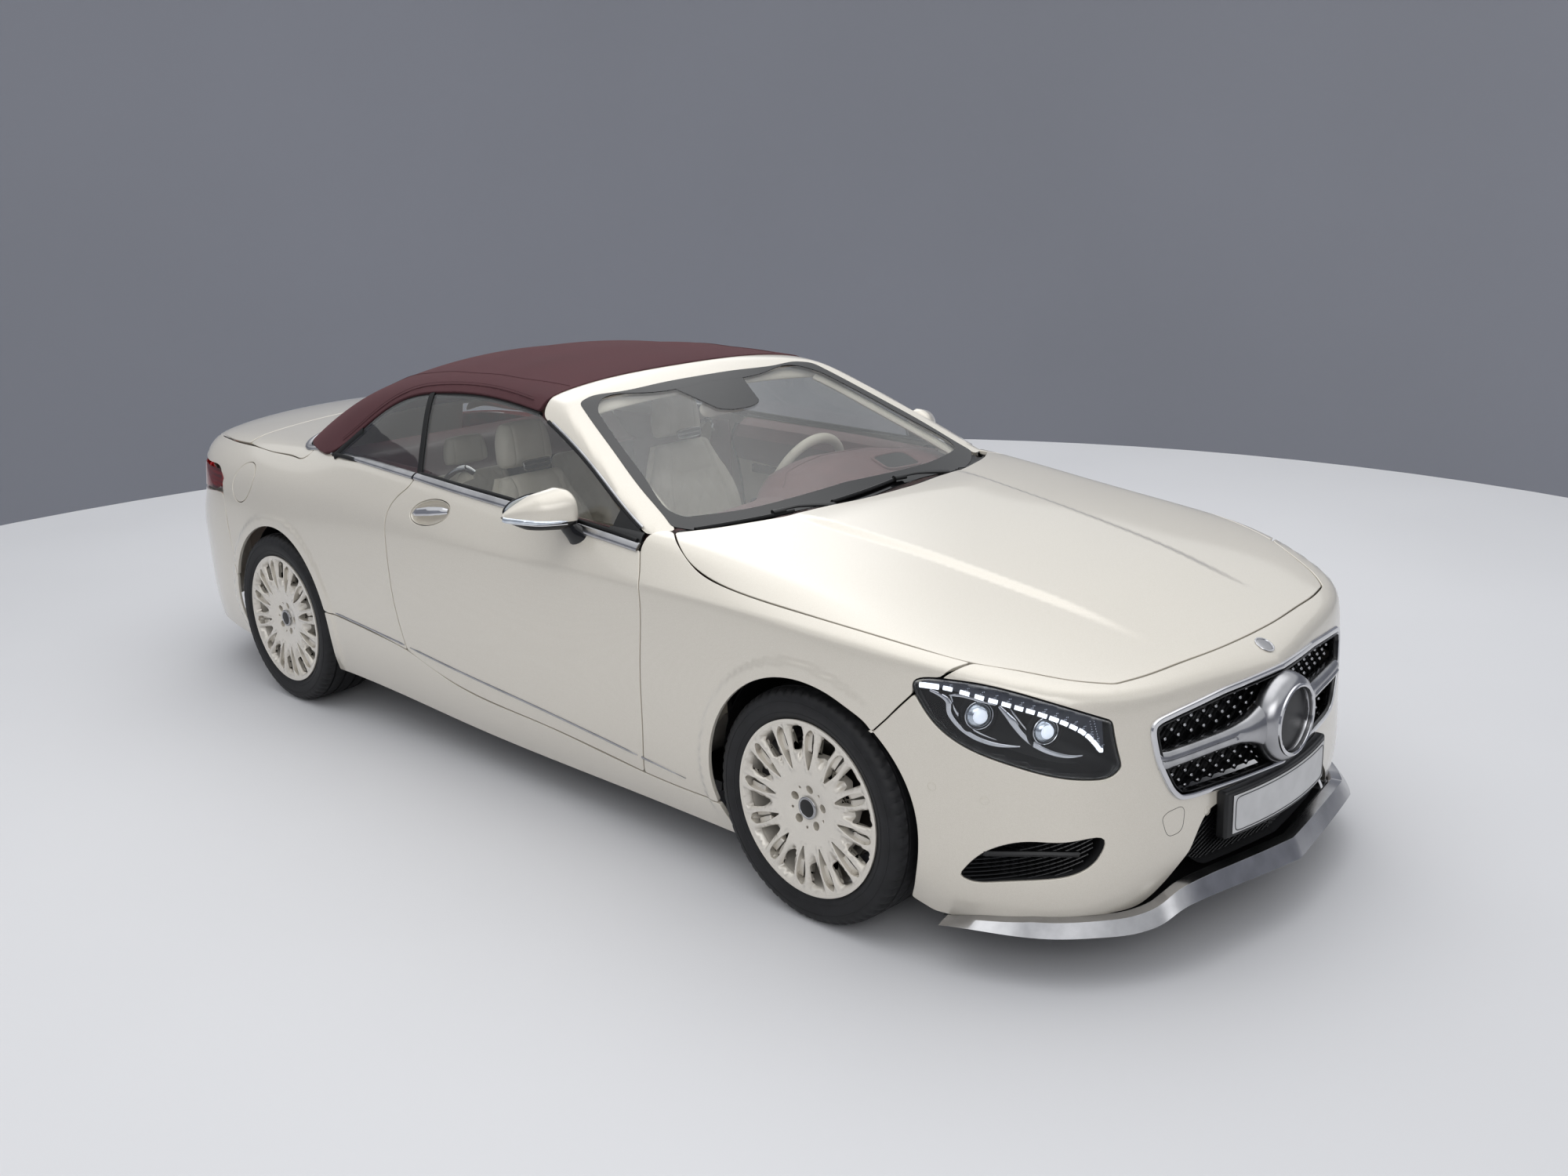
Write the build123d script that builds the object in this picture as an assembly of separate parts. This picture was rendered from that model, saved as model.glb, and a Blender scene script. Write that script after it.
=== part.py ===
import os

import numpy as np
from build123d import *

os.makedirs("parts", exist_ok=True)

# driving dimensions in mm: x to the car's left, y to the rear, z up, floor at z = 0
front_axle = -1548.0
rear_axle = 1397.0
hub_height = 350.0
tyre_radius = 350.0
tyre_width = 248.0
wheel_plane = 812.0
rim_radius = 262.0
kingpin = 752.0
front_arch = (front_axle, 358.0, 378.0)
rear_arch = (rear_axle, 358.0, 376.0)
shut_gap = 5.0
panel_gap = 10.0
skin = 24.0
door_hinge = (905.0, -838.0, 600.0)
bonnet_hinge = (0.0, -842.0, 1030.0)
lid_hinge = (0.0, 1832.0, 1080.0)
column_angle = 24.0
wheel_centre = (370.0, -345.0, 925.0)


# ---- shape of the body: y runs to the rear, s is the distance from the middle plane, z is up ----
def spline(*points):
    """Natural cubic spline through (t, value) points, straight beyond both ends."""
    t, v = np.array(points, float).T
    n = len(t)
    h = np.diff(t)
    m = np.zeros(n)
    if n > 2:
        a = np.zeros((n, n))
        b = np.zeros(n)
        a[0, 0] = 1
        a[-1, -1] = 1
        for i in range(1, n - 1):
            a[i, i - 1:i + 2] = h[i - 1], 2 * (h[i - 1] + h[i]), h[i]
            b[i] = 6 * ((v[i + 1] - v[i]) / h[i] - (v[i] - v[i - 1]) / h[i - 1])
        m = np.linalg.solve(a, b)
    slope_low = (v[1] - v[0]) / h[0] - h[0] * m[1] / 6
    slope_high = (v[-1] - v[-2]) / h[-1] + h[-1] * m[-2] / 6

    def curve(x):
        x = np.asarray(x, float)
        q = np.clip(x, t[0], t[-1])
        i = np.clip(np.searchsorted(t, q) - 1, 0, n - 2)
        near = t[i + 1] - q
        far = q - t[i]
        gap = h[i]
        y = (m[i] * near**3 + m[i + 1] * far**3) / (6 * gap)
        y = y + (v[i] / gap - m[i] * gap / 6) * near + (v[i + 1] / gap - m[i + 1] * gap / 6) * far
        return y + np.minimum(x - t[0], 0) * slope_low + np.maximum(x - t[-1], 0) * slope_high

    return curve


def rise(t, k):
    """Zero below t = 0 and t above it, rounded over the length k."""
    return 0.5 * (t + np.sqrt(t * t + k * k))


def join(a, b, k):
    """The larger of a and b, rounded over the length k."""
    return 0.5 * (a + b + np.sqrt((a - b)**2 + k * k))


def step(t):
    """Smooth step from 0 to 1."""
    t = np.clip(t, 0, 1)
    return t * t * t * (10 - 15 * t + 6 * t * t)


half_width = spline((-2450, 868), (-2150, 905), (-1850, 934), (-1550, 949), (-1150, 944), (-750, 937),
                    (50, 936), (650, 939), (1150, 947), (1450, 950), (1850, 936), (2250, 900), (2550, 852))
side_drop = spline((100, 96), (200, 50), (260, 30), (330, 14), (430, 4), (560, 0), (700, 2), (820, 7),
                   (900, 13), (1100, 35))
crease_height = spline((-2250, 842), (-1850, 872), (-1550, 884), (-1200, 891), (-874, 883), (-463, 874),
                       (-21, 863), (350, 868), (750, 885), (1150, 908), (1550, 925), (2050, 918), (2550, 885))
crease_lean = spline((-2350, 1.5), (-1850, 1.75), (-1550, 1.6), (-1200, 0.95), (-874, 0.5), (-250, 0.4),
                     (350, 0.4), (750, 0.5), (1150, 0.85), (1550, 1.25), (2050, 1.45), (2550, 1.5))
crease_round = spline((-2350, 30), (-1850, 14), (-1550, 10), (-850, 9), (50, 12), (450, 40), (950, 90),
                      (1450, 110), (2450, 90))
deck_middle = spline((-2650, 690), (-2510, 744), (-2426, 783), (-2345, 809), (-2250, 832), (-2138, 859),
                     (-1962, 898), (-1755, 936), (-1522, 974), (-1287, 1006), (-1166, 1022), (-1040, 1038),
                     (-750, 1065), (50, 1092), (650, 1108), (1150, 1102), (1550, 1088), (1950, 1075),
                     (2250, 1058), (2450, 1044), (2650, 1032))
deck_crown = spline((-2550, 26), (-2250, 24), (-1550, 24), (-850, 28), (50, 40), (1250, 48), (2050, 56),
                    (2550, 60))
fold_line = spline((-2450, 300), (-2138, 306), (-1900, 333), (-1550, 362), (-1166, 400), (-950, 420))
nose_middle = spline((100, -2450), (230, -2495), (330, -2506), (440, -2502), (580, -2499), (735, -2490),
                     (900, -2470))
nose_round = spline((0, 0), (120, 16), (300, 46), (538, 96), (640, 140), (720, 205), (800, 320), (860, 450),
                    (910, 600), (960, 800))
tail_middle = spline((100, 2430), (250, 2490), (400, 2515), (560, 2522), (700, 2512), (760, 2485),
                     (900, 2462), (1000, 2455), (1100, 2445))
tail_round = spline((0, 0), (300, 16), (500, 50), (650, 105), (740, 170), (800, 245), (850, 345), (900, 490),
                    (950, 700))
shoulder_round = spline((-2450, 40), (-1950, 34), (-1150, 26), (-750, 24), (950, 24), (1550, 30), (2550, 40))


def lip(y, z):
    """Raised band around both wheel openings."""
    out = 0
    for arch_y, arch_z, arch_radius in (front_arch, rear_arch):
        r = np.hypot(y - arch_y, z - arch_z)
        out = out + 7 * (1 - step((r - arch_radius - 34) / 26)) * step((z - 170) / 120)
    return out


def side_reach(y, z):
    """Half width of the body at (y, z): full width, less the tuck under, less the lean over the crease."""
    over = rise(z - crease_height(y), crease_round(y))
    return half_width(y) - side_drop(z) - crease_lean(y) * over + lip(y, z)


def deck_height(s, y):
    """Height of bonnet, scuttle and boot deck: middle line, crown, and the two raised folds."""
    crown = deck_crown(y) * (s / 760)**2
    fold = 11 * (1 - step((s - fold_line(y) + 18) / 50)) * step((y + 2330) / 500) * step((-960 - y) / 260)
    return deck_middle(y) - crown + fold


def lower_body(s, y, z):
    """Below zero inside the lower body: side, deck, nose and tail joined with rounded edges."""
    value = join(s - side_reach(y, z), z - deck_height(s, y), shoulder_round(y))
    value = join(value, nose_middle(z) + nose_round(s) - y, 34 + 26 * step((760 - z) / 160))
    return join(value, y - tail_middle(z) + tail_round(s), 50)


glass_foot = spline((-1050, 775), (-850, 821), (-550, 837), (-150, 841), (350, 838), (750, 835), (1150, 822),
                    (1450, 783), (1750, 700))
glass_lean = spline((-850, 0.522), (-150, 0.557), (350, 0.541), (850, 0.513), (1250, 0.57), (1650, 0.68))
roof_middle = spline((-550, 1270), (-179, 1378), (50, 1404), (312, 1419), (650, 1411), (950, 1374),
                     (1200, 1306), (1400, 1218), (1560, 1130), (1700, 1040))
roof_crown = spline((-250, 30), (50, 42), (650, 56), (1250, 70), (1750, 90))
roof_round = spline((-250, 30), (350, 60), (1250, 110), (1750, 160))


def glass_reach(y, z):
    """Half width of the side glass and of the roof above it."""
    return glass_foot(y) - (z - 1010) * glass_lean(y) - 0.00012 * (z - 1010)**2


def roof_height(s, y):
    return roof_middle(y) - roof_crown(y) * (s / 600)**2


def screen_depth(s, z):
    """y of the windscreen: it leans back with height and bends back at its sides."""
    bend = 56 - 0.1 * np.clip(z - 1003, 0, 400)
    return -975 + (z - 1003) * 2.3 + bend * (s / 600)**2


def upper_body(s, y, z):
    """Below zero inside the glasshouse and roof."""
    value = join(s - glass_reach(y, z), z - roof_height(s, y), roof_round(y))
    return join(value, screen_depth(s, z) - y, 14)


def meet(field, start, way, low=0.0, high=1500.0):
    """Where rays from start along way leave the field; all arrays end in x, y, z."""
    start, way = np.broadcast_arrays(np.asarray(start, float), np.asarray(way, float))
    low = np.full(start.shape[:-1], float(low))
    high = np.full(start.shape[:-1], float(high))
    for turn in range(44):
        middle = 0.5 * (low + high)
        q = start + way * middle[..., None]
        inside = field(np.abs(q[..., 0]), q[..., 1], q[..., 2]) < 0
        low = np.where(inside, middle, low)
        high = np.where(inside, high, middle)
    return start + way * high[..., None]


def outward(field, p):
    """Unit normal of the field at points p."""
    grow = np.zeros(p.shape)
    for axis in range(3):
        nudge = np.zeros(3)
        nudge[axis] = 0.5
        a = p + nudge
        b = p - nudge
        grow[..., axis] = field(np.abs(a[..., 0]), a[..., 1], a[..., 2]) - field(np.abs(b[..., 0]), b[..., 1], b[..., 2])
    return grow / np.linalg.norm(grow, axis=-1, keepdims=True)


def from_side(field, y, z, inner=250):
    y, z = np.broadcast_arrays(np.asarray(y, float), np.asarray(z, float))
    return meet(field, np.stack([np.full_like(y, inner), y, z], -1), (1, 0, 0), 0, 900)


def from_top(field, x, y, floor=500):
    x, y = np.broadcast_arrays(np.asarray(x, float), np.asarray(y, float))
    return meet(field, np.stack([x, y, np.full_like(x, floor)], -1), (0, 0, 1), 0, 1200)


def from_front(field, x, z, start=-1400):
    x, z = np.broadcast_arrays(np.asarray(x, float), np.asarray(z, float))
    return meet(field, np.stack([x, np.full_like(x, start), z], -1), (0, -1, 0), 0, 1400)


def from_rear(field, x, z, start=1500):
    x, z = np.broadcast_arrays(np.asarray(x, float), np.asarray(z, float))
    return meet(field, np.stack([x, np.full_like(x, start), z], -1), (0, 1, 0), 0, 1400)
# ---- end of the shape of the body ----


def run(points, count):
    """Smooth curve through points, as count points evenly spread over its chord length."""
    p = np.array(points, float)
    t = np.concatenate([[0], np.cumsum(np.linalg.norm(np.diff(p, axis=0), axis=1))])
    u = np.linspace(0, t[-1], count)
    return np.stack([spline(*zip(t, p[:, k]))(u) for k in range(p.shape[1])], -1)


def side_run(points, count, field=lower_body):
    q = run(points, count)
    return from_side(field, q[:, 0], q[:, 1])


def top_run(points, count, field=lower_body):
    q = run(points, count)
    return from_top(field, q[:, 0], q[:, 1])


def front_run(points, count, field=lower_body):
    q = run(points, count)
    return from_front(field, q[:, 0], q[:, 1])


def fill(low, high, first, last):
    """Grid of points between four boundary curves that meet at their ends."""
    u = np.linspace(0, 1, len(low))[:, None, None]
    v = np.linspace(0, 1, len(first))[None, :, None]
    grid = (1 - v) * low[:, None] + v * high[:, None] + (1 - u) * first[None] + u * last[None]
    flat = (1 - u) * ((1 - v) * low[0] + v * high[0]) + u * ((1 - v) * low[-1] + v * high[-1])
    return grid - flat


def onto(field, grid, core):
    """Move a grid along rays from its core points onto the field."""
    way = grid - core
    length = np.linalg.norm(way, axis=-1, keepdims=True)
    return meet(field, core, way / length, 0, 2 * length[..., 0].max())


def grid_face(points):
    rows = [[Vector(*map(float, q)) for q in row] for row in points]
    return Face.make_surface_from_array_of_points(rows, tol=1.0, min_deg=3, max_deg=3)


def edge_between(face, a, b):
    a = Vector(*map(float, a))
    b = Vector(*map(float, b))

    def miss(edge):
        p = edge @ 0
        q = edge @ 1
        return min((p - a).length + (q - b).length, (p - b).length + (q - a).length)

    return min(face.edges(), key=miss)


def grid_solid(outer, inner):
    """Closed solid between two grids of points."""
    top = grid_face(outer)
    under = grid_face(inner)
    faces = [top, under]
    corners = [(0, 0), (0, -1), (-1, -1), (-1, 0)]
    for a, b in zip(corners, corners[1:] + corners[:1]):
        rim = edge_between(top, outer[a], outer[b])
        foot = edge_between(under, inner[a], inner[b])
        faces.append(Face.make_surface_from_curves(rim, foot))
    solid = Solid(Shell(faces))
    return solid


def panel(field, grid, thickness):
    """Skin of the field over the grid, thickened inward."""
    return grid_solid(grid, grid - thickness * outward(field, grid))


def prism(points, plane, start, length):
    """Straight block with the given outline, smooth or straight sided."""
    wire = Wire.make_polygon([Vector(*map(float, plane(*q))) for q in points], close=True)
    face = Face(wire)
    return Solid.extrude(face, Vector(*map(float, length)))


def along_x(points, start, end):
    """Block with a (y, z) outline from x = start to x = end."""
    wire = Wire.make_polygon([Vector(start, y, z) for y, z in points], close=True)
    return Solid.extrude(Face(wire), Vector(end - start, 0, 0))


def along_y(points, start, end):
    wire = Wire.make_polygon([Vector(x, start, z) for x, z in points], close=True)
    return Solid.extrude(Face(wire), Vector(0, end - start, 0))


def along_z(points, start, end):
    wire = Wire.make_polygon([Vector(x, y, start) for x, y in points], close=True)
    return Solid.extrude(Face(wire), Vector(0, 0, end - start))


def drum(radius, length, x, y, z, turn=(0, 90, 0)):
    return Pos(x, y, z) * Rot(*turn) * Cylinder(radius, length)


def other(shape):
    return mirror(shape, about=Plane.YZ)


def save(name, *shapes):
    solids = [s for shape in shapes for s in shape.solids()]
    export_step(solids[0] if len(solids) == 1 else Compound(children=solids), f"parts/{name}.step")
    box = Compound(children=[Solid(s.wrapped) for s in solids]).bounding_box()
    print(name, len(solids), [s.is_valid for s in solids].count(False), round(sum(s.volume for s in solids) / 1e6, 2),
          [round(v) for v in (box.min.X, box.max.X, box.min.Y, box.max.Y, box.min.Z, box.max.Z)], flush=True)


# shut lines of one side: (s, y) seen from above, (y, z) seen from the side
bonnet_side = [(781, -887), (835, -966), (869, -1073), (886, -1214), (889, -1499), (876, -1725), (841, -1917),
               (798, -2033), (726, -2143), (654, -2236), (574, -2307)]
bonnet_rear = [(781, -887), (673, -952), (568, -992), (446, -1027), (287, -1056), (150, -1078), (0, -1086)]
bonnet_front = [(574, -2307), (480, -2328), (343, -2352), (170, -2371), (0, -2380)]
door_front = [(-824, 977), (-871, 883), (-872, 645), (-852, 366), (-826, 261)]
door_rear = [(455, 1016), (509, 977), (550, 905), (545, 819), (524, 613), (466, 398)]
belt = [(-824, 977), (-81, 1003), (96, 1008), (455, 1016)]
sill_line = [(-1131, 252), (-826, 261), (209, 339), (466, 398), (700, 450)]
sill_foot = [(-1150, 172), (-1067, 165), (-470, 165), (133, 170), (934, 195)]


def make_bonnet():
    half = np.array(bonnet_side, float)
    left = top_run(half[:-1], 41)
    rear = both_sides(top_run(bonnet_rear, 17))[::-1]
    nose = np.array(bonnet_front, float) + (0, 4)
    nose[0] = half[-2]
    line = np.concatenate([nose * (-1, 1), nose[::-1][1:]])
    front = top_run(line, 33)
    right = left * (-1, 1, 1)
    grid = fill(rear, front, right, left)
    core = grid * (1, 1, 0) + (0, 0, 500)
    return panel(lower_body, onto(lower_body, grid, core), skin)


def make_scuttle():
    """Panel between the bonnet and the foot of the windscreen, below both."""
    front = top_run([(770, -880), (673, -944), (568, -984), (446, -1019), (287, -1048), (150, -1070), (0, -1078)], 21)
    rear = from_front(upper_body, *run([(734, 1019), (400, 1003), (0, 997)], 21).T, start=200)
    t = np.linspace(0, 1, 9)[None, :, None]
    front = both_sides(front - (0, 0, 14))[:, None]
    rear = both_sides(rear - (0, 6, 8))[:, None]
    grid = front * (1 - t) + rear * t - np.array((0, 0, 12.0)) * 4 * t * (1 - t)
    return grid_solid(grid, grid - (0, 0, 4))


def arc(arch, start, end, count, grow=0.0):
    """(y, z) points on a wheel opening, angles in degrees from the rear, up."""
    y, z, r = arch
    angle = np.radians(np.linspace(start, end, count))
    return np.stack([y + (r + grow) * np.cos(angle), z + (r + grow) * np.sin(angle)], -1)


def make_fender():
    rear = side_run([(y - panel_gap - 3 * (z > 850), z) for y, z in door_front], 31)
    edge = run([(rear[0, 0], rear[0, 1]), (857, -878), (846, -934), (855, -1002)] + [
        (s + 6, y) for s, y in bonnet_side[2:8]], 49)
    top = from_top(lower_body, edge[:, 0], edge[:, 1])
    top[0] = rear[0]
    foot = [(door_front[-1][0] - panel_gap, 261), (-950, 256), (-1100, 250), (-1160, 252)]
    bottom = side_run(np.concatenate([foot, arc(front_arch, -10, 129, 15)]), 49)
    bottom[0] = rear[-1]
    front = run([top[-1], (872, -1978, 832), (897, -1912, 805), (906, -1892, 770), (915, -1861, 708), bottom[-1]], 31)
    grid = fill(top, bottom, rear, front)
    core = grid * (0.2, 1, 1) + (0, 0, -60)
    return panel(lower_body, onto(lower_body, grid, core), 11)


bumper_foot = [(880, -2010, 178), (740, -2228, 172), (640, -2330, 176), (540, -2385, 186), (455, -2432, 228),
               (300, -2465, 230), (0, -2495, 222)]


def make_front_bumper():
    edge = run([(798, -2036)] + bonnet_side[8:11] + [(s, y - 1) for s, y in bonnet_front[1:]], 31)
    left = from_top(lower_body, edge[:, 0], edge[:, 1] - 6)
    top = both_sides(left)
    rear = side_run([(-2042, 850), (-2022, 832), (-1992, 795), (-1940, 752), (-1873, 698), (-1796, 640), (-1745, 420),
                     (-1790, 180)], 31)
    rear[0] = top[0]
    bottom = both_sides(run([rear[-1]] + bumper_foot, 31))
    grid = fill(top, bottom, rear, rear * (-1, 1, 1))
    core = grid * (0.45, 0, 0.5) + (0, -1650, 250)
    bumper = panel(lower_body, onto(lower_body, grid, core), 16)
    bumper -= drum(378, 2400, 0, *front_arch[:2])
    bumper -= along_y(grille_outline, -2700, -2250)
    bumper -= along_y(centre_intake, -2700, -2250)
    intake = along_y(side_intake, -2700, -1880)
    for cut in (intake, lamp_solid(4, 14, 64), drum(416, 420, 643, *front_arch[:2])):
        bumper -= cut
        bumper -= other(cut)
    return bumper


grille_outline = [(x, z) for x, z in [(-524, 700), (-300, 722), (0, 730), (300, 722), (524, 700), (520, 600),
                                      (470, 500), (420, 462), (0, 444), (-420, 462), (-470, 500), (-520, 600)]]
centre_intake = [(-380, 300), (-300, 400), (300, 400), (380, 300), (300, 235), (-300, 235)]
side_intake = [(856, 278), (843, 335), (815, 378), (785, 395), (654, 396), (676, 344), (708, 314), (761, 294),
               (823, 273), (850, 270)]
lamp_outline = [(897, 792), (891, 810), (872, 818), (833, 814), (759, 782), (700, 752), (634, 720), (629, 663),
                (613, 595), (629, 579), (682, 569), (743, 578), (805, 605), (853, 643), (882, 700), (895, 766)]


def shrunk(outline, amount):
    """Outline moved inward by about amount."""
    p = np.array(outline, float)
    middle = p.mean(axis=0)
    reach = np.linalg.norm(p - middle, axis=1, keepdims=True)
    return [tuple(q) for q in middle + (p - middle) * (1 - amount / reach)]


def lamp_rays(field, points, count):
    """Points on the nose or tail at (turn, height): rays fan out level from an inner post."""
    q = run(points, count)
    return fan(q[:, 0], q[:, 1])


def fan(turn, height, post=(330.0, -1700.0), way=-1):
    turn, height = np.broadcast_arrays(turn, height)
    start = np.stack([post[0] + 0 * turn, post[1] + 0 * turn, height], -1)
    ray = np.stack([np.sin(turn), way * np.cos(turn), 0 * turn], -1)
    return meet(lower_body, start, ray, 0, 1400)


def turn_at(s, y, post=(330.0, -1700.0)):
    return np.arctan2(s - post[0], -(y - post[1]))


lamp_top = [(896, -1924, 784), (878, -1970, 812), (833, -2083, 811), (759, -2221, 780), (640, -2350, 722)]
lamp_bottom = [(893, -1934, 760), (853, -2049, 643), (805, -2160, 605), (743, -2261, 578), (682, -2325, 569),
               (622, -2362, 582)]


def lamp_solid(grow, over, under):
    """Lamp from over outside the body to under inside it, grown by grow along the surface."""
    top = run([(turn_at(s, y), z / 1000) for s, y, z in lamp_top], 31)
    bottom = run([(turn_at(s, y), z / 1000) for s, y, z in lamp_bottom], 31)
    t = np.linspace(0, 1, 13)[None, :]
    turn = top[:, :1] * (1 - t) + bottom[:, :1] * t
    turn = turn + np.linspace(1, -1, 31)[:, None] * grow / 600
    height = 1000 * (top[:, 1:] * (1 - t) + bottom[:, 1:] * t) + grow * (1 - 2 * t)
    grid = fan(turn, height)
    normal = outward(lower_body, grid)
    return grid_solid(grid + over * normal, grid - under * normal)


def make_headlamp():
    return lamp_solid(0, 0, 45)


def grille_patch(inset, over, under):
    """Part of the nose inside the grille outline, inset along it, from over outside to under inside."""
    x = 520 - inset
    top = 698 - inset
    low = 412 - inset
    head = both_sides(front_run([(x, top), (300, 724 - inset), (0, 730 - inset)], 21))
    foot = both_sides(front_run([(low, 464 + inset), (200, 450 + inset), (0, 447 + inset)], 21))
    side = front_run([(x, top), (x - 4, 600), (low + 56, 505 + inset / 2), (low, 464 + inset)], 17)
    grid = fill(head, foot, side, side * (-1, 1, 1))
    grid = onto(lower_body, grid, grid * (0.6, 0, 1) + (0, -1900, 0))
    normal = outward(lower_body, grid)
    return grid_solid(grid + over * normal, grid - under * normal)


def make_grille():
    frame = grille_patch(6, 8, 44) - grille_patch(26, 40, 80)
    mesh = grille_patch(30, -26, 34)
    bar = grille_patch(34, 2, 16) & (Pos(0, -2450, 583) * Box(930, 300, 46))
    ring = Pos(0, -2506, 583) * Rot(90, 0, 0) * (Cylinder(104, 24) - Cylinder(88, 40))
    return [frame, mesh, bar + ring]


def make_splitter():
    half = run([(850, -2000, 150), (740, -2232, 146), (640, -2330, 150), (540, -2392, 158), (455, -2440, 205),
                (300, -2475, 205), (0, -2518, 190)], 31)
    top = both_sides(half)
    depth = np.array((0, 90.0, 0))
    outer = np.stack([top + (0, 0, k) + depth * t for t, k in ((0, 0), (0.3, 6), (0.7, 8), (1, 8))], 1)
    return grid_solid(outer + (0, 0, 10), outer - (0, 0, 6))


def make_sill():
    top = side_run([(-1200, 240), (-826, 253), (209, 331), (466, 390), (650, 405), (850, 420), (990, 427)], 41)
    bottom = side_run([(-1150, 172), (-1067, 165), (-470, 165), (133, 170), (934, 195), (1000, 200)], 41)
    u = np.linspace(0, 1, 13)
    first = side_run([tuple(top[0][1:]), tuple(bottom[0][1:])], 13)
    last = side_run([tuple(top[-1][1:]), tuple(bottom[-1][1:])], 13)
    grid = fill(top, bottom, first, last)
    core = grid * (0.2, 1, 1)
    grid = onto(lower_body, grid, core)
    inner = grid * (0, 1, 1) + (760, 0, 0)
    sill = grid_solid(grid, inner)
    for arch, reach in ((front_arch, 416), (rear_arch, 396)):
        sill -= drum(arch[2], 900, 900, *arch[:2])
        sill -= drum(reach, 160, 775, *arch[:2])
    return sill


def make_door():
    front = side_run(door_front, 29)
    rear = side_run(door_rear, 29)
    top = side_run(belt, 33)
    bottom = side_run([(-826, 261), (-300, 300), (209, 339), (466, 398)], 33)
    top[0], top[-1] = front[0], rear[0]
    bottom[0], bottom[-1] = front[-1], rear[-1]
    grid = fill(top, bottom, front, rear)
    grid = onto(lower_body, grid, grid * (0.2, 1, 1))
    fall = np.linspace(0, 1, 29)[None, :, None]
    along = np.linspace(0, 1, 33)[:, None, None]
    inner = grid - (118, 0, 0) + fall**4 * np.array((0, 0, 30.0))
    inner = inner + np.array((0, 1.0, 0)) * (14 * (1 - along)**8 - 16 * along**8)
    return grid_solid(grid, inner)


# edge between the rear quarter and the deck: (s, y) seen from above
deck_line = [(846, 473), (841, 580), (834, 730), (825, 900), (811, 1100), (800, 1200), (794, 1296), (797, 1380), (785, 1572),
             (763, 1782), (743, 1977), (713, 2150), (673, 2300)]


def make_quarter():
    front = side_run([(y + panel_gap + 8 * (z > 950), z) for y, z in door_rear], 31)
    top = run(deck_line, 61)
    top = from_top(lower_body, top[:, 0], top[:, 1])
    top[0] = front[0]
    foot = [(door_rear[-1][0] + panel_gap, 398), (650, 415), (850, 434), (1000, 448)]
    bottom = side_run(np.concatenate([foot, arc(rear_arch, 160, 19, 15)]), 61)
    bottom[0] = front[-1]
    rear = run([top[-1], (640, 2361, 903), (700, 2306, 905), (770, 2220, 908), (832, 2090, 910), (862, 1965, 905),
                (880, 1890, 860), (903, 1836, 740), bottom[-1]], 31)
    grid = fill(top, bottom, front, rear)
    core = grid * (0.25, 1, 0.6) + (0, 0, 200)
    core[..., 1] = np.minimum(core[..., 1], 1900)
    return panel(lower_body, onto(lower_body, grid, core), skin)


def both_sides(curve):
    """Curve that ends on the middle plane, continued to the other side."""
    flip = np.ones(curve.shape[1])
    flip[0] = -1
    curve = np.array(curve, float)
    return np.concatenate([curve, curve[::-1][1:] * flip])


def make_tonneau():
    """Cover round the back of the roof, from one shoulder across the deck to the other."""
    outer = both_sides(run([(792, 1218), (788, 1296), (791, 1380), (779, 1572), (757, 1782), (738, 1846), (690, 1856), (300, 1860),
                            (0, 1860)], 41))
    inner = both_sides(run([(786, 1214), (778, 1254), (748, 1334), (705, 1410), (641, 1468), (563, 1511), (407, 1564),
                            (262, 1593), (129, 1609), (0, 1615)], 41))
    t = np.linspace(0, 1, 13)[None, :, None]
    plan = outer[:, None] * (1 - t) + inner[:, None] * t
    return panel(lower_body, from_top(lower_body, plan[..., 0], plan[..., 1]), 18)


def make_boot_lid():
    """Lid over the deck and down the tail."""
    side = top_run([(744, 1866), (737, 1977), (704, 2150), (656, 2290)], 25)
    tail = front_like(from_rear, [(630, 900), (639, 830), (634, 768)], 13)
    side = run(np.concatenate([side, tail]), 41)
    fore = both_sides(top_run([(744, 1866), (400, 1866), (0, 1866)], 21))
    low = both_sides(front_like(from_rear, [(634, 768), (598, 744), (560, 724), (513, 705), (330, 692), (0, 689)], 21))
    grid = fill(fore, low, side, side * (-1, 1, 1))
    core = grid * (1, 0, 0) + (0, 1880, 640)
    return panel(lower_body, onto(lower_body, grid, core), 22)


def front_like(chart, points, count):
    q = run(points, count)
    return chart(lower_body, q[:, 0], q[:, 1])


def tail_fan(turn, height):
    return fan(turn, height, (0.0, 1700.0), 1)


bumper_edge = [(1.507, 0.472), (1.466, 0.60), (1.421, 0.72), (1.372, 0.805), (1.33, 0.810), (1.24, 0.804),
               (1.0, 0.783), (0.78, 0.758), (0.70, 0.733), (0.60, 0.69), (0.4, 0.678), (0, 0.675)]
lamp_head = [(0.785, 0.897), (1.0, 0.896), (1.2, 0.894), (1.30, 0.890)]
lamp_foot = [(0.76, 0.767), (1.0, 0.792), (1.24, 0.813), (1.345, 0.820)]


def make_rear_bumper():
    half = both_sides(run(bumper_edge, 45))
    v = np.linspace(0, 1, 25)[None, :]
    z = 1000 * half[:, 1:] * (1 - v) + 215 * v
    bulge = 1 - 0.016 * 4 * v * (1 - v)
    bumper = panel(lower_body, tail_fan(half[:, :1] * bulge, z), 16)
    return bumper - drum(378, 2400, 0, *rear_arch[:2])


def make_tail_lamp():
    v = np.linspace(0, 1, 13)[None, :, None]
    outline = run(lamp_head, 25)[:, None] * (1 - v) + run(lamp_foot, 25)[:, None] * v
    return panel(lower_body, tail_fan(outline[..., 0], 1000 * outline[..., 1]), 40)


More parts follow.
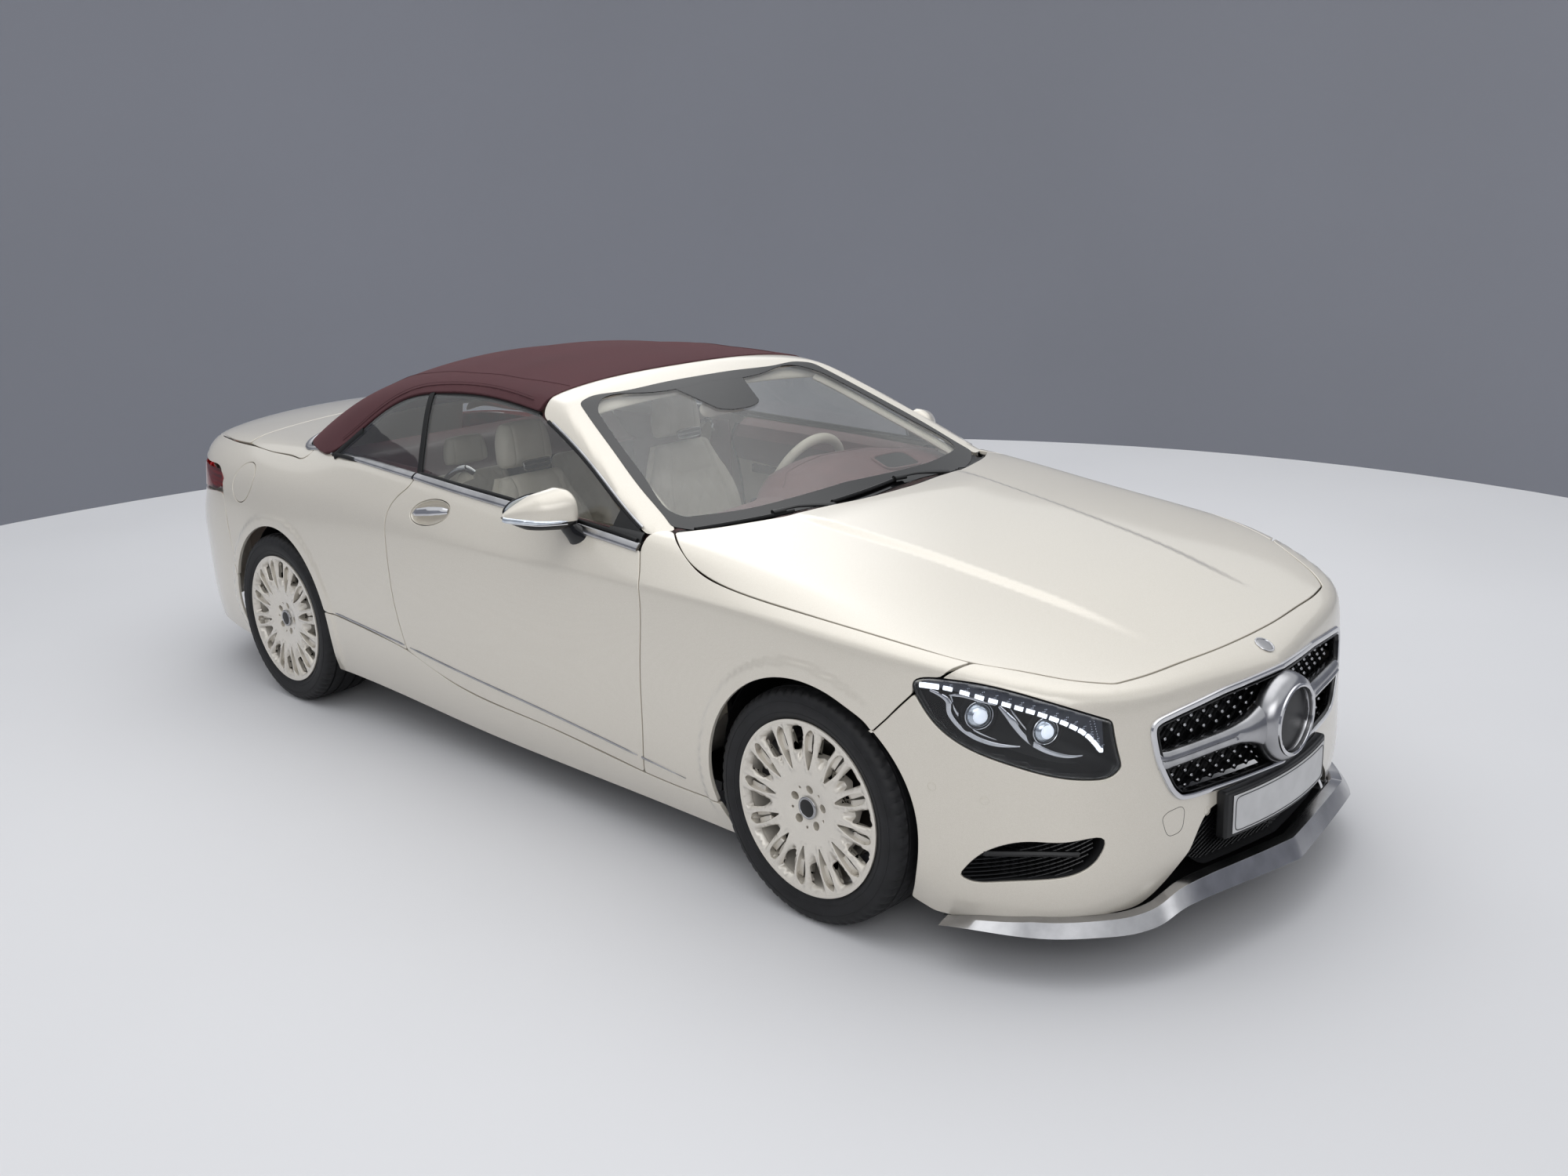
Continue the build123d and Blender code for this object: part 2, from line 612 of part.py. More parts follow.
def make_screen():
    sill = from_front(upper_body, *run([(738, 1024), (400, 1010), (0, 1004)], 17).T, start=200)
    head = from_front(upper_body, *run([(578, 1324), (300, 1338), (0, 1341)], 17).T, start=200)
    side = from_front(upper_body, *run([(738, 1024), (705, 1105), (652, 1200), (578, 1324)], 21).T, start=200)
    low = both_sides(sill)
    high = both_sides(head)
    grid = fill(low, high, side, side * (-1, 1, 1))
    grid = onto(upper_body, grid, grid * (1, 0, 1) + (0, 200, 0))
    return panel(upper_body, grid, 6)


def make_screen_frame():
    pillar = from_side(upper_body, *run([(-778, 1026), (-600, 1107), (-400, 1195), (-220, 1262)], 15).T)
    header = from_top(upper_body, *run([(600, -96), (450, -88), (200, -90), (0, -93)], 17).T)
    outer = run(np.concatenate([pillar, header]), 45)
    edge = from_front(upper_body, *run([(744, 1026), (711, 1105), (657, 1200), (620, 1270)], 15).T, start=200)
    brow = from_front(upper_body, *run([(560, 1333), (400, 1340), (200, 1345), (0, 1347)], 17).T, start=200)
    inner = run(np.concatenate([edge, brow]), 45)
    outer = both_sides(outer)
    inner = both_sides(inner)
    t = np.linspace(0, 1, 9)[None, :, None]
    grid = outer[:, None] * (1 - t) + inner[:, None] * t
    core = grid * (0.55, 1, 1) + (0, 260, -120)
    grid = onto(upper_body, grid, core)
    return panel(upper_body, grid, 12)


rail = [(-60, 1308), (164, 1326), (363, 1328), (575, 1314), (733, 1284), (842, 1232), (944, 1157), (1047, 1087),
        (1125, 1064)]
roof_back = [(784, 1182), (767, 1250), (739, 1329), (697, 1402), (635, 1460), (559, 1502), (404, 1554), (260, 1583),
             (128, 1599), (0, 1605)]


def roof_grid():
    side = from_side(upper_body, *run(rail, 41).T)
    front = both_sides(run(np.concatenate([[side[0]], from_top(upper_body, *np.array(
        [(600, -86), (450, -80), (200, -82), (0, -85)]).T)]), 21))
    rear = both_sides(run(np.concatenate([[side[-1]], from_top(upper_body, *np.array(roof_back).T)]), 21))
    grid = fill(front, rear, side, side * (-1, 1, 1))
    core = grid * (0.3, 1, 0) + (0, 0, 700)
    core[..., 1] = np.clip(core[..., 1], 100, 1100)
    return onto(upper_body, grid, core)


back_light = [(-430, 1205), (430, 1205), (500, 1300), (470, 1420), (380, 1462), (0, 1480), (-380, 1462),
              (-470, 1420), (-500, 1300)]


def make_soft_top():
    return panel(upper_body, roof_grid(), 22) - along_z(back_light, 1000, 1500)


def make_rear_window():
    top = run([(-416, 1218), (0, 1214), (416, 1218)], 21)
    bottom = run([(-450, 1408), (-364, 1446), (0, 1465), (364, 1446), (450, 1408)], 21)
    side = run([(416, 1218), (482, 1300), (450, 1408)], 15)
    grid = fill(top, bottom, side * (-1, 1), side)
    return panel(upper_body, from_top(upper_body, grid[..., 0], grid[..., 1], 900), 6)


def side_glass(low, high, first, last):
    low = from_side(upper_body, *run(low, 25).T)
    high = from_side(upper_body, *run(high, 25).T)
    first = from_side(upper_body, *run(first, 15).T)
    last = from_side(upper_body, *run(last, 15).T)
    high[0], high[-1] = first[-1], last[-1]
    low[0], low[-1] = first[0], last[0]
    grid = fill(low, high, first, last)
    grid = onto(upper_body, grid, grid * (0.3, 1, 1))
    return panel(upper_body, grid, 5)


def make_door_glass():
    return side_glass([(-742, 1022), (430, 1030)], [(-95, 1294), (200, 1316), (574, 1303)],
                      [(-742, 1022), (-590, 1100), (-395, 1187), (-95, 1294)], [(430, 1030), (574, 1303)])


def make_quarter_glass():
    return side_glass([(452, 1032), (1050, 1050)], [(592, 1300), (733, 1272), (842, 1220), (935, 1150), (1010, 1085)],
                      [(452, 1032), (592, 1300)], [(1050, 1050), (1010, 1085)])


def turned(points, axis_x=0.0):
    """Solid of revolution about x of a closed (x, radius) outline."""
    wire = Wire.make_polygon([Vector(x, 0, r) for x, r in points], close=True)
    return Solid.revolve(Face(wire), 360, Axis.X)


def make_tyre():
    r = tyre_radius
    w = tyre_width / 2
    half = [(w - 14, 252.5), (w - 13, 263.5), (w - 3, 273), (w, 290), (w + 1, 306), (w - 4, 330), (w - 14, r - 8),
            (w - 34, r - 1.5), (w - 80, r)]
    return turned(half + [(-x, q) for x, q in half[::-1]])


def make_rim():
    """Barrel, dished face with fifteen windows, hub and brake disc; the face looks to +x."""
    w = tyre_width / 2 - 6
    barrel = turned([(w, 262), (w - 6, 262), (w - 7, 251.5), (-w + 7, 251.5), (-w + 6, 262), (-w, 262),
                     (-w, 250), (-w + 20, 238), (w - 30, 238), (w - 4, 246), (w, 252)])
    face = turned([(w - 12, 245), (w - 3, 150), (w - 4, 70), (w - 10, 0), (w - 40, 0), (w - 36, 110), (w - 30, 245)])
    window = Pos(w - 20, 0, 192) * Rot(0, 90, 0) * Box(80, 20, 60)
    for k in range(15):
        face -= Rot(24 * k, 0, 0) * window
    hub = drum(70, 70, w - 65, 0, 0)
    disc = drum(185, 32, 20, 0, 0)
    return [barrel + face + hub + disc]


def place_wheel(shape, side, axle):
    turn = 0 if side > 0 else 180
    return Pos(side * wheel_plane, axle, hub_height) * Rot(0, 0, turn) * shape


def make_caliper(axle, turn):
    """Calliper over the disc: part of a ring, slotted where the disc runs."""
    ring = drum(226, 84, 832, axle, hub_height) - drum(150, 90, 832, axle, hub_height)
    ring -= drum(193, 44, 832, axle, hub_height)
    wedge = Pos(832, axle, hub_height) * Rot(turn, 0, 0) * Pos(0, 190, 0) * Box(100, 120, 190)
    bridge = Pos(779, axle, hub_height) * Rot(turn, 0, 0) * Pos(0, 125, 0) * Box(26, 150, 70)
    return (ring & wedge) + bridge


def make_knuckle(axle=front_axle, turn=25):
    """Upright: hub carrier behind the disc, with its calliper."""
    upright = Pos(742, axle, hub_height) * Box(50, 90, 260)
    bearing = drum(60, 40, 758, axle, hub_height)
    return upright + bearing + make_caliper(axle, turn)


def make_front_subframe():
    beam = Pos(0, front_axle, 215) * Box(760, 200, 60)
    arms = [Pos(side * 560, front_axle, 201) * Box(400, 56, 22) for side in (-1, 1)]
    rack = drum(22, 900, 0, front_axle + 130, 262)
    legs = [Pos(side * 330, front_axle + 40, 300) * Box(60, 300, 120) for side in (-1, 1)]
    return beam + arms + legs + rack


def make_rear_axle():
    beam = Pos(0, rear_axle, 290) * Box(700, 260, 90)
    case = Pos(0, rear_axle, 350) * Box(220, 240, 200)
    parts = beam + case
    for side in (-1, 1):
        parts += drum(20, 640, side * 410, rear_axle, hub_height)
        parts += Pos(side * 560, rear_axle + 60, 235) * Box(420, 50, 26)
        parts += Pos(side * 560, rear_axle - 60, 470) * Box(420, 40, 26)
        parts += Pos(side * 742, rear_axle, hub_height) * Box(50, 150, 280)
        parts += drum(60, 40, side * 758, rear_axle, hub_height)
    caliper = make_caliper(rear_axle, 155)
    parts += caliper
    parts += other(caliper)
    return parts


def make_liners():
    liners = []
    for (y, z, r), inner, thick_radius in ((front_arch, 484, 408), (rear_arch, 632, 388)):
        length = 850 - inner
        middle = (850 + inner) / 2
        shell = drum(thick_radius + 4, length, middle, y, z) - drum(thick_radius, length + 10, middle, y, z)
        wall = drum(thick_radius + 4, 4, inner + 2, y, z)
        wall -= Pos(inner, y, z - 200) * Box(60, 420, 700)
        shell = (shell + wall) & (Pos(middle, y, 500) * Box(600, 900, 600))
        liners += [shell, other(shell)]
    return liners


def make_floor():
    """Floor with its tunnel, the firewall in front and the bulkhead behind the rear seats."""
    floor = along_y([(-740, 190), (740, 190), (740, 222), (170, 222), (130, 330), (-130, 330), (-170, 222),
                     (-740, 222)], -1060, 960)
    floor -= along_y([(-140, 180), (140, 180), (108, 300), (-108, 300)], -1070, 970)
    floor -= along_x([(-1200, 100), (-990, 100), (-1040, 600), (-1200, 600)], -900, 900)
    kick = along_x([(490, 190), (510, 190), (510, 305), (945, 305), (945, 330), (490, 330)], -620, 620)
    firewall = along_x([(-1020, 222), (-1000, 222), (-1000, 940), (-1020, 940)], -700, 700)
    bulkhead = along_x([(930, 222), (950, 222), (990, 900), (970, 900)], -620, 620)
    tub = floor + kick + firewall + bulkhead
    for side in (-1, 1):
        tub -= drum(416, 260, side * 610, *front_arch[:2])
        tub -= drum(396, 260, side * 765, *rear_arch[:2])
    return tub


def make_boot():
    """Open box for luggage, its floor stepped up over the rear axle."""
    outside = along_x([(1030, 530), (1615, 530), (1640, 400), (2320, 400), (2320, 795), (1030, 795)], -585, 585)
    inside = along_x([(1045, 545), (1626, 545), (1651, 415), (2305, 415), (2305, 900), (1045, 900)], -570, 570)
    return outside - inside


def make_engine():
    return Pos(0, -1560, 530) * Box(520, 560, 480)


def make_exhaust():
    out = []
    for side in (-1, 1):
        box = Pos(side * 430, 2190, 300) * Box(300, 240, 150)
        pipe = Pos(side * 60, 550, 215) * Rot(90, 0, 0) * Cylinder(28, 2900)
        tip = Pos(side * 500, 2330, 262) * Box(130, 60, 60)
        out += [box + tip]
    return out


def make_dashboard():
    dash = along_x([(-940, 966), (-580, 978), (-520, 960), (-480, 890), (-500, 760), (-600, 690), (-920, 690)], -730, 730)
    dash += along_x([(-780, 966), (-640, 1026), (-480, 1030), (-478, 890), (-700, 890)], 150, 590)
    axis = Pos(*wheel_centre) * Rot(-90 + column_angle, 0, 0)
    return dash - axis * Cylinder(48, 900)


def make_steering_wheel():
    place = Pos(*wheel_centre) * Rot(-90 + column_angle, 0, 0)
    ring = Torus(176, 15)
    hub = Cylinder(62, 44) + Pos(0, 0, -110) * Cylinder(32, 200)
    spokes = Box(340, 44, 16) + Pos(0, -90, 0) * Box(44, 160, 16)
    return place * (ring + hub + spokes)


def make_console():
    return along_x([(-690, 680), (-560, 640), (-500, 600), (-300, 545), (380, 545), (390, 336), (-690, 336)], -117, 117)


def front_seat():
    base = along_x([(-390, 225), (120, 225), (150, 330), (-400, 330)], -200, 200)
    cushion = along_x([(-430, 330), (160, 330), (162, 440), (-380, 500), (-440, 470)], -262, 262)
    back = along_x([(166, 432), (262, 420), (430, 990), (400, 1030), (330, 1030), (300, 990)], -262, 262)
    head = along_x([(335, 1032), (425, 1032), (440, 1160), (400, 1190), (350, 1180)], -140, 140)
    return [base + cushion, back, head]


def make_front_seats():
    seat = [Pos(385, 20, 0) * part for part in front_seat()]
    return seat + [other(part) for part in seat]


def make_rear_seats():
    seats = []
    for side in (-1, 1):
        cushion = along_x([(480, 336), (812, 336), (812, 440), (500, 480), (470, 440)], -225, 225)
        back = along_x([(816, 336), (905, 336), (922, 430), (958, 930), (900, 950), (856, 900)], -225, 225)
        head = along_x([(880, 953), (952, 951), (964, 1060), (900, 1070)], -110, 110)
        seats += [Pos(side * 300, 0, 0) * part for part in (cushion, back, head)]
    return seats


def make_mirror(door):
    """Mirror head on its foot, which is cut to the door top."""
    head = Pos(952, -452, 1066) * fillet(Box(204, 132, 122).edges(), 42)
    foot = along_x([(-590, 930), (-500, 930), (-450, 1040), (-515, 1040)], 876, 940)
    return head + foot - door


def build():
    save("bonnet", make_bonnet())
    save("scuttle_panel", make_scuttle())
    fender = make_fender()
    save("front_fender_left", fender)
    save("front_fender_right", other(fender))
    save("front_bumper", make_front_bumper())
    lamp = make_headlamp()
    save("headlamps", lamp, other(lamp))
    save("radiator_grille", *make_grille())
    save("front_splitter", make_splitter())
    sill = make_sill()
    save("side_sills", sill, other(sill))
    door = make_door()
    save("door_left", door)
    save("door_right", other(door))
    quarter = make_quarter()
    save("rear_quarter_left", quarter)
    save("rear_quarter_right", other(quarter))
    save("tonneau_cover", make_tonneau())
    save("boot_lid", make_boot_lid())
    save("rear_bumper", make_rear_bumper())
    lamp = make_tail_lamp()
    save("tail_lamps", lamp, other(lamp))
    save("windscreen", make_screen())
    save("windscreen_frame", make_screen_frame())
    save("soft_top", make_soft_top())
    save("rear_window", make_rear_window())
    glass = make_door_glass()
    save("door_glass_left", glass)
    save("door_glass_right", other(glass))
    glass = make_quarter_glass()
    save("quarter_glass", glass, other(glass))
    mirror_left = make_mirror(door)
    save("door_mirror_left", mirror_left)
    save("door_mirror_right", other(mirror_left))
    for end, axle in (("front", front_axle), ("rear", rear_axle)):
        for name, side in (("left", 1), ("right", -1)):
            save(f"tyre_{end}_{name}", place_wheel(make_tyre(), side, axle))
            save(f"wheel_{end}_{name}", *[place_wheel(s, side, axle) for s in make_rim()])
    knuckle = make_knuckle()
    save("front_knuckle_left", knuckle)
    save("front_knuckle_right", other(knuckle))
    save("front_subframe", make_front_subframe())
    save("rear_axle", make_rear_axle())
    save("wheel_arch_liners", *make_liners())
    save("floor_pan", make_floor())
    save("boot_tub", make_boot())
    save("engine_block", make_engine())
    save("exhaust_silencers", *make_exhaust())
    save("dashboard", make_dashboard())
    save("steering_wheel", make_steering_wheel())
    save("centre_console", make_console())
    save("front_seats", *make_front_seats())
    save("rear_seats", *make_rear_seats())


build()
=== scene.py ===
import math
import time

import bmesh
import bpy
import numpy as np
from mathutils import Matrix, Vector
from mathutils.geometry import delaunay_2d_cdt


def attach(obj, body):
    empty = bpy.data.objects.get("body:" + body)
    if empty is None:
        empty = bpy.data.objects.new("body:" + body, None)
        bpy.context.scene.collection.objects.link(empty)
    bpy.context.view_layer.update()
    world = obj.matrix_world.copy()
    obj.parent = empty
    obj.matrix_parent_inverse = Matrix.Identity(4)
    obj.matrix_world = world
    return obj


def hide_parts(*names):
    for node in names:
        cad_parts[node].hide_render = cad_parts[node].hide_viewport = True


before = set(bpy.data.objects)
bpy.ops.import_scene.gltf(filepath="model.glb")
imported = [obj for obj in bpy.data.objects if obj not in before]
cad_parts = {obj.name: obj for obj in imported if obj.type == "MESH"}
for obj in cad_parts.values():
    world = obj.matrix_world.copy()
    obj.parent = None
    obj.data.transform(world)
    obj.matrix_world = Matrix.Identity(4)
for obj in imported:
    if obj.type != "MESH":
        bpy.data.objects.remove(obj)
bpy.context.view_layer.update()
startTime = time.time()


def stage(text):
    # one line for each step, with the seconds so far
    print(f"{time.time() - startTime:6.1f} s  {text}", flush=True)


frontArch = (-1548.0, 358.0, 378.0)
rearArch = (1397.0, 358.0, 376.0)


# Shape of the body, in millimetres: y runs to the rear, s is the distance from the middle plane, z is up.


def spline(*points):
    # Natural cubic spline through (t, value) points, straight beyond both ends.
    t, v = np.array(points, float).T
    n = len(t)
    h = np.diff(t)
    m = np.zeros(n)
    if n > 2:
        a = np.zeros((n, n))
        b = np.zeros(n)
        a[0, 0] = 1
        a[-1, -1] = 1
        for i in range(1, n - 1):
            a[i, i - 1:i + 2] = h[i - 1], 2 * (h[i - 1] + h[i]), h[i]
            b[i] = 6 * ((v[i + 1] - v[i]) / h[i] - (v[i] - v[i - 1]) / h[i - 1])
        m = np.linalg.solve(a, b)
    slopeLow = (v[1] - v[0]) / h[0] - h[0] * m[1] / 6
    slopeHigh = (v[-1] - v[-2]) / h[-1] + h[-1] * m[-2] / 6

    def curve(x):
        x = np.asarray(x, float)
        q = np.clip(x, t[0], t[-1])
        i = np.clip(np.searchsorted(t, q) - 1, 0, n - 2)
        near = t[i + 1] - q
        far = q - t[i]
        gap = h[i]
        y = (m[i] * near**3 + m[i + 1] * far**3) / (6 * gap)
        y = y + (v[i] / gap - m[i] * gap / 6) * near + (v[i + 1] / gap - m[i + 1] * gap / 6) * far
        return y + np.minimum(x - t[0], 0) * slopeLow + np.maximum(x - t[-1], 0) * slopeHigh

    return curve


def rise(t, k):
    # Zero below t = 0 and t above it, rounded over the length k.
    return 0.5 * (t + np.sqrt(t * t + k * k))


def join(a, b, k):
    # The larger of a and b, rounded over the length k.
    return 0.5 * (a + b + np.sqrt((a - b)**2 + k * k))


def step(t):
    # Smooth step from 0 to 1.
    t = np.clip(t, 0, 1)
    return t * t * t * (10 - 15 * t + 6 * t * t)


halfWidth = spline((-2450, 868), (-2150, 905), (-1850, 934), (-1550, 949), (-1150, 944), (-750, 937),
                    (50, 936), (650, 939), (1150, 947), (1450, 950), (1850, 936), (2250, 900), (2550, 852))
sideDrop = spline((100, 96), (200, 50), (260, 30), (330, 14), (430, 4), (560, 0), (700, 2), (820, 7),
                   (900, 13), (1100, 35))
creaseHeight = spline((-2250, 842), (-1850, 872), (-1550, 884), (-1200, 891), (-874, 883), (-463, 874),
                       (-21, 863), (350, 868), (750, 885), (1150, 908), (1550, 925), (2050, 918),
                      (2550, 885))
creaseLean = spline((-2350, 1.5), (-1850, 1.75), (-1550, 1.6), (-1200, 0.95), (-874, 0.5), (-250, 0.4),
                     (350, 0.4), (750, 0.5), (1150, 0.85), (1550, 1.25), (2050, 1.45), (2550, 1.5))
creaseRound = spline((-2350, 30), (-1850, 14), (-1550, 10), (-850, 9), (50, 12), (450, 40), (950, 90),
                      (1450, 110), (2450, 90))
deckMiddle = spline((-2650, 690), (-2510, 744), (-2426, 783), (-2345, 809), (-2250, 832), (-2138, 859),
                     (-1962, 898), (-1755, 936), (-1522, 974), (-1287, 1006), (-1166, 1022), (-1040, 1038),
                     (-750, 1065), (50, 1092), (650, 1108), (1150, 1102), (1550, 1088), (1950, 1075),
                     (2250, 1058), (2450, 1044), (2650, 1032))
deckCrown = spline((-2550, 26), (-2250, 24), (-1550, 24), (-850, 28), (50, 40), (1250, 48), (2050, 56),
                    (2550, 60))
foldLine = spline((-2450, 300), (-2138, 306), (-1900, 333), (-1550, 362), (-1166, 400), (-950, 420))
noseMiddle = spline((100, -2450), (230, -2495), (330, -2506), (440, -2502), (580, -2499), (735, -2490),
                     (900, -2470))
noseRound = spline((0, 0), (120, 16), (300, 46), (538, 96), (640, 140), (720, 205), (800, 320), (860, 450),
                    (910, 600), (960, 800))
tailMiddle = spline((100, 2430), (250, 2490), (400, 2515), (560, 2522), (700, 2512), (760, 2485),
                     (900, 2462), (1000, 2455), (1100, 2445))
tailRound = spline((0, 0), (300, 16), (500, 50), (650, 105), (740, 170), (800, 245), (850, 345), (900, 490),
                    (950, 700))
shoulderRound = spline((-2450, 40), (-1950, 34), (-1150, 26), (-750, 24), (950, 24), (1550, 30), (2550, 40))


def lip(y, z):
    # Raised band around both wheel openings.
    out = 0
    for archY, archZ, archRadius in (frontArch, rearArch):
        r = np.hypot(y - archY, z - archZ)
        out = out + 7 * (1 - step((r - archRadius - 34) / 26)) * step((z - 170) / 120)
    return out


def sideReach(y, z):
    # Half width of the body at (y, z): full width, less the tuck under, less the lean over the crease.
    over = rise(z - creaseHeight(y), creaseRound(y))
    return halfWidth(y) - sideDrop(z) - creaseLean(y) * over + lip(y, z)


def deckHeight(s, y):
    # Height of bonnet, scuttle and boot deck: middle line, crown, and the two raised folds.
    crown = deckCrown(y) * (s / 760)**2
    fold = 11 * (1 - step((s - foldLine(y) + 18) / 50)) * step((y + 2330) / 500) * step((-960 - y) / 260)
    return deckMiddle(y) - crown + fold


def lowerBody(s, y, z):
    # Below zero inside the lower body: side, deck, nose and tail joined with rounded edges.
    value = join(s - sideReach(y, z), z - deckHeight(s, y), shoulderRound(y))
    value = join(value, noseMiddle(z) + noseRound(s) - y, 34 + 26 * step((760 - z) / 160))
    return join(value, y - tailMiddle(z) + tailRound(s), 50)


glassFoot = spline((-1050, 775), (-850, 821), (-550, 837), (-150, 841), (350, 838), (750, 835), (1150, 822),
                    (1450, 783), (1750, 700))
glassLean = spline((-850, 0.522), (-150, 0.557), (350, 0.541), (850, 0.513), (1250, 0.57), (1650, 0.68))
roofMiddle = spline((-550, 1270), (-179, 1378), (50, 1404), (312, 1419), (650, 1411), (950, 1374),
                     (1200, 1306), (1400, 1218), (1560, 1130), (1700, 1040))
roofCrown = spline((-250, 30), (50, 42), (650, 56), (1250, 70), (1750, 90))
roofRound = spline((-250, 30), (350, 60), (1250, 110), (1750, 160))


def glassReach(y, z):
    # Half width of the side glass and of the roof above it.
    return glassFoot(y) - (z - 1010) * glassLean(y) - 0.00012 * (z - 1010)**2


def roofHeight(s, y):
    return roofMiddle(y) - roofCrown(y) * (s / 600)**2


def screenDepth(s, z):
    # y of the windscreen: it leans back with height and bends back at its sides.
    bend = 56 - 0.1 * np.clip(z - 1003, 0, 400)
    return -975 + (z - 1003) * 2.3 + bend * (s / 600)**2


def upperBody(s, y, z):
    # Below zero inside the glasshouse and roof.
    value = join(s - glassReach(y, z), z - roofHeight(s, y), roofRound(y))
    return join(value, screenDepth(s, z) - y, 14)


def meet(field, start, way, low=0.0, high=1500.0):
    # Where rays from start along way leave the field; all arrays end in x, y, z.
    start, way = np.broadcast_arrays(np.asarray(start, float), np.asarray(way, float))
    low = np.full(start.shape[:-1], float(low))
    high = np.full(start.shape[:-1], float(high))
    for turn in range(28):
        middle = 0.5 * (low + high)
        q = start + way * middle[..., None]
        inside = field(np.abs(q[..., 0]), q[..., 1], q[..., 2]) < 0
        low = np.where(inside, middle, low)
        high = np.where(inside, high, middle)
    return start + way * high[..., None]


def outward(field, p):
    # Unit normal of the field at points p.
    grow = np.zeros(p.shape)
    for axis in range(3):
        nudge = np.zeros(3)
        nudge[axis] = 0.5
        a = p + nudge
        b = p - nudge
        grow[..., axis] = field(np.abs(a[..., 0]), a[..., 1], a[..., 2]) - field(np.abs(b[..., 0]),
                b[..., 1], b[..., 2])
    return grow / np.linalg.norm(grow, axis=-1, keepdims=True)


def fromSide(field, y, z, inner=250):
    y, z = np.broadcast_arrays(np.asarray(y, float), np.asarray(z, float))
    return meet(field, np.stack([np.full_like(y, inner), y, z], -1), (1, 0, 0), 0, 900)


def fromTop(field, x, y, floor=500):
    x, y = np.broadcast_arrays(np.asarray(x, float), np.asarray(y, float))
    return meet(field, np.stack([x, y, np.full_like(x, floor)], -1), (0, 0, 1), 0, 1200)


def fromFront(field, x, z, start=-1400):
    x, z = np.broadcast_arrays(np.asarray(x, float), np.asarray(z, float))
    return meet(field, np.stack([x, np.full_like(x, start), z], -1), (0, -1, 0), 0, 1400)


def fromRear(field, x, z, start=1500):
    x, z = np.broadcast_arrays(np.asarray(x, float), np.asarray(z, float))
    return meet(field, np.stack([x, np.full_like(x, start), z], -1), (0, 1, 0), 0, 1400)


# Meshes: every shape below is worked out in millimetres and stored in metres.


def addPiece(name, points, faces, body, material, slot, nodes=(), normals=None, smooth=True, sharp=38):
    # points (n, 3), faces (m, 3 or 4) or a list of lists; normals are one row for each face corner
    if isinstance(faces, np.ndarray):
        faces = faces.tolist()
    mesh = bpy.data.meshes.new(name)
    mesh.from_pydata((np.asarray(points) * 0.001).tolist(), [], faces)
    mesh.polygons.foreach_set("use_smooth", np.full(len(mesh.polygons), smooth))
    if normals is not None:
        mesh.normals_split_custom_set(normals.tolist())
    elif smooth and sharp:
        mesh.set_sharp_from_angle(angle=math.radians(sharp))
    piece = bpy.data.objects.new(name, mesh)
    bpy.context.collection.objects.link(piece)
    return settle(piece, body, material, slot, nodes)


def settle(piece, body, material, slot, nodes=()):
    piece.data.materials.clear()
    for m in material if isinstance(material, (list, tuple)) else [material]:
        piece.data.materials.append(m)
    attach(piece, body)
    if nodes:
        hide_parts(*nodes)
    return piece


def faceOut(piece):
    # doubles merged and all faces turned outward
    work = bmesh.new()
    work.from_mesh(piece.data)
    bmesh.ops.remove_doubles(work, verts=work.verts, dist=1e-6)
    bmesh.ops.recalc_face_normals(work, faces=work.faces)
    work.to_mesh(piece.data)
    work.free()
    return piece


def bevelled(piece, width, segments=2, angle=35):
    bevel = piece.modifiers.new("edge", "BEVEL")
    bevel.width = width * 0.001
    bevel.segments = segments
    bevel.limit_method = "ANGLE"
    bevel.angle_limit = math.radians(angle)
    bevel.harden_normals = True
    return piece


def unit(v):
    return v / np.maximum(np.linalg.norm(v, axis=-1, keepdims=True), 1e-9)


def run(points, count):
    # smooth curve through points, as count points evenly spread over its chord length
    p = np.array(points, float)
    t = np.concatenate([[0], np.cumsum(np.linalg.norm(np.diff(p, axis=0), axis=1))])
    u = np.linspace(0, t[-1], count)
    return np.stack([spline(*zip(t, p[:, k]))(u) for k in range(p.shape[1])], -1)


def evenly(points, pace, closed=False):
    # polyline resampled to steps of about pace
    p = np.array(points, float)
    if closed:
        p = np.concatenate([p, p[:1]])
    t = np.concatenate([[0], np.cumsum(np.linalg.norm(np.diff(p, axis=0), axis=1))])
    count = max(int(round(t[-1] / pace)), 3)
    u = np.linspace(0, t[-1], count + 1)
    q = np.stack([np.interp(u, t, p[:, k]) for k in range(p.shape[1])], -1)
    return q[:-1] if closed else q


def softened(p, times):
    # closed polyline with its corners rounded: each point moves to the mean of itself and its neighbours
    for turn in range(times):
        p = 0.5 * p + 0.25 * (np.roll(p, 1, 0) + np.roll(p, -1, 0))
    return p


def gridFaces(rows, columns, closeRows=False, closeColumns=False):
    # quads of a grid of rows x columns points, optionally joined end to end
    i = np.arange(rows if closeRows else rows - 1)[:, None]
    j = np.arange(columns if closeColumns else columns - 1)[None, :]
    a = i * columns + j
    b = i * columns + (j + 1) % columns
    c = (i + 1) % rows * columns + (j + 1) % columns
    d = (i + 1) % rows * columns + j
    return np.stack([a, b, c, d], -1).reshape(-1, 4)


def merge(parts):
    # several (points, faces) as one
    points = []
    faces = []
    start = 0
    for p, f in parts:
        points.append(np.asarray(p, float).reshape(-1, 3))
        faces += [[start + k for k in face] for face in (f.tolist() if isinstance(f, np.ndarray) else f)]
        start += len(points[-1])
    return np.concatenate(points), faces


def flipped(part):
    # the same shape on the other side of the car
    points, faces = part
    faces = [list(face)[::-1] for face in (faces.tolist() if isinstance(faces, np.ndarray) else faces)]
    return np.asarray(points) * (-1, 1, 1), faces


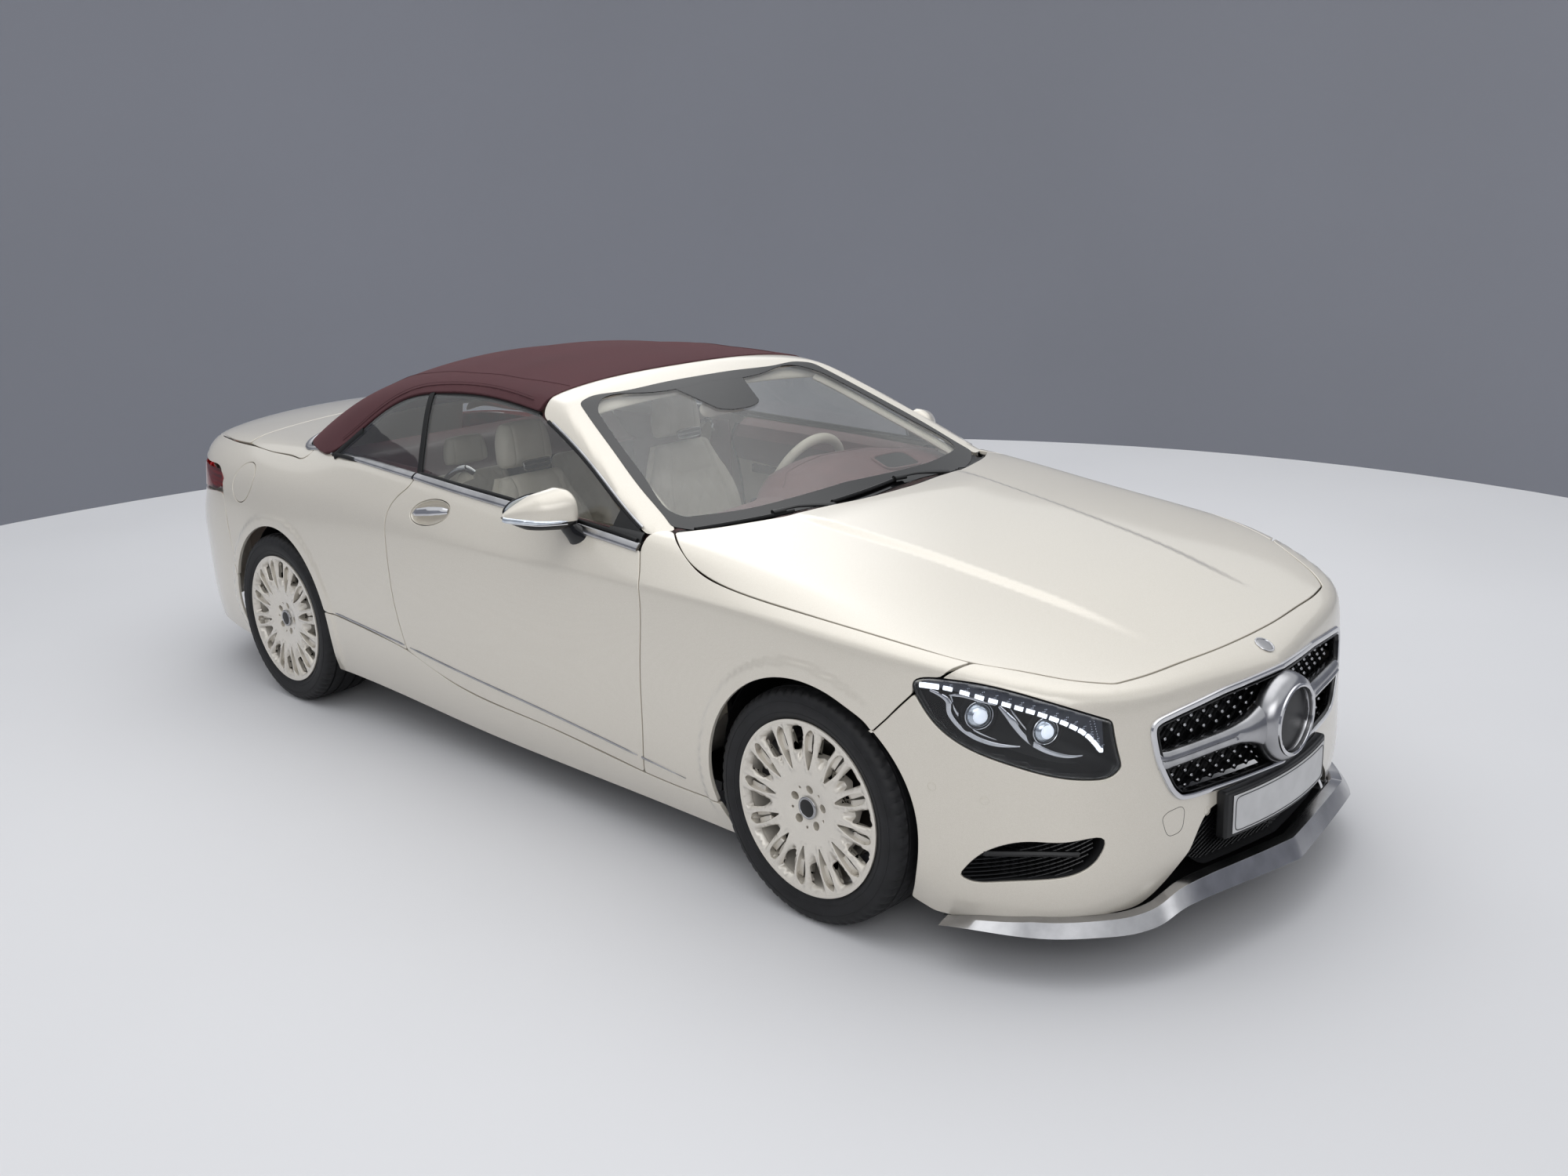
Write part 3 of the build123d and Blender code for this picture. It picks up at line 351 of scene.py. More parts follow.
def sweep(path, profile, normal, closed=False, capped=True):
    # profile (across, up) carried along path; up follows normal, across is square to it and to the path
    path = np.asarray(path, float)
    along = np.roll(path, -1, 0) - np.roll(path, 1, 0) if closed else np.gradient(path, axis=0)
    along = unit(along)
    up = np.broadcast_to(np.asarray(normal, float), path.shape)
    side = unit(np.cross(along, up))
    up = unit(np.cross(side, along))
    profile = np.asarray(profile, float)
    if profile.ndim == 2:
        profile = np.broadcast_to(profile, (len(path),) + profile.shape)
    points = path[:, None] + profile[..., :1] * side[:, None] + profile[..., 1:] * up[:, None]
    rows, columns = points.shape[:2]
    faces = gridFaces(rows, columns, closed, True).tolist()
    if capped and not closed:
        faces.append(list(range(columns))[::-1])
        faces.append([(rows - 1) * columns + k for k in range(columns)])
    return points.reshape(-1, 3), faces


def ringProfile(width, height, count=8):
    a = np.linspace(0, 2 * np.pi, count, endpoint=False)
    return np.stack([0.5 * width * np.cos(a), 0.5 * height * np.sin(a)], -1)


def lathe(profile, count, closeProfile=True, start=0.0, span=2 * np.pi):
    # outline of (x, radius) turned about the x axis
    profile = np.asarray(profile, float)
    full = span > 6.28
    a = start + np.linspace(0, span, count, endpoint=not full)[:, None]
    x = profile[None, :, 0] + 0 * a
    y = profile[None, :, 1] * np.cos(a)
    z = profile[None, :, 1] * np.sin(a)
    points = np.stack([x, y, z], -1)
    return points.reshape(-1, 3), gridFaces(count, len(profile), full, closeProfile)


def inside(point, loop):
    # even-odd test of points (n, 2) against a closed loop (m, 2)
    x, y = point[:, None, 0], point[:, None, 1]
    a = loop[None]
    b = np.roll(loop, -1, 0)[None]
    cross = (a[..., 1] > y) != (b[..., 1] > y)
    with np.errstate(divide="ignore", invalid="ignore"):
        at = a[..., 0] + (y - a[..., 1]) * (b[..., 0] - a[..., 0]) / (b[..., 1] - a[..., 1])
    return (cross & (x < at)).sum(1) % 2 == 1


class Chart:
    # flat map of part of a surface: rays from a core point each give one point of the field
    def __init__(self, field, flatten, aim):
        self.field = field
        self.flatten = flatten  # points on the surface to (u, v)
        self.aim = aim  # (u, v) to the start and the way of a ray

    def lift(self, uv):
        start, way = self.aim(uv[..., 0], uv[..., 1])
        return meet(self.field, start, way, 0, 3000)


def topChart(field, floor=500.0):
    def aim(u, v):
        return np.stack([u, v, 0 * u + floor], -1), np.array((0, 0, 1.0))

    return Chart(field, lambda p: p[..., :2].copy(), aim)


def spokeChart(field, x=100.0, z=500.0, scale=850.0):
    # rays square to the y axis, fanned round the line at (x, z): u is y, v the angle
    def flatten(p):
        return np.stack([p[..., 1], scale * np.arctan2(p[..., 2] - z, p[..., 0] - x)], -1)

    def aim(u, v):
        start = np.stack([0 * u + x, u, 0 * u + z], -1)
        return start, np.stack([np.cos(v / scale), 0 * u, np.sin(v / scale)], -1)

    return Chart(field, flatten, aim)


def ballChart(field, y, z, way=-1, scale=900.0):
    # rays from a post at (0, y, z): u is the turn from straight ahead, v the rise
    def flatten(p):
        level = np.hypot(p[..., 0], p[..., 1] - y)
        turn = np.arctan2(p[..., 0], way * (p[..., 1] - y))
        return scale * np.stack([turn, np.arctan2(p[..., 2] - z, level)], -1)

    def aim(u, v):
        a, b = u / scale, v / scale
        start = np.stack([0 * u, 0 * u + y, 0 * u + z], -1)
        return start, np.stack([np.sin(a) * np.cos(b), way * np.cos(a) * np.cos(b), np.sin(b)], -1)

    return Chart(field, flatten, aim)


def rollChart(field, y=1880.0, z=640.0, scale=600.0):
    # rays square to the x axis, fanned round the line at (y, z): u is x, v the angle from level
    def flatten(p):
        return np.stack([p[..., 0], scale * np.arctan2(p[..., 2] - z, p[..., 1] - y)], -1)

    def aim(u, v):
        start = np.stack([u, 0 * u + y, 0 * u + z], -1)
        return start, np.stack([0 * u, np.cos(v / scale), np.sin(v / scale)], -1)

    return Chart(field, flatten, aim)


def edgeFrame(field, loop, outerLoop=True):
    # unit normal and unit way out of the panel along its surface, at each point of a closed edge
    normal = outward(field, loop)
    along = unit(np.roll(loop, -1, 0) - np.roll(loop, 1, 0))
    out = unit(np.cross(along, normal))
    spread = ((loop - loop.mean(0)) * out).sum()
    if (spread > 0) != outerLoop:
        out = -out
    return normal, out


def plateMesh(field, chart, outline, holes=(), pitch=14.0, gap=2.3, radius=2.0, depth=14.0, flange=8.0,
              lift=0.0):
    # Sheet over the field inside the outline: its rim is rolled over a quarter circle and runs inward,
    # and a second skin closes it at depth. Gives points, faces and the normal of each face corner.
    rims = []
    for k, loop in enumerate([outline] + list(holes)):
        normal, out = edgeFrame(field, loop, k == 0)
        loop = chart.lift(chart.flatten(loop - (gap + radius) * out))
        normal, out = edgeFrame(field, loop, k == 0)
        rims.append((loop, normal, out))
    flat = [chart.flatten(rim[0]) for rim in rims]
    low = flat[0].min(0)
    high = flat[0].max(0)
    columns = int((high[0] - low[0]) / pitch) + 1
    rows = int((high[1] - low[1]) / (pitch * 0.866)) + 1
    u, v = np.meshgrid(np.arange(columns) * pitch, np.arange(rows) * pitch * 0.866)
    u = u + 0.5 * pitch * (np.arange(rows)[:, None] % 2)
    grid = np.stack([u.ravel(), v.ravel()], -1) + low + 0.37 * pitch
    keep = inside(grid, flat[0])
    for k, loop in enumerate(flat):
        if k:
            keep &= ~inside(grid, loop)
        near = np.full(len(grid), 1e9)
        for start in range(0, len(loop), 60):
            some = loop[None, start:start + 60] - grid[:, None]
            near = np.minimum(near, (some**2).sum(-1).min(1))
        keep &= near > (0.55 * pitch)**2
    plane = np.concatenate(flat + [grid[keep]])
    edges = []
    first = 0
    for loop in flat:
        n = len(loop)
        edges += [(first + i, first + (i + 1) % n) for i in range(n)]
        first += n
    made = delaunay_2d_cdt([Vector(q) for q in plane.tolist()], edges, [], 1, 1e-7, False)
    plane = np.array([tuple(q) for q in made[0]])
    faces = np.array(made[2])
    middle = plane[faces].mean(1)
    wanted = inside(middle, flat[0])
    for loop in flat[1:]:
        wanted &= ~inside(middle, loop)
    faces = faces[wanted]
    skin = chart.lift(plane)
    for k in range(len(rims)):
        start = sum(len(loop) for loop in flat[:k])
        skin[start:start + len(flat[k])] = rims[k][0]
    normal = outward(field, skin)
    skin = skin + lift * normal
    a, b, c = skin[faces[:, 0]], skin[faces[:, 1]], skin[faces[:, 2]]
    wrong = (np.cross(b - a, c - a) * normal[faces[:, 0]]).sum(1) < 0
    faces[wrong] = faces[wrong][:, ::-1]
    count = len(skin)
    points = [skin, skin - depth * normal]
    corner = [normal[faces].reshape(-1, 3), -normal[faces[:, ::-1]].reshape(-1, 3)]
    total = 2 * count
    first = 0
    lists = [faces.tolist(), (faces[:, ::-1] + count).tolist()]
    for k, (loop, up, out) in enumerate(rims):
        n = len(loop)
        loop = loop + lift * up
        turns = np.radians((30, 60, 90))
        rows = [loop]
        ways = [up]
        for turn in turns:
            rows.append(loop + radius * np.sin(turn) * out - radius * (1 - np.cos(turn)) * up)
            ways.append(np.cos(turn) * up + np.sin(turn) * out)
        rows.append(rows[-1] - flange * up)
        ways.append(out)
        fresh = np.concatenate(rows[1:])
        index = np.concatenate([first + np.arange(n), total + np.arange(len(fresh)),
                                first + count + np.arange(n)])
        index = index.reshape(len(rows) + 1, n)
        points.append(fresh)
        total += len(fresh)
        i = np.arange(n)
        j = (i + 1) % n
        for r in range(len(rows)):
            quad = np.stack([index[r, i], index[r, j], index[r + 1, j], index[r + 1, i]], -1)
            if r < len(rows) - 1:
                ends = (ways[r], ways[r + 1])
            else:
                ends = (ways[r], ways[r])
            way = np.stack([ends[0][i], ends[0][j], ends[1][j], ends[1][i]], 1)
            pa, pb, pc = (np.concatenate(points)[quad[0, q]] for q in (0, 1, 2))
            if (np.cross(pb - pa, pc - pa) * way[0, 0]).sum() < 0:
                quad = quad[:, ::-1]
                way = way[:, ::-1]
            lists.append(quad.tolist())
            corner.append(way.reshape(-1, 3))
        first += n
    return np.concatenate(points), [f for group in lists for f in group], np.concatenate(corner)


def plate(name, body, node, shape, side, material=None, slot="body_paint"):
    # panel from plateMesh on the left (1), on the right (-1) or astride the middle (0)
    points, faces, corner = shape
    if side < 0:
        points = points * (-1, 1, 1)
        sizes = [len(f) for f in faces]
        ends = np.cumsum(sizes)
        order = np.concatenate([np.arange(e - s, e)[::-1] for e, s in zip(ends, sizes)])
        corner = corner[order] * (-1, 1, 1)
        faces = [list(f)[::-1] for f in faces]
    hidden = (node,) if node else ()
    return addPiece(name, points, faces, body, material or paint, slot, hidden, corner)


def bothSides(curve):
    # curve that ends on the middle plane, continued to the other side
    curve = np.array(curve, float)
    flip = np.ones(curve.shape[1])
    flip[0] = -1
    return np.concatenate([curve, curve[::-1][1:] * flip])


def gridShell(outer, inner):
    # closed shell between two grids of the same size
    n, m = outer.shape[:2]
    skin = gridFaces(n, m)
    count = n * m
    index = np.arange(count).reshape(n, m)
    rim = np.concatenate([index[0, :-1], index[:-1, -1], index[-1, :0:-1], index[:0:-1, 0]])
    ahead = np.roll(rim, -1)
    wall = np.stack([rim, rim + count, ahead + count, ahead], -1)
    points = np.concatenate([outer.reshape(-1, 3), inner.reshape(-1, 3)])
    faces = np.concatenate([skin, skin[:, ::-1] + count, wall])
    return turnedOut((points, faces))


def turnedOut(part):
    # faces reversed when the closed shape's signed volume is negative
    points, faces = part
    faces = np.asarray(faces)
    middle = points.mean(0)
    a, b, c = (points[faces[:, k]] - middle for k in range(3))
    volume = (np.cross(a, b) * c).sum()
    if faces.shape[1] == 4:
        volume += (np.cross(a, c) * (points[faces[:, 3]] - middle)).sum()
    return points, (faces if volume > 0 else faces[:, ::-1])


def skinShell(field, grid, over, under):
    # shell that follows the field, from over outside it to under inside it
    way = outward(field, grid)
    return gridShell(grid + over * way, grid - under * way)


def pipe(path, radius, count=8, closed=False, normal=(0, 0, 1)):
    return sweep(path, ringProfile(2 * radius, 2 * radius, count), normal, closed)


def outline(chart, *curves, pace=11.5, soften=1):
    # closed edge through curves that meet at their ends, corners rounded, laid on the chart's field
    pieces = []
    for curve in curves:
        curve = np.array(curve, float)
        count = max(int(np.linalg.norm(np.diff(curve, axis=0), axis=1).sum() / 6), 3)
        pieces.append(run(curve, count)[:-1])
    loop = softened(evenly(np.concatenate(pieces), pace, True), soften)
    return chart.lift(chart.flatten(loop))


def mirrored(loop):
    return loop[::-1] * (-1, 1, 1)


onChassis = ("chassis", "chassis")


def addPair(name, part, bodies, material, slot, nodes=None, **more):
    # the same piece on the left and, flipped, on the right
    pair = []
    for side, body, one in (("left", bodies[0], part), ("right", bodies[1], flipped(part))):
        hidden = (f"{nodes}_{side}",) if nodes else ()
        pair.append(addPiece(f"{name}_{side}", *one, body, material, slot, hidden, **more))
    return pair


# Materials: all from nodes, with Object coordinates in metres.


def nodeMaterial(name):
    m = bpy.data.materials.new(name)
    m.use_nodes = True
    tree = m.node_tree
    tree.nodes.clear()
    out = tree.nodes.new("ShaderNodeOutputMaterial")
    shader = tree.nodes.new("ShaderNodeBsdfPrincipled")
    tree.links.new(shader.outputs[0], out.inputs[0])
    where = tree.nodes.new("ShaderNodeTexCoord").outputs["Object"]
    return m, tree, shader, where


def colour(r, g, b):
    # display values from 0 to 255 as a linear colour
    c = np.array((r, g, b)) / 255
    c = np.where(c <= 0.04045, c / 12.92, ((c + 0.055) / 1.055)**2.4)
    return (*c.tolist(), 1.0)


def noise(tree, where, scale, detail=2.0, stretch=None):
    if stretch is not None:
        turn = tree.nodes.new("ShaderNodeMapping")
        turn.inputs["Scale"].default_value = stretch
        tree.links.new(where, turn.inputs[0])
        where = turn.outputs[0]
    cloud = tree.nodes.new("ShaderNodeTexNoise")
    cloud.inputs["Scale"].default_value = scale
    cloud.inputs["Detail"].default_value = detail
    tree.links.new(where, cloud.inputs["Vector"])
    return cloud.outputs["Fac"]


def ramp(tree, value, low, high, start=0.3, end=0.7):
    r = tree.nodes.new("ShaderNodeValToRGB")
    r.color_ramp.elements[0].position = start
    r.color_ramp.elements[0].color = low
    r.color_ramp.elements[1].position = end
    r.color_ramp.elements[1].color = high
    tree.links.new(value, r.inputs[0])
    return r.outputs[0]


def spread(tree, value, low, high):
    # value from 0..1 to low..high
    r = tree.nodes.new("ShaderNodeMapRange")
    r.inputs["To Min"].default_value = low
    r.inputs["To Max"].default_value = high
    tree.links.new(value, r.inputs[0])
    return r.outputs[0]


def bump(tree, shader, height, strength, distance=0.001):
    b = tree.nodes.new("ShaderNodeBump")
    b.inputs["Strength"].default_value = strength
    b.inputs["Distance"].default_value = distance
    tree.links.new(height, b.inputs["Height"])
    tree.links.new(b.outputs[0], shader.inputs["Normal"])
    return b


def setSockets(shader, **values):
    names = dict(metallic="Metallic", coat="Coat Weight", coatRoughness="Coat Roughness", ior="IOR",
                 transmission="Transmission Weight", sheen="Sheen Weight", sheenRoughness="Sheen Roughness",
                 specular="Specular IOR Level", roughness="Roughness", alpha="Alpha")
    for k, v in values.items():
        shader.inputs[names[k]].default_value = v


def mottled(name, low, high, scale, rough, bumpScale=0.0, bumpStrength=0.2, stretch=None, distance=0.0005,
            **sockets):
    # colour drifting between two tones, roughness drifting with it, and a fine grain as bump
    m, tree, shader, where = nodeMaterial(name)
    cloud = noise(tree, where, scale, 3.0, stretch)
    tree.links.new(ramp(tree, cloud, colour(*low), colour(*high)), shader.inputs["Base Color"])
    tree.links.new(spread(tree, cloud, *rough), shader.inputs["Roughness"])
    if bumpScale:
        bump(tree, shader, noise(tree, where, bumpScale, 2.0, stretch), bumpStrength, distance)
    setSockets(shader, **sockets)
    return m


def paintMaterial(name, settings):
    # metallic clear coat: fine flakes vary the colour a little under a smooth coat
    m, tree, shader, where = nodeMaterial(name)
    cell = tree.nodes.new("ShaderNodeTexVoronoi")
    cell.inputs["Scale"].default_value = settings["flakes"]
    tree.links.new(where, cell.inputs["Vector"])
    grey = tree.nodes.new("ShaderNodeSeparateColor")
    tree.links.new(cell.outputs["Color"], grey.inputs[0])
    tree.links.new(ramp(tree, grey.outputs[0], colour(*settings["low"]), colour(*settings["high"]), 0.1,
                        0.9),
                   shader.inputs["Base Color"])
    tree.links.new(spread(tree, noise(tree, where, 6.0), *settings["rough"]), shader.inputs["Roughness"])
    setSockets(shader, metallic=settings["metallic"], coat=1.0, coatRoughness=0.07, specular=0.5)
    return m


def clearMaterial(name, settings):
    # pane: clear straight through, with a mirror that grows at a slant
    m, tree, shader, where = nodeMaterial(name)
    out = next(n for n in tree.nodes if n.type == "OUTPUT_MATERIAL")
    clear = tree.nodes.new("ShaderNodeBsdfTransparent")
    cloud = noise(tree, where, 3.0)
    tree.links.new(ramp(tree, cloud, settings["low"], settings["high"]), clear.inputs[0])
    setSockets(shader, metallic=1.0, roughness=0.015)
    tree.links.new(ramp(tree, cloud, (0.93, 0.93, 0.93, 1), (0.97, 0.97, 0.97, 1)),
                   shader.inputs["Base Color"])
    slant = tree.nodes.new("ShaderNodeLayerWeight")
    slant.inputs[0].default_value = 0.5
    power = tree.nodes.new("ShaderNodeMath")
    power.operation = "POWER"
    power.inputs[1].default_value = 5.0
    tree.links.new(slant.outputs["Facing"], power.inputs[0])
    share = spread(tree, power.outputs[0], settings["mirror"], 0.9)
    mix = tree.nodes.new("ShaderNodeMixShader")
    tree.links.new(share, mix.inputs[0])
    tree.links.new(clear.outputs[0], mix.inputs[1])
    tree.links.new(shader.outputs[0], mix.inputs[2])
    tree.links.new(mix.outputs[0], out.inputs[0])
    return m


def weaveMaterial(name, settings):
    # canvas: two crossed sets of fine ribs as bump, and a slow drift of colour
    m, tree, shader, where = nodeMaterial(name)
    ribs = []
    for direction in ("X", "Y"):
        wave = tree.nodes.new("ShaderNodeTexWave")
        wave.bands_direction = direction
        wave.inputs["Scale"].default_value = settings["threads"]
        wave.inputs["Distortion"].default_value = 0.6
        wave.inputs["Detail Scale"].default_value = 2.0
        tree.links.new(where, wave.inputs["Vector"])
        ribs.append(wave.outputs["Fac"])
    both = tree.nodes.new("ShaderNodeMath")
    both.operation = "MULTIPLY"
    tree.links.new(ribs[0], both.inputs[0])
    tree.links.new(ribs[1], both.inputs[1])
    cloud = noise(tree, where, settings["cloud"], 4.0)
    blend = tree.nodes.new("ShaderNodeMix")
    blend.data_type = "RGBA"
    tree.links.new(both.outputs[0], blend.inputs["Factor"])
    tree.links.new(ramp(tree, cloud, colour(*settings["low"]), colour(*settings["middle"])),
                   blend.inputs[6])
    blend.inputs[7].default_value = colour(*settings["high"])
    tree.links.new(blend.outputs[2], shader.inputs["Base Color"])
    tree.links.new(spread(tree, cloud, 0.75, 0.9), shader.inputs["Roughness"])
    bump(tree, shader, both.outputs[0], 0.5, 0.0006)
    setSockets(shader, sheen=settings["sheen"], sheenRoughness=0.4, specular=0.2)
    shader.inputs["Sheen Tint"].default_value = colour(*settings["tint"])
    return m


def leatherMaterial(name, low, high, sheen=0.1, grain=900.0):
    # leather: fine cells as grain over a soft drift of tone
    m, tree, shader, where = nodeMaterial(name)
    cell = tree.nodes.new("ShaderNodeTexVoronoi")
    cell.inputs["Scale"].default_value = grain
    tree.links.new(where, cell.inputs["Vector"])
    cloud = noise(tree, where, 9.0, 4.0)
    tree.links.new(ramp(tree, cloud, colour(*low), colour(*high)), shader.inputs["Base Color"])
    tree.links.new(spread(tree, cloud, 0.42, 0.55), shader.inputs["Roughness"])
    bump(tree, shader, cell.outputs["Distance"], 0.25, 0.0004)
    setSockets(shader, sheen=sheen, specular=0.35)
    return m


paintSettings = dict(low=(214, 207, 193), high=(226, 220, 208), rough=(0.32, 0.38), metallic=0.25,
                     flakes=1400.0)
paint = paintMaterial("bodyPaint", paintSettings)
wheelPaint = paintMaterial("wheelPaint", dict(paintSettings, low=(216, 210, 198), high=(228, 222, 212)))
chrome = mottled("chromePlate", (205, 205, 207), (222, 222, 224), 9.0, (0.03, 0.07), metallic=1.0)
satinChrome = mottled("satinChrome", (165, 165, 167), (190, 190, 192), 12.0, (0.18, 0.28), metallic=1.0)
blackGloss = mottled("blackGloss", (8, 8, 9), (14, 14, 15), 20.0, (0.06, 0.12), specular=0.5)
blackSatin = mottled("blackSatin", (14, 14, 15), (22, 22, 23), 30.0, (0.32, 0.42), 700.0, 0.1, specular=0.4)
blackMatt = mottled("blackMatt", (9, 9, 10), (16, 16, 17), 30.0, (0.6, 0.75), 500.0, 0.2, specular=0.25)
sealRubber = mottled("sealRubber", (12, 12, 13), (20, 20, 21), 40.0, (0.5, 0.6), 400.0, 0.1, specular=0.3)
tyreRubber = mottled("tyreRubber", (20, 20, 21), (32, 32, 34), 26.0, (0.5, 0.66), 900.0, 0.15,
                     specular=0.35)
darkMetal = mottled("darkMetal", (38, 38, 40), (58, 58, 60), 14.0, (0.4, 0.55), 300.0, 0.15, metallic=0.6)
castMetal = mottled("castMetal", (92, 92, 94), (120, 120, 122), 40.0, (0.35, 0.5), 260.0, 0.3, metallic=0.8)
discMetal = mottled("discMetal", (118, 116, 114), (150, 148, 146), 8.0, (0.25, 0.38), 500.0, 0.1,
                    (0.05, 1.0, 1.0), metallic=1.0)
exhaustMetal = mottled("exhaustMetal", (120, 114, 106), (160, 154, 146), 10.0, (0.3, 0.45), metallic=0.9)
grilleMesh = mottled("grilleMesh", (10, 10, 11), (17, 17, 18), 30.0, (0.25, 0.35), specular=0.5)
plateBlank = mottled("plateBlank", (196, 196, 196), (208, 208, 208), 15.0, (0.4, 0.5), specular=0.4)
dashLeather = leatherMaterial("dashLeather", (98, 62, 64), (112, 74, 76))
creamLeather = leatherMaterial("creamLeather", (205, 198, 184), (219, 213, 201))
carpet = mottled("creamCarpet", (150, 142, 130), (176, 168, 156), 300.0, (0.85, 0.95), 900.0, 0.8,
                 sheen=0.3)
woodTrim = mottled("darkTrim", (60, 50, 46), (84, 72, 66), 6.0, (0.15, 0.25), stretch=(1.0, 9.0, 9.0),
                   coat=0.8)
roofFabric = weaveMaterial("roofFabric", dict(low=(62, 36, 40), middle=(72, 43, 47), high=(92, 58, 62),
                                              threads=260.0,
                                              cloud=5.0, sheen=0.35, tint=(150, 110, 112)))
clearGlass = clearMaterial("clearGlass", dict(low=(0.89, 0.895, 0.885, 1), high=(0.92, 0.925, 0.915, 1),
                                              mirror=0.06))
lampGlass = clearMaterial("lampGlass", dict(low=(0.93, 0.94, 0.95, 1), high=(0.95, 0.96, 0.97, 1),
                                            mirror=0.02))
redLens = mottled("redLens", (120, 4, 8), (150, 8, 12), 30.0, (0.05, 0.1), coat=1.0, specular=0.6)

# Camera, lamps, floor and backdrop.
view = dict(place=(-3.78595, -4.33203, 2.13001), yaw=45.198, pitch=15.859, roll=-1.955, lens=35.39)


def makeCamera():
    # right, up and back of the camera from its yaw, pitch and roll
    yaw, pitch, roll = (math.radians(view[k]) for k in ("yaw", "pitch", "roll"))
    ahead = Vector((math.sin(yaw) * math.cos(pitch), math.cos(yaw) * math.cos(pitch), -math.sin(pitch)))
    right = Vector((math.cos(yaw), -math.sin(yaw), 0))
    up = right.cross(ahead)
    right, up = (right * math.cos(roll) + up * math.sin(roll), up * math.cos(roll) - right * math.sin(roll))
    data = bpy.data.cameras.new("camera")
    data.sensor_width = 36.0
    data.lens = view["lens"]
    data.clip_end = 200.0
    camera = bpy.data.objects.new("camera", data)
    turn = Matrix((right, up, -ahead)).transposed().to_4x4()
    camera.matrix_world = Matrix.Translation(view["place"]) @ turn
    bpy.context.collection.objects.link(camera)
    bpy.context.scene.camera = camera


def fadedEdges(data, border=0.35):
    # light that falls off towards the rim of the lamp: a smooth step across the border, both ways
    data.use_nodes = True
    nodes, links = data.node_tree.nodes, data.node_tree.links
    where, split = nodes.new("ShaderNodeNewGeometry"), nodes.new("ShaderNodeSeparateXYZ")
    product = nodes.new("ShaderNodeMath")
    product.operation = "MULTIPLY"
    links.new(where.outputs["Parametric"], split.inputs[0])
    for k in range(2):
        rim = nodes.new("ShaderNodeMath")
        rim.operation = "PINGPONG"
        rim.inputs[1].default_value = 0.5
        links.new(split.outputs[k], rim.inputs[0])
        fade = nodes.new("ShaderNodeMapRange")
        fade.interpolation_type = "SMOOTHSTEP"
        fade.inputs["From Max"].default_value = border
        links.new(rim.outputs[0], fade.inputs["Value"])
        links.new(fade.outputs[0], product.inputs[k])
    links.new(product.outputs[0], nodes["Emission"].inputs["Strength"])


def softLamp(name, place, target, size, power):
    data = bpy.data.lights.new(name, "AREA")
    data.shape = "RECTANGLE"
    data.size, data.size_y = size
    data.energy = power
    fadedEdges(data)
    lamp = bpy.data.objects.new(name, data)
    lamp.location = place
    lamp.rotation_euler = (Vector(target) - Vector(place)).to_track_quat("-Z", "Y").to_euler()
    bpy.context.collection.objects.link(lamp)
    return lamp


def stageSheet(name, points, faces, material):
    mesh = bpy.data.meshes.new(name)
    mesh.from_pydata(points, [], faces)
    mesh.polygons.foreach_set("use_smooth", [True] * len(mesh.polygons))
    sheet = bpy.data.objects.new(name, mesh)
    bpy.context.collection.objects.link(sheet)
    sheet.data.materials.append(material)
    return sheet


def oneSided(material):
    # copy of a paint that can be seen through from behind
    copy = material.copy()
    copy.name = material.name + "OneSided"
    nodes, links = copy.node_tree.nodes, copy.node_tree.links
    out = next(n for n in nodes if n.type == "OUTPUT_MATERIAL")
    shader = out.inputs[0].links[0].from_socket
    mix, clear, facing = (nodes.new("ShaderNode" + kind) for kind in ("MixShader", "BsdfTransparent",
            "NewGeometry"))
    links.new(facing.outputs["Backfacing"], mix.inputs[0])
    links.new(shader, mix.inputs[1])
    links.new(clear.outputs[0], mix.inputs[2])
    links.new(mix.outputs[0], out.inputs[0])
    return copy


def makeStage():
    floorPaint = mottled("floorPaint", (214, 214, 216), (218, 218, 220), 0.4, (0.45, 0.6), specular=0.3)
    wallPaint = mottled("wallPaint", (170, 172, 180), (178, 180, 188), 0.2, (0.8, 0.9), specular=0.1)
    nearPaint = mottled("nearPaint", (128, 130, 137), (135, 137, 145), 0.2, (0.8, 0.9), specular=0.1)
    stageSheet("floor", [(-40, -40, 0), (40, -40, 0), (40, 40, 0), (-40, 40, 0)], [(0, 1, 2, 3)],
               floorPaint)
    # round wall well behind the car
    angle = np.linspace(0, 2 * np.pi, 97)[:-1]
    wall = dict(reach=17.0, height=7.0)
    low = np.stack([wall["reach"] * np.cos(angle), wall["reach"] * np.sin(angle), 0 * angle], -1)
    high = low + (0, 0, wall["height"])
    rows = gridFaces(2, 96, False, True)[:, ::-1].tolist()
    stageSheet("backdrop", np.concatenate([low, high]).tolist(), rows, wallPaint)
    # a nearer wall seen only from inside, so that it never stands before another view
    wall = dict(reach=5.95, height=5.5)
    low = np.stack([wall["reach"] * np.cos(angle), wall["reach"] * np.sin(angle), 0 * angle], -1)
    high = low + (0, 0, wall["height"])
    near = stageSheet("nearWall", np.concatenate([low, high]).tolist(), rows, oneSided(nearPaint))
    for ray in ("diffuse", "glossy", "transmission", "shadow", "volume_scatter"):
        setattr(near, "visible_" + ray, False)
    world = bpy.data.worlds.new("studio")
    bpy.context.scene.world = world
    world.use_nodes = True
    nodes = world.node_tree.nodes
    back = nodes["Background"]
    back.inputs[0].default_value = (0.9, 0.92, 0.95, 1)
    back.inputs[1].default_value = 0.8
    softLamp("overhead", (0, -0.5, 5.6), (0, -0.3, 0), (13.0, 9.5), 410)
    softLamp("frontLeft", (-6.5, -7.0, 4.6), (0, 0, 0.6), (10.0, 6.5), 375)
    softLamp("behind", (6.5, 8.5, 8.5), (0, 0, 0.8), (11.0, 7.0), 330)
    settings = bpy.context.scene.view_settings
    settings.view_transform = "Standard"


makeCamera()
makeStage()
stage("camera and stage")

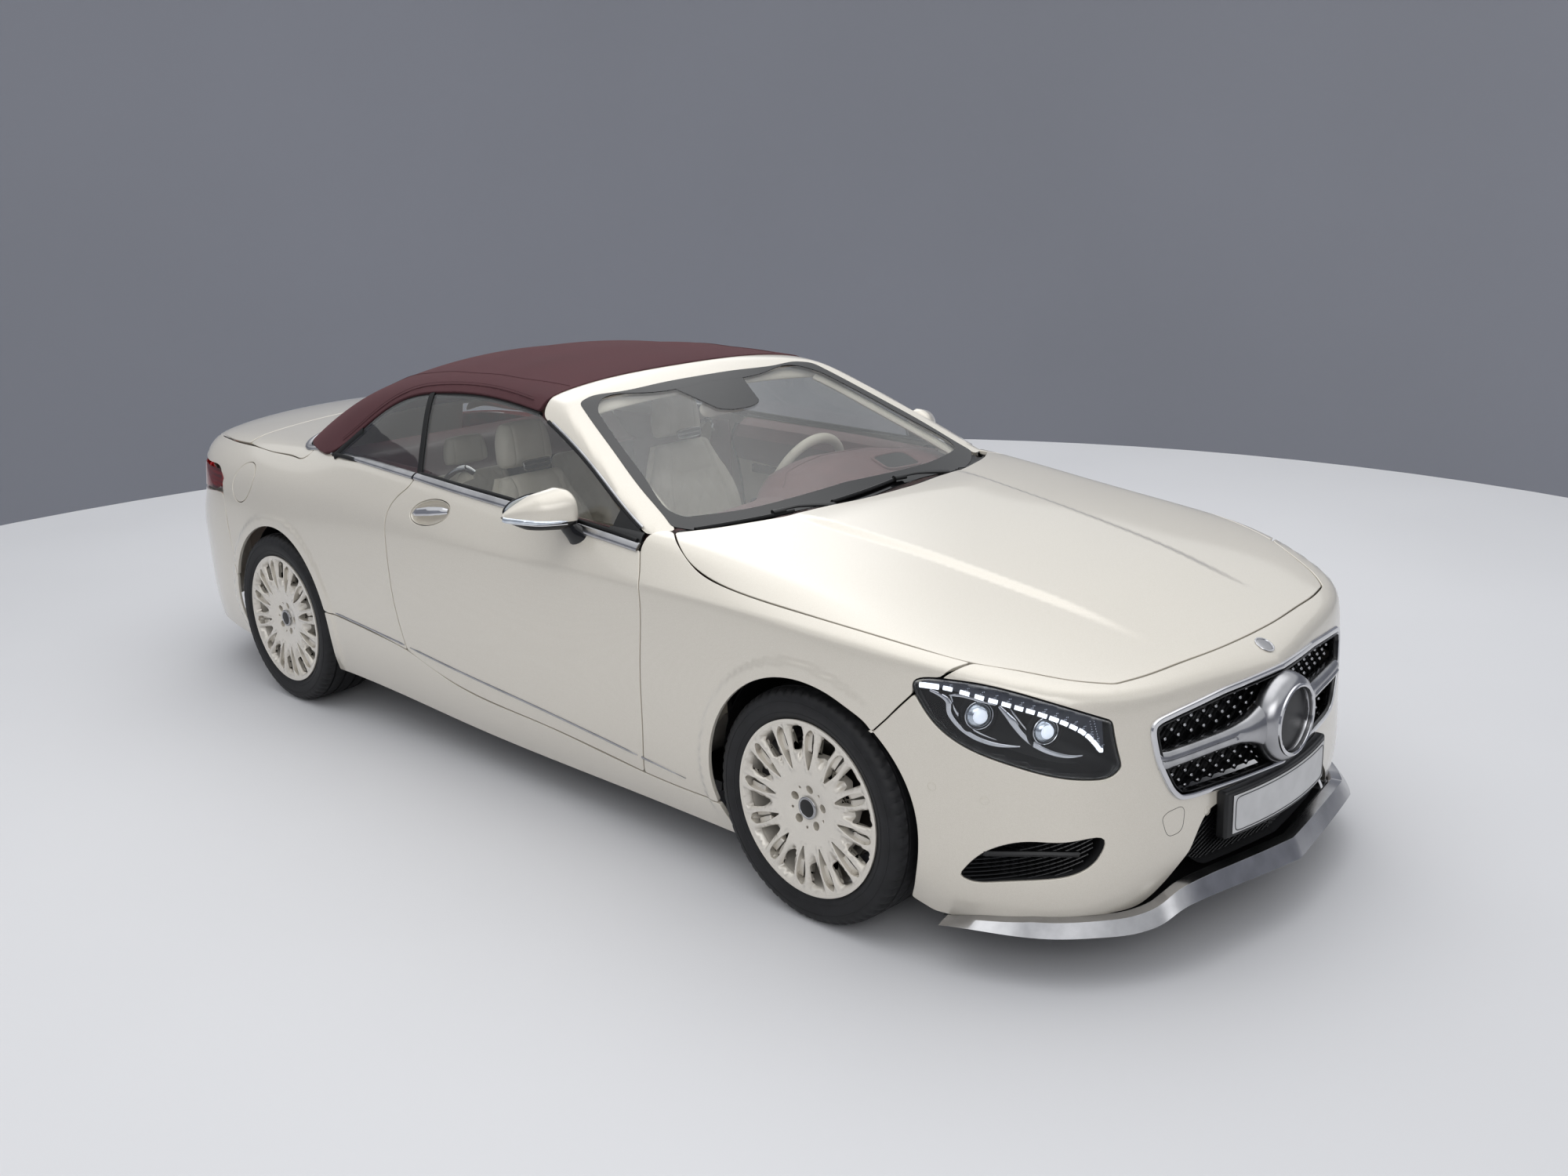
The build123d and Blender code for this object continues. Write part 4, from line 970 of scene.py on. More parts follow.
# Painted panels: edges are given as (x, y, z) points and laid on the body.
noseChart = ballChart(lowerBody, -1650, 480, -1)
tailChart = ballChart(lowerBody, 1550, 480, 1)
sideChart = spokeChart(lowerBody)
deckChart = topChart(lowerBody)
lidChart = rollChart(lowerBody)

hoodLine = [(781, -887, 1022), (835, -966, 1002), (869, -1073, 957), (886, -1214, 931), (888, -1499, 911),
            (875, -1725, 896),
            (839, -1917, 872), (798, -2033, 852), (724, -2143, 832), (654, -2243, 811), (574, -2317, 796)]
hoodNose = [(574, -2317, 796), (461, -2342, 795), (343, -2356, 796), (170, -2374, 796), (0, -2380, 796)]
hoodRear = [(781, -887, 1022), (673, -952, 1025), (568, -992, 1028), (446, -1029, 1029), (287, -1053, 1035),
            (150, -1078, 1036), (0, -1086, 1037)]
doorFront = [(869, -824, 977), (923, -871, 883), (936, -872, 645), (928, -852, 366), (907, -826, 261)]
doorRear = [(836, 458, 1034), (842, 462, 1016), (866, 506, 977), (899, 552, 918), (926, 548, 819),
            (936, 524, 613), (931, 468, 404)]
doorTop = [(869, -824, 977), (862, -560, 986), (848, -81, 1009), (845, 96, 1015), (836, 458, 1034)]
doorFoot = [(907, -826, 261), (918, -300, 300), (923, 209, 339), (931, 468, 404)]
pillarSeam = [(781, -887, 1022), (800, -846, 1034), (869, -824, 977)]
lampTopEdge = [(872, -1988, 818), (833, -2083, 814), (759, -2221, 782), (634, -2350, 720)]
lampRear = [(872, -1988, 818), (887, -1945, 815), (897, -1917, 800), (895, -1922, 772)]
lampInner = [(634, -2350, 720), (627, -2357, 663), (613, -2368, 595)]
lampLower = [(613, -2368, 595), (629, -2361, 579), (682, -2325, 569), (743, -2261, 578), (805, -2160, 605),
             (853, -2049, 643), (882, -1972, 700), (895, -1922, 772)]
lampShoulder = [hoodLine[7], (842, -2010, 836), lampRear[0]]
sillFront = (912, -1000, 256)
sillRear = [(937, 650, 425), (940, 850, 442)]
noseSeam = [(895, -1922, 772), (908, -1880, 728), (922, -1838, 683), (932, -1796, 640)]
tailSeam = [(881, 1905, 858), (892, 1877, 805), (905, 1837, 720), (930, 1798, 600), (940, 1757, 475)]
deckSeam = [(740, 1301, 1044), (762, 1299, 1032), (786, 1297, 1015), (797, 1310, 1008), (799, 1380, 1003),
            (786, 1572, 1000),
            (764, 1782, 999)] + fromTop(lowerBody, np.array([746, 732, 715, 697, 677]),
                                        np.array([1977, 2065, 2150, 2222, 2285])).tolist()
baseLine = [(836, 458, 1034), (830, 620, 1040), (813, 837, 1045), (790, 1050, 1046), (768, 1190, 1046),
            (740, 1301, 1044)]
quarterTail = [deckSeam[-1], fromRear(lowerBody, 664, 914).tolist(), fromRear(lowerBody, 663, 903).tolist(),
               (700, 2306, 905), (770, 2220, 908), (832, 2090, 910), (862, 1965, 905),
               (881, 1905, 858)]


def archLine(arch, start, end, count=15, grow=0.0):
    # side view circle on the body, angles in degrees from the rear, upward
    y, z, r = arch
    a = np.radians(np.linspace(start, end, count))
    return fromSide(lowerBody, y + (r + grow) * np.cos(a), z + (r + grow) * np.sin(a)).tolist()


def bonnetShape():
    line = [np.array(c, float) for c in (hoodLine, hoodNose, hoodRear)]
    side, nose, rear = line
    return outline(deckChart, side, nose, nose[::-1] * (-1, 1, 1), side[::-1] * (-1, 1, 1),
                   rear * (-1, 1, 1), rear[::-1])


bumperFoot = [(838, -1938, 133), (823, -2024, 140), (807, -2113, 158), (746, -2231, 171), (675, -2308, 171),
              (608, -2352, 175),
              (532, -2382, 181), (480, -2410, 216), (430, -2430, 262), (384, -2442, 300)]
sideIntake = [(856, -2038, 278), (843, -2082, 335), (815, -2144, 378), (785, -2201, 395), (720, -2290, 399),
              (654, -2351, 396),
              (662, -2345, 368), (676, -2337, 344), (708, -2307, 314), (761, -2240, 294), (823, -2123, 273),
              (850, -2053, 270)]


def frontOutline(points, half=True):
    # closed edge on the nose from (x, z) points, mirrored when only one half is given
    p = np.array(points, float)
    if half:
        p = bothSides(p)[:-1]
    p = softened(evenly(p, 8.0, True), 3)
    return fromFront(lowerBody, p[:, 0], p[:, 1])


grilleHalf = [(0, 731), (250, 724), (430, 709), (500, 700), (524, 688), (526, 660), (512, 590), (490, 540),
              (462, 490),
              (432, 462), (380, 454), (200, 447), (0, 443)]
intakeTop = [(384, 300), (372, 322), (358, 345), (342, 368), (322, 388), (298, 400), (265, 405), (220, 406),
             (110, 406), (0, 406)]
centreIntakeHalf = [(0, 404), (290, 404), (318, 396), (352, 345), (384, 300), (380, 288), (330, 250),
                    (300, 236), (0, 236)]


def bumperShape():
    arch = archLine(frontArch, 129.5, 211)
    half = [hoodNose[::-1], hoodLine[:6:-1], lampShoulder, lampTopEdge, lampInner,
            lampLower, noseSeam, [noseSeam[-1]] + arch, [arch[-1], bumperFoot[0]], bumperFoot,
            fromFront(lowerBody, *run(intakeTop, 41).T)]
    half = [np.array(c, float) for c in half]
    rim = outline(noseChart, *half, *[c[::-1] * (-1, 1, 1) for c in half[::-1]])
    intake = outline(noseChart, sideIntake + sideIntake[:1])
    holes = [frontOutline(grilleHalf), intake, mirrored(intake)]
    return plateMesh(lowerBody, noseChart, rim, holes, pitch=18, depth=9)


def fenderShape():
    arch = archLine(frontArch, 129.5, -15)
    return outline(sideChart, hoodLine[:8], lampShoulder, lampRear, noseSeam,
                   [noseSeam[-1]] + arch, [arch[-1], sillFront, doorFoot[0]], doorFront[::-1],
                   pillarSeam[::-1])


def doorShape():
    return outline(sideChart, doorFront[::-1], doorTop, doorRear, doorFoot[::-1])


def quarterShape():
    arch = archLine(rearArch, 165.5, 18, 31)
    foot = [doorRear[-1], *sillRear, arch[0]]
    return outline(sideChart, doorRear[::-1], baseLine, deckSeam, quarterTail, tailSeam,
                   [tailSeam[-1]] + arch[::-1], foot[::-1])


def sillShape():
    front = archLine(frontArch, -15, -33.5, 8)
    rear = archLine(rearArch, 165.5, 206, 8)
    top = [front[0], sillFront] + doorFoot + [*sillRear, rear[0]]
    low = [rear[-1], (890, 934, 192), (872, 133, 150), (858, -470, 146), (866, -1067, 150), front[-1]]
    return outline(sideChart, top, rear, low, front[::-1])


# the three folds of the tail: (turn, height) fanned level from a post inside it
bumperEdge = [(1.507, 0.475), (1.466, 0.60), (1.421, 0.72), (1.372, 0.805), (1.33, 0.810), (1.24, 0.804),
              (1.0, 0.783), (0.78, 0.758),
              (0.70, 0.733), (0.60, 0.69), (0.4, 0.678), (0, 0.675)]

tailPost = 1700


def fromPost(turn, height):
    # points on the tail met by level rays from the post: height in metres
    start = np.stack([0 * turn, 0 * turn + tailPost, height * 1000], -1)
    return meet(lowerBody, start, np.stack([np.sin(turn), np.cos(turn), 0 * turn], -1), 0, 1400)


def tailFan(points, count):
    return fromPost(*run(points, count).T)


def rearBumperShape():
    arch = archLine(rearArch, 18, -28)
    edge = tailFan(bumperEdge, 61)
    foot = run([arch[-1], (884, 1880, 182), (868, 2060, 200), (800, 2220, 214), (640, 2360, 222),
                (300, 2440, 228), (0, 2460, 230)], 41)
    half = [edge[::-1], np.concatenate([edge[:1], arch]), foot]
    rim = outline(tailChart, *half, *[c[::-1] * (-1, 1, 1) for c in half[::-1]])
    return plateMesh(lowerBody, tailChart, rim, pitch=19, depth=9)


def tonneauShape():
    seam = np.array(deckSeam[1:6] + [(764, 1782, 999), (752, 1855, 998)], float)
    rear = np.array([(752, 1855, 998), (700, 1857, 1005), (300, 1857, 1060), (0, 1857, 1078)])
    base = np.array([(762, 1299, 1032), (748, 1334, 1046), (705, 1410, 1052), (641, 1468, 1060),
                     (563, 1511, 1070),
                     (407, 1564, 1084), (262, 1593, 1092), (129, 1609, 1096), (0, 1614, 1097)])
    return outline(deckChart, seam, rear, rear[::-1] * (-1, 1, 1), seam[::-1] * (-1, 1, 1),
                   base * (-1, 1, 1), base[::-1])


def lidShape():
    fore = np.array([(0, 1863, 1078), (300, 1863, 1060), (700, 1862, 1005), (750, 1862, 998)])
    side = fromTop(lowerBody, *run([(750, 1862), (741, 1977), (710, 2150), (669, 2296)], 21).T)
    tail = fromRear(lowerBody, *run([(655, 905), (650, 830), (640, 768)], 9).T)
    low = fromRear(lowerBody, *run([(640, 768), (598, 744), (560, 724), (513, 705), (330, 692), (0, 689)],
                                   21).T)
    half = [fore, np.concatenate([side, tail]), low]
    half[1][0] = fore[-1]
    return outline(lidChart, *half, *[c[::-1] * (-1, 1, 1) for c in half[::-1]])


def makePanels():
    shape = plateMesh(lowerBody, deckChart, bonnetShape(), pitch=19)
    plate("bonnetSkin", "bonnet_body", "bonnet", shape, 0)
    stage("bonnet")
    shape = plateMesh(lowerBody, deckChart, tonneauShape(), pitch=17)
    plate("tonneauSkin", "chassis", "tonneau_cover", shape, 0)
    plate("lidSkin", "boot_lid_body", "boot_lid", plateMesh(lowerBody, lidChart, lidShape(), pitch=19), 0)
    plate("frontBumperSkin", "chassis", "front_bumper", bumperShape(), 0)
    plate("rearBumperSkin", "chassis", "rear_bumper", rearBumperShape(), 0)
    stage("bumpers and lid")
    fender = plateMesh(lowerBody, sideChart, fenderShape(), pitch=17)
    door = plateMesh(lowerBody, sideChart, doorShape(), [handleCup()], pitch=18, flange=22, depth=22)
    quarters = {side: plateMesh(lowerBody, sideChart, quarterShape(), holes, pitch=18)
                for side, holes in ((-1, [fuelFlap()]), (1, []))}
    flap = plateMesh(lowerBody, sideChart, fuelFlap(), (), gap=1.2, radius=1.0, pitch=15)
    sill = plateMesh(lowerBody, sideChart, sillShape(), pitch=18)
    for side, name in ((1, "left"), (-1, "right")):
        plate(f"fenderSkin_{name}", "chassis", f"front_fender_{name}", fender, side)
        plate(f"doorSkin_{name}", f"door_{name}_body", f"door_{name}", door, side)
        plate(f"quarterSkin_{name}", "chassis", f"rear_quarter_{name}", quarters[side], side)
        plate(f"sillSkin_{name}", "chassis", "side_sills", sill, side)
    plate("fuelFlap", "chassis", None, flap, -1)


def ovalOn(centre, width, height, tilt=0.0, count=40):
    # oval on the body about a point: width along the car, height up it
    a = np.linspace(0, 2 * np.pi, count, endpoint=False)
    across, up = 0.5 * width * np.cos(a), 0.5 * height * np.sin(a)
    c, s = math.cos(tilt), math.sin(tilt)
    y = centre[1] + across * c - up * s
    z = centre[2] + across * s + up * c
    return fromSide(lowerBody, y, z)


def handleCup():
    return ovalOn((900, 296, 941), 226, 84, -0.16)


def fuelFlap():
    a = np.linspace(0, 2 * np.pi, 48, endpoint=False)
    # a circle of the body's own slope, so that it stays round when seen square on
    centre = fromSide(lowerBody, 1706, 878)
    way = outward(lowerBody, centre[None])[0]
    along = np.array((0, 1.0, 0)) - way[1] * way
    along = along / np.linalg.norm(along)
    up = np.cross(way, along)
    ring = centre + 88 * (np.cos(a)[:, None] * along + np.sin(a)[:, None] * up)
    return sideChart.lift(sideChart.flatten(ring))


makePanels()
stage("painted panels")

# Glasshouse: screen frame, borders, seals, fabric roof and its trims.
screenChart = ballChart(upperBody, 300, 1000, -1)
roofChart = topChart(upperBody, 900)
glassChart = spokeChart(upperBody, 100, 900)

pillarOuter = fromSide(upperBody, *run([(-806, 1018), (-778, 1030), (-600, 1110), (-400, 1197),
                                        (-220, 1262), (-140, 1288)], 31).T)
headerRear = fromTop(upperBody, *run([(596, -92), (450, -84), (200, -86), (0, -88)], 17).T)
borderInner = fromFront(upperBody, *run([(752, 1020), (744, 1032), (711, 1108), (657, 1203), (606, 1286),
                                         (585, 1316)], 25).T, start=200)
borderTop = fromFront(upperBody, *run([(572, 1328), (540, 1336), (400, 1342), (200, 1347), (0, 1349)],
                                      17).T, start=200)


def frontCurve(points, count=25):
    return fromFront(upperBody, *run(points, count).T, start=200)


def screenFrameShape():
    # pillars and header as one painted arch
    outer = np.concatenate([pillarOuter, [headerRear[0]]])
    inner = np.concatenate([borderInner, borderTop])
    half = [outer, headerRear, headerRear[::-1] * (-1, 1, 1), outer[::-1] * (-1, 1, 1),
            np.stack([outer[0], inner[0]]) * (-1, 1, 1), inner * (-1, 1, 1), inner[::-1],
            np.stack([inner[0], outer[0]])]
    return outline(screenChart, *half, pace=8.0)


def screenBorder():
    # black band printed round the edge of the glass, wide at the foot
    outer = frontCurve([(0, 1000), (400, 1006), (720, 1018), (746, 1026)], 21)
    side = borderInner[1:]
    head = borderTop
    rim = [outer, np.concatenate([outer[-1:], side]), np.concatenate([side[-1:], head])]
    loop = outline(screenChart, *rim, *[c[::-1] * (-1, 1, 1) for c in rim[::-1]], pace=10.0)
    clear = [frontCurve([(0, 1042), (305, 1035), (461, 1033), (675, 1040)], 21),
             frontCurve([(675, 1040), (700, 1055), (672, 1118), (620, 1203), (553, 1300)], 25),
             frontCurve([(553, 1300), (520, 1318), (300, 1330), (0, 1332)], 21)]
    hole = outline(screenChart, *clear, *[c[::-1] * (-1, 1, 1) for c in clear[::-1]], pace=10.0)
    return plateMesh(upperBody, screenChart, loop, [hole], pitch=20, gap=-1.0, radius=0.6, depth=4,
                     flange=1.0, lift=1.2)


def sensorPatch():
    half = [frontCurve([(0, 1333), (150, 1332), (168, 1328)], 9),
            frontCurve([(168, 1328), (132, 1292), (104, 1262)], 9),
            frontCurve([(104, 1262), (60, 1254), (0, 1252)], 9)]
    loop = outline(screenChart, *half, *[c[::-1] * (-1, 1, 1) for c in half[::-1]], pace=8.0)
    return plateMesh(upperBody, screenChart, loop, (), pitch=20, gap=0, radius=0.6, depth=6, flange=1.0,
                     lift=1.0)


railLine = fromSide(upperBody, *run([(-86, 1303), (164, 1322), (363, 1324), (575, 1310), (733, 1280),
                                     (842, 1228), (944, 1153),
                                     (1047, 1080), (1110, 1052)], 61).T)
roofBase = [(788, 1167, 1036), (770, 1250, 1043), (742, 1330, 1049), (699, 1404, 1054), (636, 1462, 1060),
            (559, 1504, 1067),
            (404, 1556, 1079), (260, 1585, 1087), (128, 1601, 1091), (0, 1607, 1092)]
windowHalf = [(0, 1216), (300, 1216), (400, 1224), (452, 1262), (476, 1330), (462, 1392), (420, 1424),
              (300, 1452), (0, 1470)]


def roofHeightShape():
    front = np.concatenate([railLine[:1], headerRear + (0, 3, 0)])
    base = np.array(roofBase, float)
    rear = np.concatenate([railLine[-1:], base[0:1]])
    half = [front[::-1], railLine, rear, base]
    return outline(roofChart, *half, *[c[::-1] * (-1, 1, 1) for c in half[::-1]], pace=10.0)


def topCurve(points, count, field=upperBody, floor=900):
    q = run(points, count)
    return fromTop(field, q[:, 0], q[:, 1], floor)


def rearWindowLoop(grow=0.0):
    p = np.array(windowHalf, float)
    p = np.concatenate([p, p[-2:0:-1] * (-1, 1)])
    p = softened(evenly(p, 9.0, True), 6)
    middle = np.array((0, 1340.0))
    away = unit(p - middle)
    return fromTop(upperBody, *(p + grow * away).T, 900)


roofSettings = dict(lift=4.0, bowSag=5.0, bows=(60, 330, 640, 960, 1240), hem=22.0)


def sag(points):
    # the cloth drops a little between the bows that carry it, except at its edges
    x, y = points[:, 0], points[:, 1]
    bows = np.array(roofSettings["bows"], float)
    place = np.interp(y, bows, np.arange(len(bows)))
    between = np.sin(np.pi * (place % 1))**2 * (y > bows[0]) * (y < bows[-1])
    edge = step((fromSideReach(y) - np.abs(x)) / 260)
    points = points.copy()
    points[:, 2] -= roofSettings["bowSag"] * between * edge
    return points


def fromSideReach(y):
    return 0.93 * (glassFoot(y) - 150)


def makeRoof():
    window = rearWindowLoop(6)
    points, faces, corner = plateMesh(upperBody, roofChart, roofHeightShape(), [window], pitch=30, gap=0.5,
                                      radius=4, depth=16,
                                      flange=8, lift=roofSettings["lift"])
    addPiece("roofCloth", sag(points), faces, "chassis", roofFabric, "roof_fabric", ("soft_top",), corner)
    # hem cord and a row of stitching along the rail
    rail = railLine[3:-3]
    hemLine = fromSide(upperBody, rail[:, 1], rail[:, 2] + roofSettings["hem"])
    hemUp = outward(upperBody, hemLine)
    seam = pipe(hemLine + 4.6 * hemUp, 1.5, 6)
    seamIn = pipe(hemLine + 4.4 * hemUp + (0, 0, 9), 0.9, 6)
    for name, one in (("hemCord", seam), ("hemStitch", seamIn)):
        addPiece(name, *merge([one, flipped(one)]), "chassis", roofFabric, "roof_fabric")
    # two long seams where the side cloths join the middle one
    long = topCurve([(505, -60), (512, 200), (505, 600), (480, 950), (470, 1150)], 61)
    long = sag(long)
    welt = pipe(long + 3.6 * outward(upperBody, long), 2.6, 6)
    back = topCurve([(498, 1250), (560, 1340), (640, 1440)], 21)
    welt2 = pipe(back + 3.6 * outward(upperBody, back), 2.6, 6)
    addPiece("roofWelts", *merge([welt, flipped(welt), welt2, flipped(welt2)]), "chassis", roofFabric,
             "roof_fabric")
    loop = rearWindowLoop(-2)
    ring = sweep(loop + 2.0 * outward(upperBody, loop), ringProfile(20, 8, 10), outward(upperBody, loop),
                 True)
    addPiece("rearWindowSeal", *ring, "chassis", sealRubber, "black_plastic")


def sealStrip(path, width, height, field=upperBody, over=0.0, closed=False):
    way = outward(field, path)
    return sweep(path + over * way, ringProfile(width, height, 10), way, closed)


def makeGlassTrim():
    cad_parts["windscreen"].data.materials.clear()
    for node in ("windscreen", "rear_window", "door_glass_left", "door_glass_right", "quarter_glass"):
        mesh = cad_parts[node].data
        mesh.materials.clear()
        mesh.materials.append(clearGlass)
    shape = plateMesh(upperBody, screenChart, screenFrameShape(), (), pitch=17, gap=0.4, radius=4, depth=20,
                      flange=12)
    plate("screenFrame", "chassis", "windscreen_frame", shape, 0)
    points, faces, corner = screenBorder()
    addPiece("screenBorder", points, faces, "chassis", blackGloss, "black_plastic", (), corner)
    points, faces, corner = sensorPatch()
    addPiece("sensorPatch", points, faces, "chassis", blackGloss, "black_plastic", (), corner)
    # seals and bright strips along both sides
    rail = railLine - (0, 0, 9)
    low = sealStrip(rail, 20, 16, over=-5)
    pillar = pillarOuter[1:-1] + (2, 6, -4)
    strip = sealStrip(pillar, 15, 13, over=-1)
    bright = sealStrip(pillarOuter[1:-2] + (1, -2, 3), 9, 8, over=1.0)
    addPiece("railSeals", *merge([low, flipped(low), strip, flipped(strip)]), "chassis", sealRubber,
             "black_plastic")
    addPiece("pillarStrips", *merge([bright, flipped(bright)]), "chassis", satinChrome, "satin_trim")
    # divider between the door glass and the side glass, and the seal round the side glass
    post = fromSide(upperBody, *run([(444, 1028), (512, 1168), (582, 1306)], 21).T)
    bar = sweep(post + 1.0 * outward(upperBody, post),
                [(-13, -8), (-13, 1.5), (-11, 3.5), (0, 4.5), (11, 3.5), (13, 1.5), (13, -8)],
                outward(upperBody, post))
    rear = fromSide(upperBody, *run([(935, 1150), (1010, 1096), (1062, 1054), (1078, 1040)], 15).T)
    fin = sealStrip(rear, 34, 10, over=-1)
    foot = fromSide(upperBody, *run([(452, 1036), (700, 1044), (1075, 1048)], 31).T)
    sill = sealStrip(foot, 16, 10, over=0)
    addPiece("sideGlassFrame", *merge([bar, flipped(bar), fin, flipped(fin), sill, flipped(sill)]),
             "chassis", sealRubber, "black_plastic")


def beltBar(points, width=29.0, height=7.0, lift=3.0):
    # bright moulding along the shoulder: a low rounded section facing out and up
    path = sideChart.lift(sideChart.flatten(run(points,
                                                max(int(abs(points[-1][1] - points[0][1]) / 16), 8))))
    way = outward(lowerBody, path)
    half = 0.5 * width
    section = [(-half, -4), (-half, 1), (-0.8 * half, 0.6 * height), (-0.3 * half, 0.95 * height),
               (0.3 * half, height),
               (0.8 * half, 0.7 * height), (half, 1), (half, -4)]
    return sweep(path + lift * way, section, way)


beltDoor = [(869, -818, 981), (864, -700, 987), (856, -560, 992), (843, -81, 1017), (839, 96, 1023),
            (829, 453, 1040)]
beltRear = [(829, 463, 1040), (823, 620, 1046), (806, 837, 1050), (783, 1050, 1051), (764, 1190, 1050),
            (742, 1290, 1048)]


def makeBelt():
    bar = beltBar(beltDoor)
    inner = sideChart.lift(sideChart.flatten(run([(850, -800, 994), (843, -700, 1001), (838, -560, 1006),
                                                  (824, -81, 1030), (820, 96, 1035), (812, 452, 1048)],
                                                 70)))
    lip = sweep(inner + 2 * outward(lowerBody, inner), ringProfile(14, 12, 10), outward(lowerBody, inner))
    for side, body, pair in (("left", "door_left_body", (bar, lip)),
                             ("right", "door_right_body", (flipped(bar), flipped(lip)))):
        addPiece(f"beltMoulding_{side}", *pair[0], body, satinChrome, "satin_trim")
        addPiece(f"waistSeal_{side}", *pair[1], body, sealRubber, "black_plastic")
    # behind the doors the moulding runs on round the back of the roof
    side = run(beltRear, 60)
    base = np.array(roofBase[2:], float) + (10, 14, 0)
    base[-1, 0] = 0
    base[:, 2] = fromTop(lowerBody, base[:, 0], base[:, 1])[:, 2]
    side = sideChart.lift(sideChart.flatten(side))
    path = evenly(bothSides(run(np.concatenate([side[:-3:4], base]), 120)), 14.0)
    path = fromTop(lowerBody, path[:, 0], path[:, 1])
    way = outward(lowerBody, path)
    width = np.interp(np.abs(path[:, 0]), (600, 780), (20, 29))[:, None]
    shape = np.array([(-0.5, -4), (-0.5, 1), (-0.4, 4.2), (-0.15, 6.6), (0.15, 7), (0.4, 4.9), (0.5, 1),
                      (0.5, -4)])
    section = np.stack([shape[None, :, 0] * width, np.broadcast_to(shape[None, :, 1], (len(path), 8))], -1)
    points, faces = sweep(path + 3 * way, section, way)
    addPiece("roofMoulding", points, faces, "chassis", satinChrome, "satin_trim")


makeGlassTrim()
stage("glass and seals")
makeRoof()
stage("roof")
makeBelt()
stage("belt mouldings")

# Wheels: worked out once about the x axis with the face towards +x, then placed at each hub.
wheelSettings = dict(radius=262.0, half=118.0, petals=12, petalIn=119.0, petalOut=243.0, windowIn=168.0,
                     windowOut=238.0, dish=24.0)
wheelPlaces = (("front_left", 1, -1548.0), ("front_right", -1, -1548.0), ("rear_left", 1, 1397.0),
               ("rear_right", -1, 1397.0))


def petalLoop(turn, grow=0.0, count=30):
    # teardrop: pointed at the hub end, round at the rim end
    w = wheelSettings
    t = np.linspace(0, 2 * np.pi, count, endpoint=False)
    length = 0.5 * (w["petalOut"] - w["petalIn"])
    middle = 0.5 * (w["petalOut"] + w["petalIn"])
    reach = middle + (length + grow) * -np.cos(t)
    along = (reach - w["petalIn"]) / (2 * length)
    width = (6.0 + 17.0 * np.clip(along, 0, 1)**0.8 + grow) * np.sin(t)
    c, s = math.cos(turn), math.sin(turn)
    return np.stack([reach * c - width * s, reach * s + width * c], -1)


def windowLoop(turn, grow=0.0, count=10):
    # gap between two petals: widens a little outward, corners rounded later
    w = wheelSettings
    low, high = w["windowIn"] - grow, w["windowOut"] + grow
    halfLow, halfHigh = 0.088 + grow / 170, 0.112 + grow / 240
    r = np.concatenate([np.full(count, low), np.linspace(low, high, count)[1:-1], np.full(count, high),
                        np.linspace(high, low, count)[1:-1]])
    a = np.concatenate([np.linspace(-halfLow, halfLow, count), np.linspace(halfLow, halfHigh, count)[1:-1],
                        np.linspace(halfHigh, -halfHigh, count),
                        np.linspace(-halfHigh, -halfLow, count)[1:-1]]) + turn
    p = np.stack([r * np.cos(a), r * np.sin(a)], -1)
    return softened(evenly(p, 6.0, True), 2)


def faceHeight(y, z):
    # depth of the front face: smooth centre disc, a trough between the petals, raised petal rims and lip
    w = wheelSettings
    r = np.hypot(y, z)
    a = np.arctan2(z, y)
    pitch = 2 * np.pi / w["petals"]
    off = np.abs((a + 0.5 * pitch) % pitch - 0.5 * pitch)
    height = w["half"] - 9 + 6 * step((r - 60) / 120) - 7 * (1 - step((r - 36) / 60))
    side = r * off
    trough = step((r - 128) / 40) * (1 - step((r - 236) / 10)) * step((side - 25 - 0.05 * (r - 120)) / 9)
    height = height - w["dish"] * trough
    along = np.clip((r - w["petalIn"]) / (w["petalOut"] - w["petalIn"]), 0, 1)
    edge = np.abs(side - (6 + 17 * along**0.8))
    rim = (1 - step((edge - 1) / 9)) * step((r - 104) / 16) * (1 - step((r - 246) / 8))
    return height + 3.5 * rim + 3.0 * step((r - 243) / 9)


def wheelField(s, y, z):
    return s - faceHeight(y, z)


def wheelFace():
    def aim(u, v):
        return np.stack([0 * u, u, v], -1), np.array((1.0, 0, 0))

    chart = Chart(wheelField, lambda p: p[..., 1:3].copy(), aim)
    lift = lambda p: chart.lift(np.asarray(p, float))
    w = wheelSettings
    circle = lambda r, n, y=0, z=0: np.stack([y + r * np.cos(np.linspace(0, 2 * np.pi, n, endpoint=False)),
                                               z + r * np.sin(np.linspace(0, 2 * np.pi, n,
                                                       endpoint=False))], -1)
    holes = []
    for k in range(w["petals"]):
        turn = 2 * np.pi * k / w["petals"]
        holes.append(lift(petalLoop(turn)))
        holes.append(lift(windowLoop(turn + np.pi / w["petals"])))
    for k in range(5):
        a = 2 * np.pi * k / 5 + 0.3
        holes.append(lift(circle(12.5, 18, 56 * math.cos(a), 56 * math.sin(a))))
        a += np.pi / 5
        holes.append(lift(circle(4, 10, 62 * math.cos(a), 62 * math.sin(a))))
    return plateMesh(wheelField, chart, lift(circle(255, 180)), holes, pitch=8.5, gap=0, radius=2.0,
                     depth=30, flange=26)


def wheelBarrel():
    w = wheelSettings["half"]
    section = [(w, 262.5), (w - 5, 262.5), (w - 8, 252), (20, 250), (-w + 8, 252), (-w + 5, 262), (-w, 262),
               (-w + 2, 250),
               (-w + 24, 240), (-20, 236), (w - 34, 238), (w - 14, 246), (w - 6, 253), (w + 0.5, 254),
               (w + 1.5, 258)]
    return lathe(section, 96)


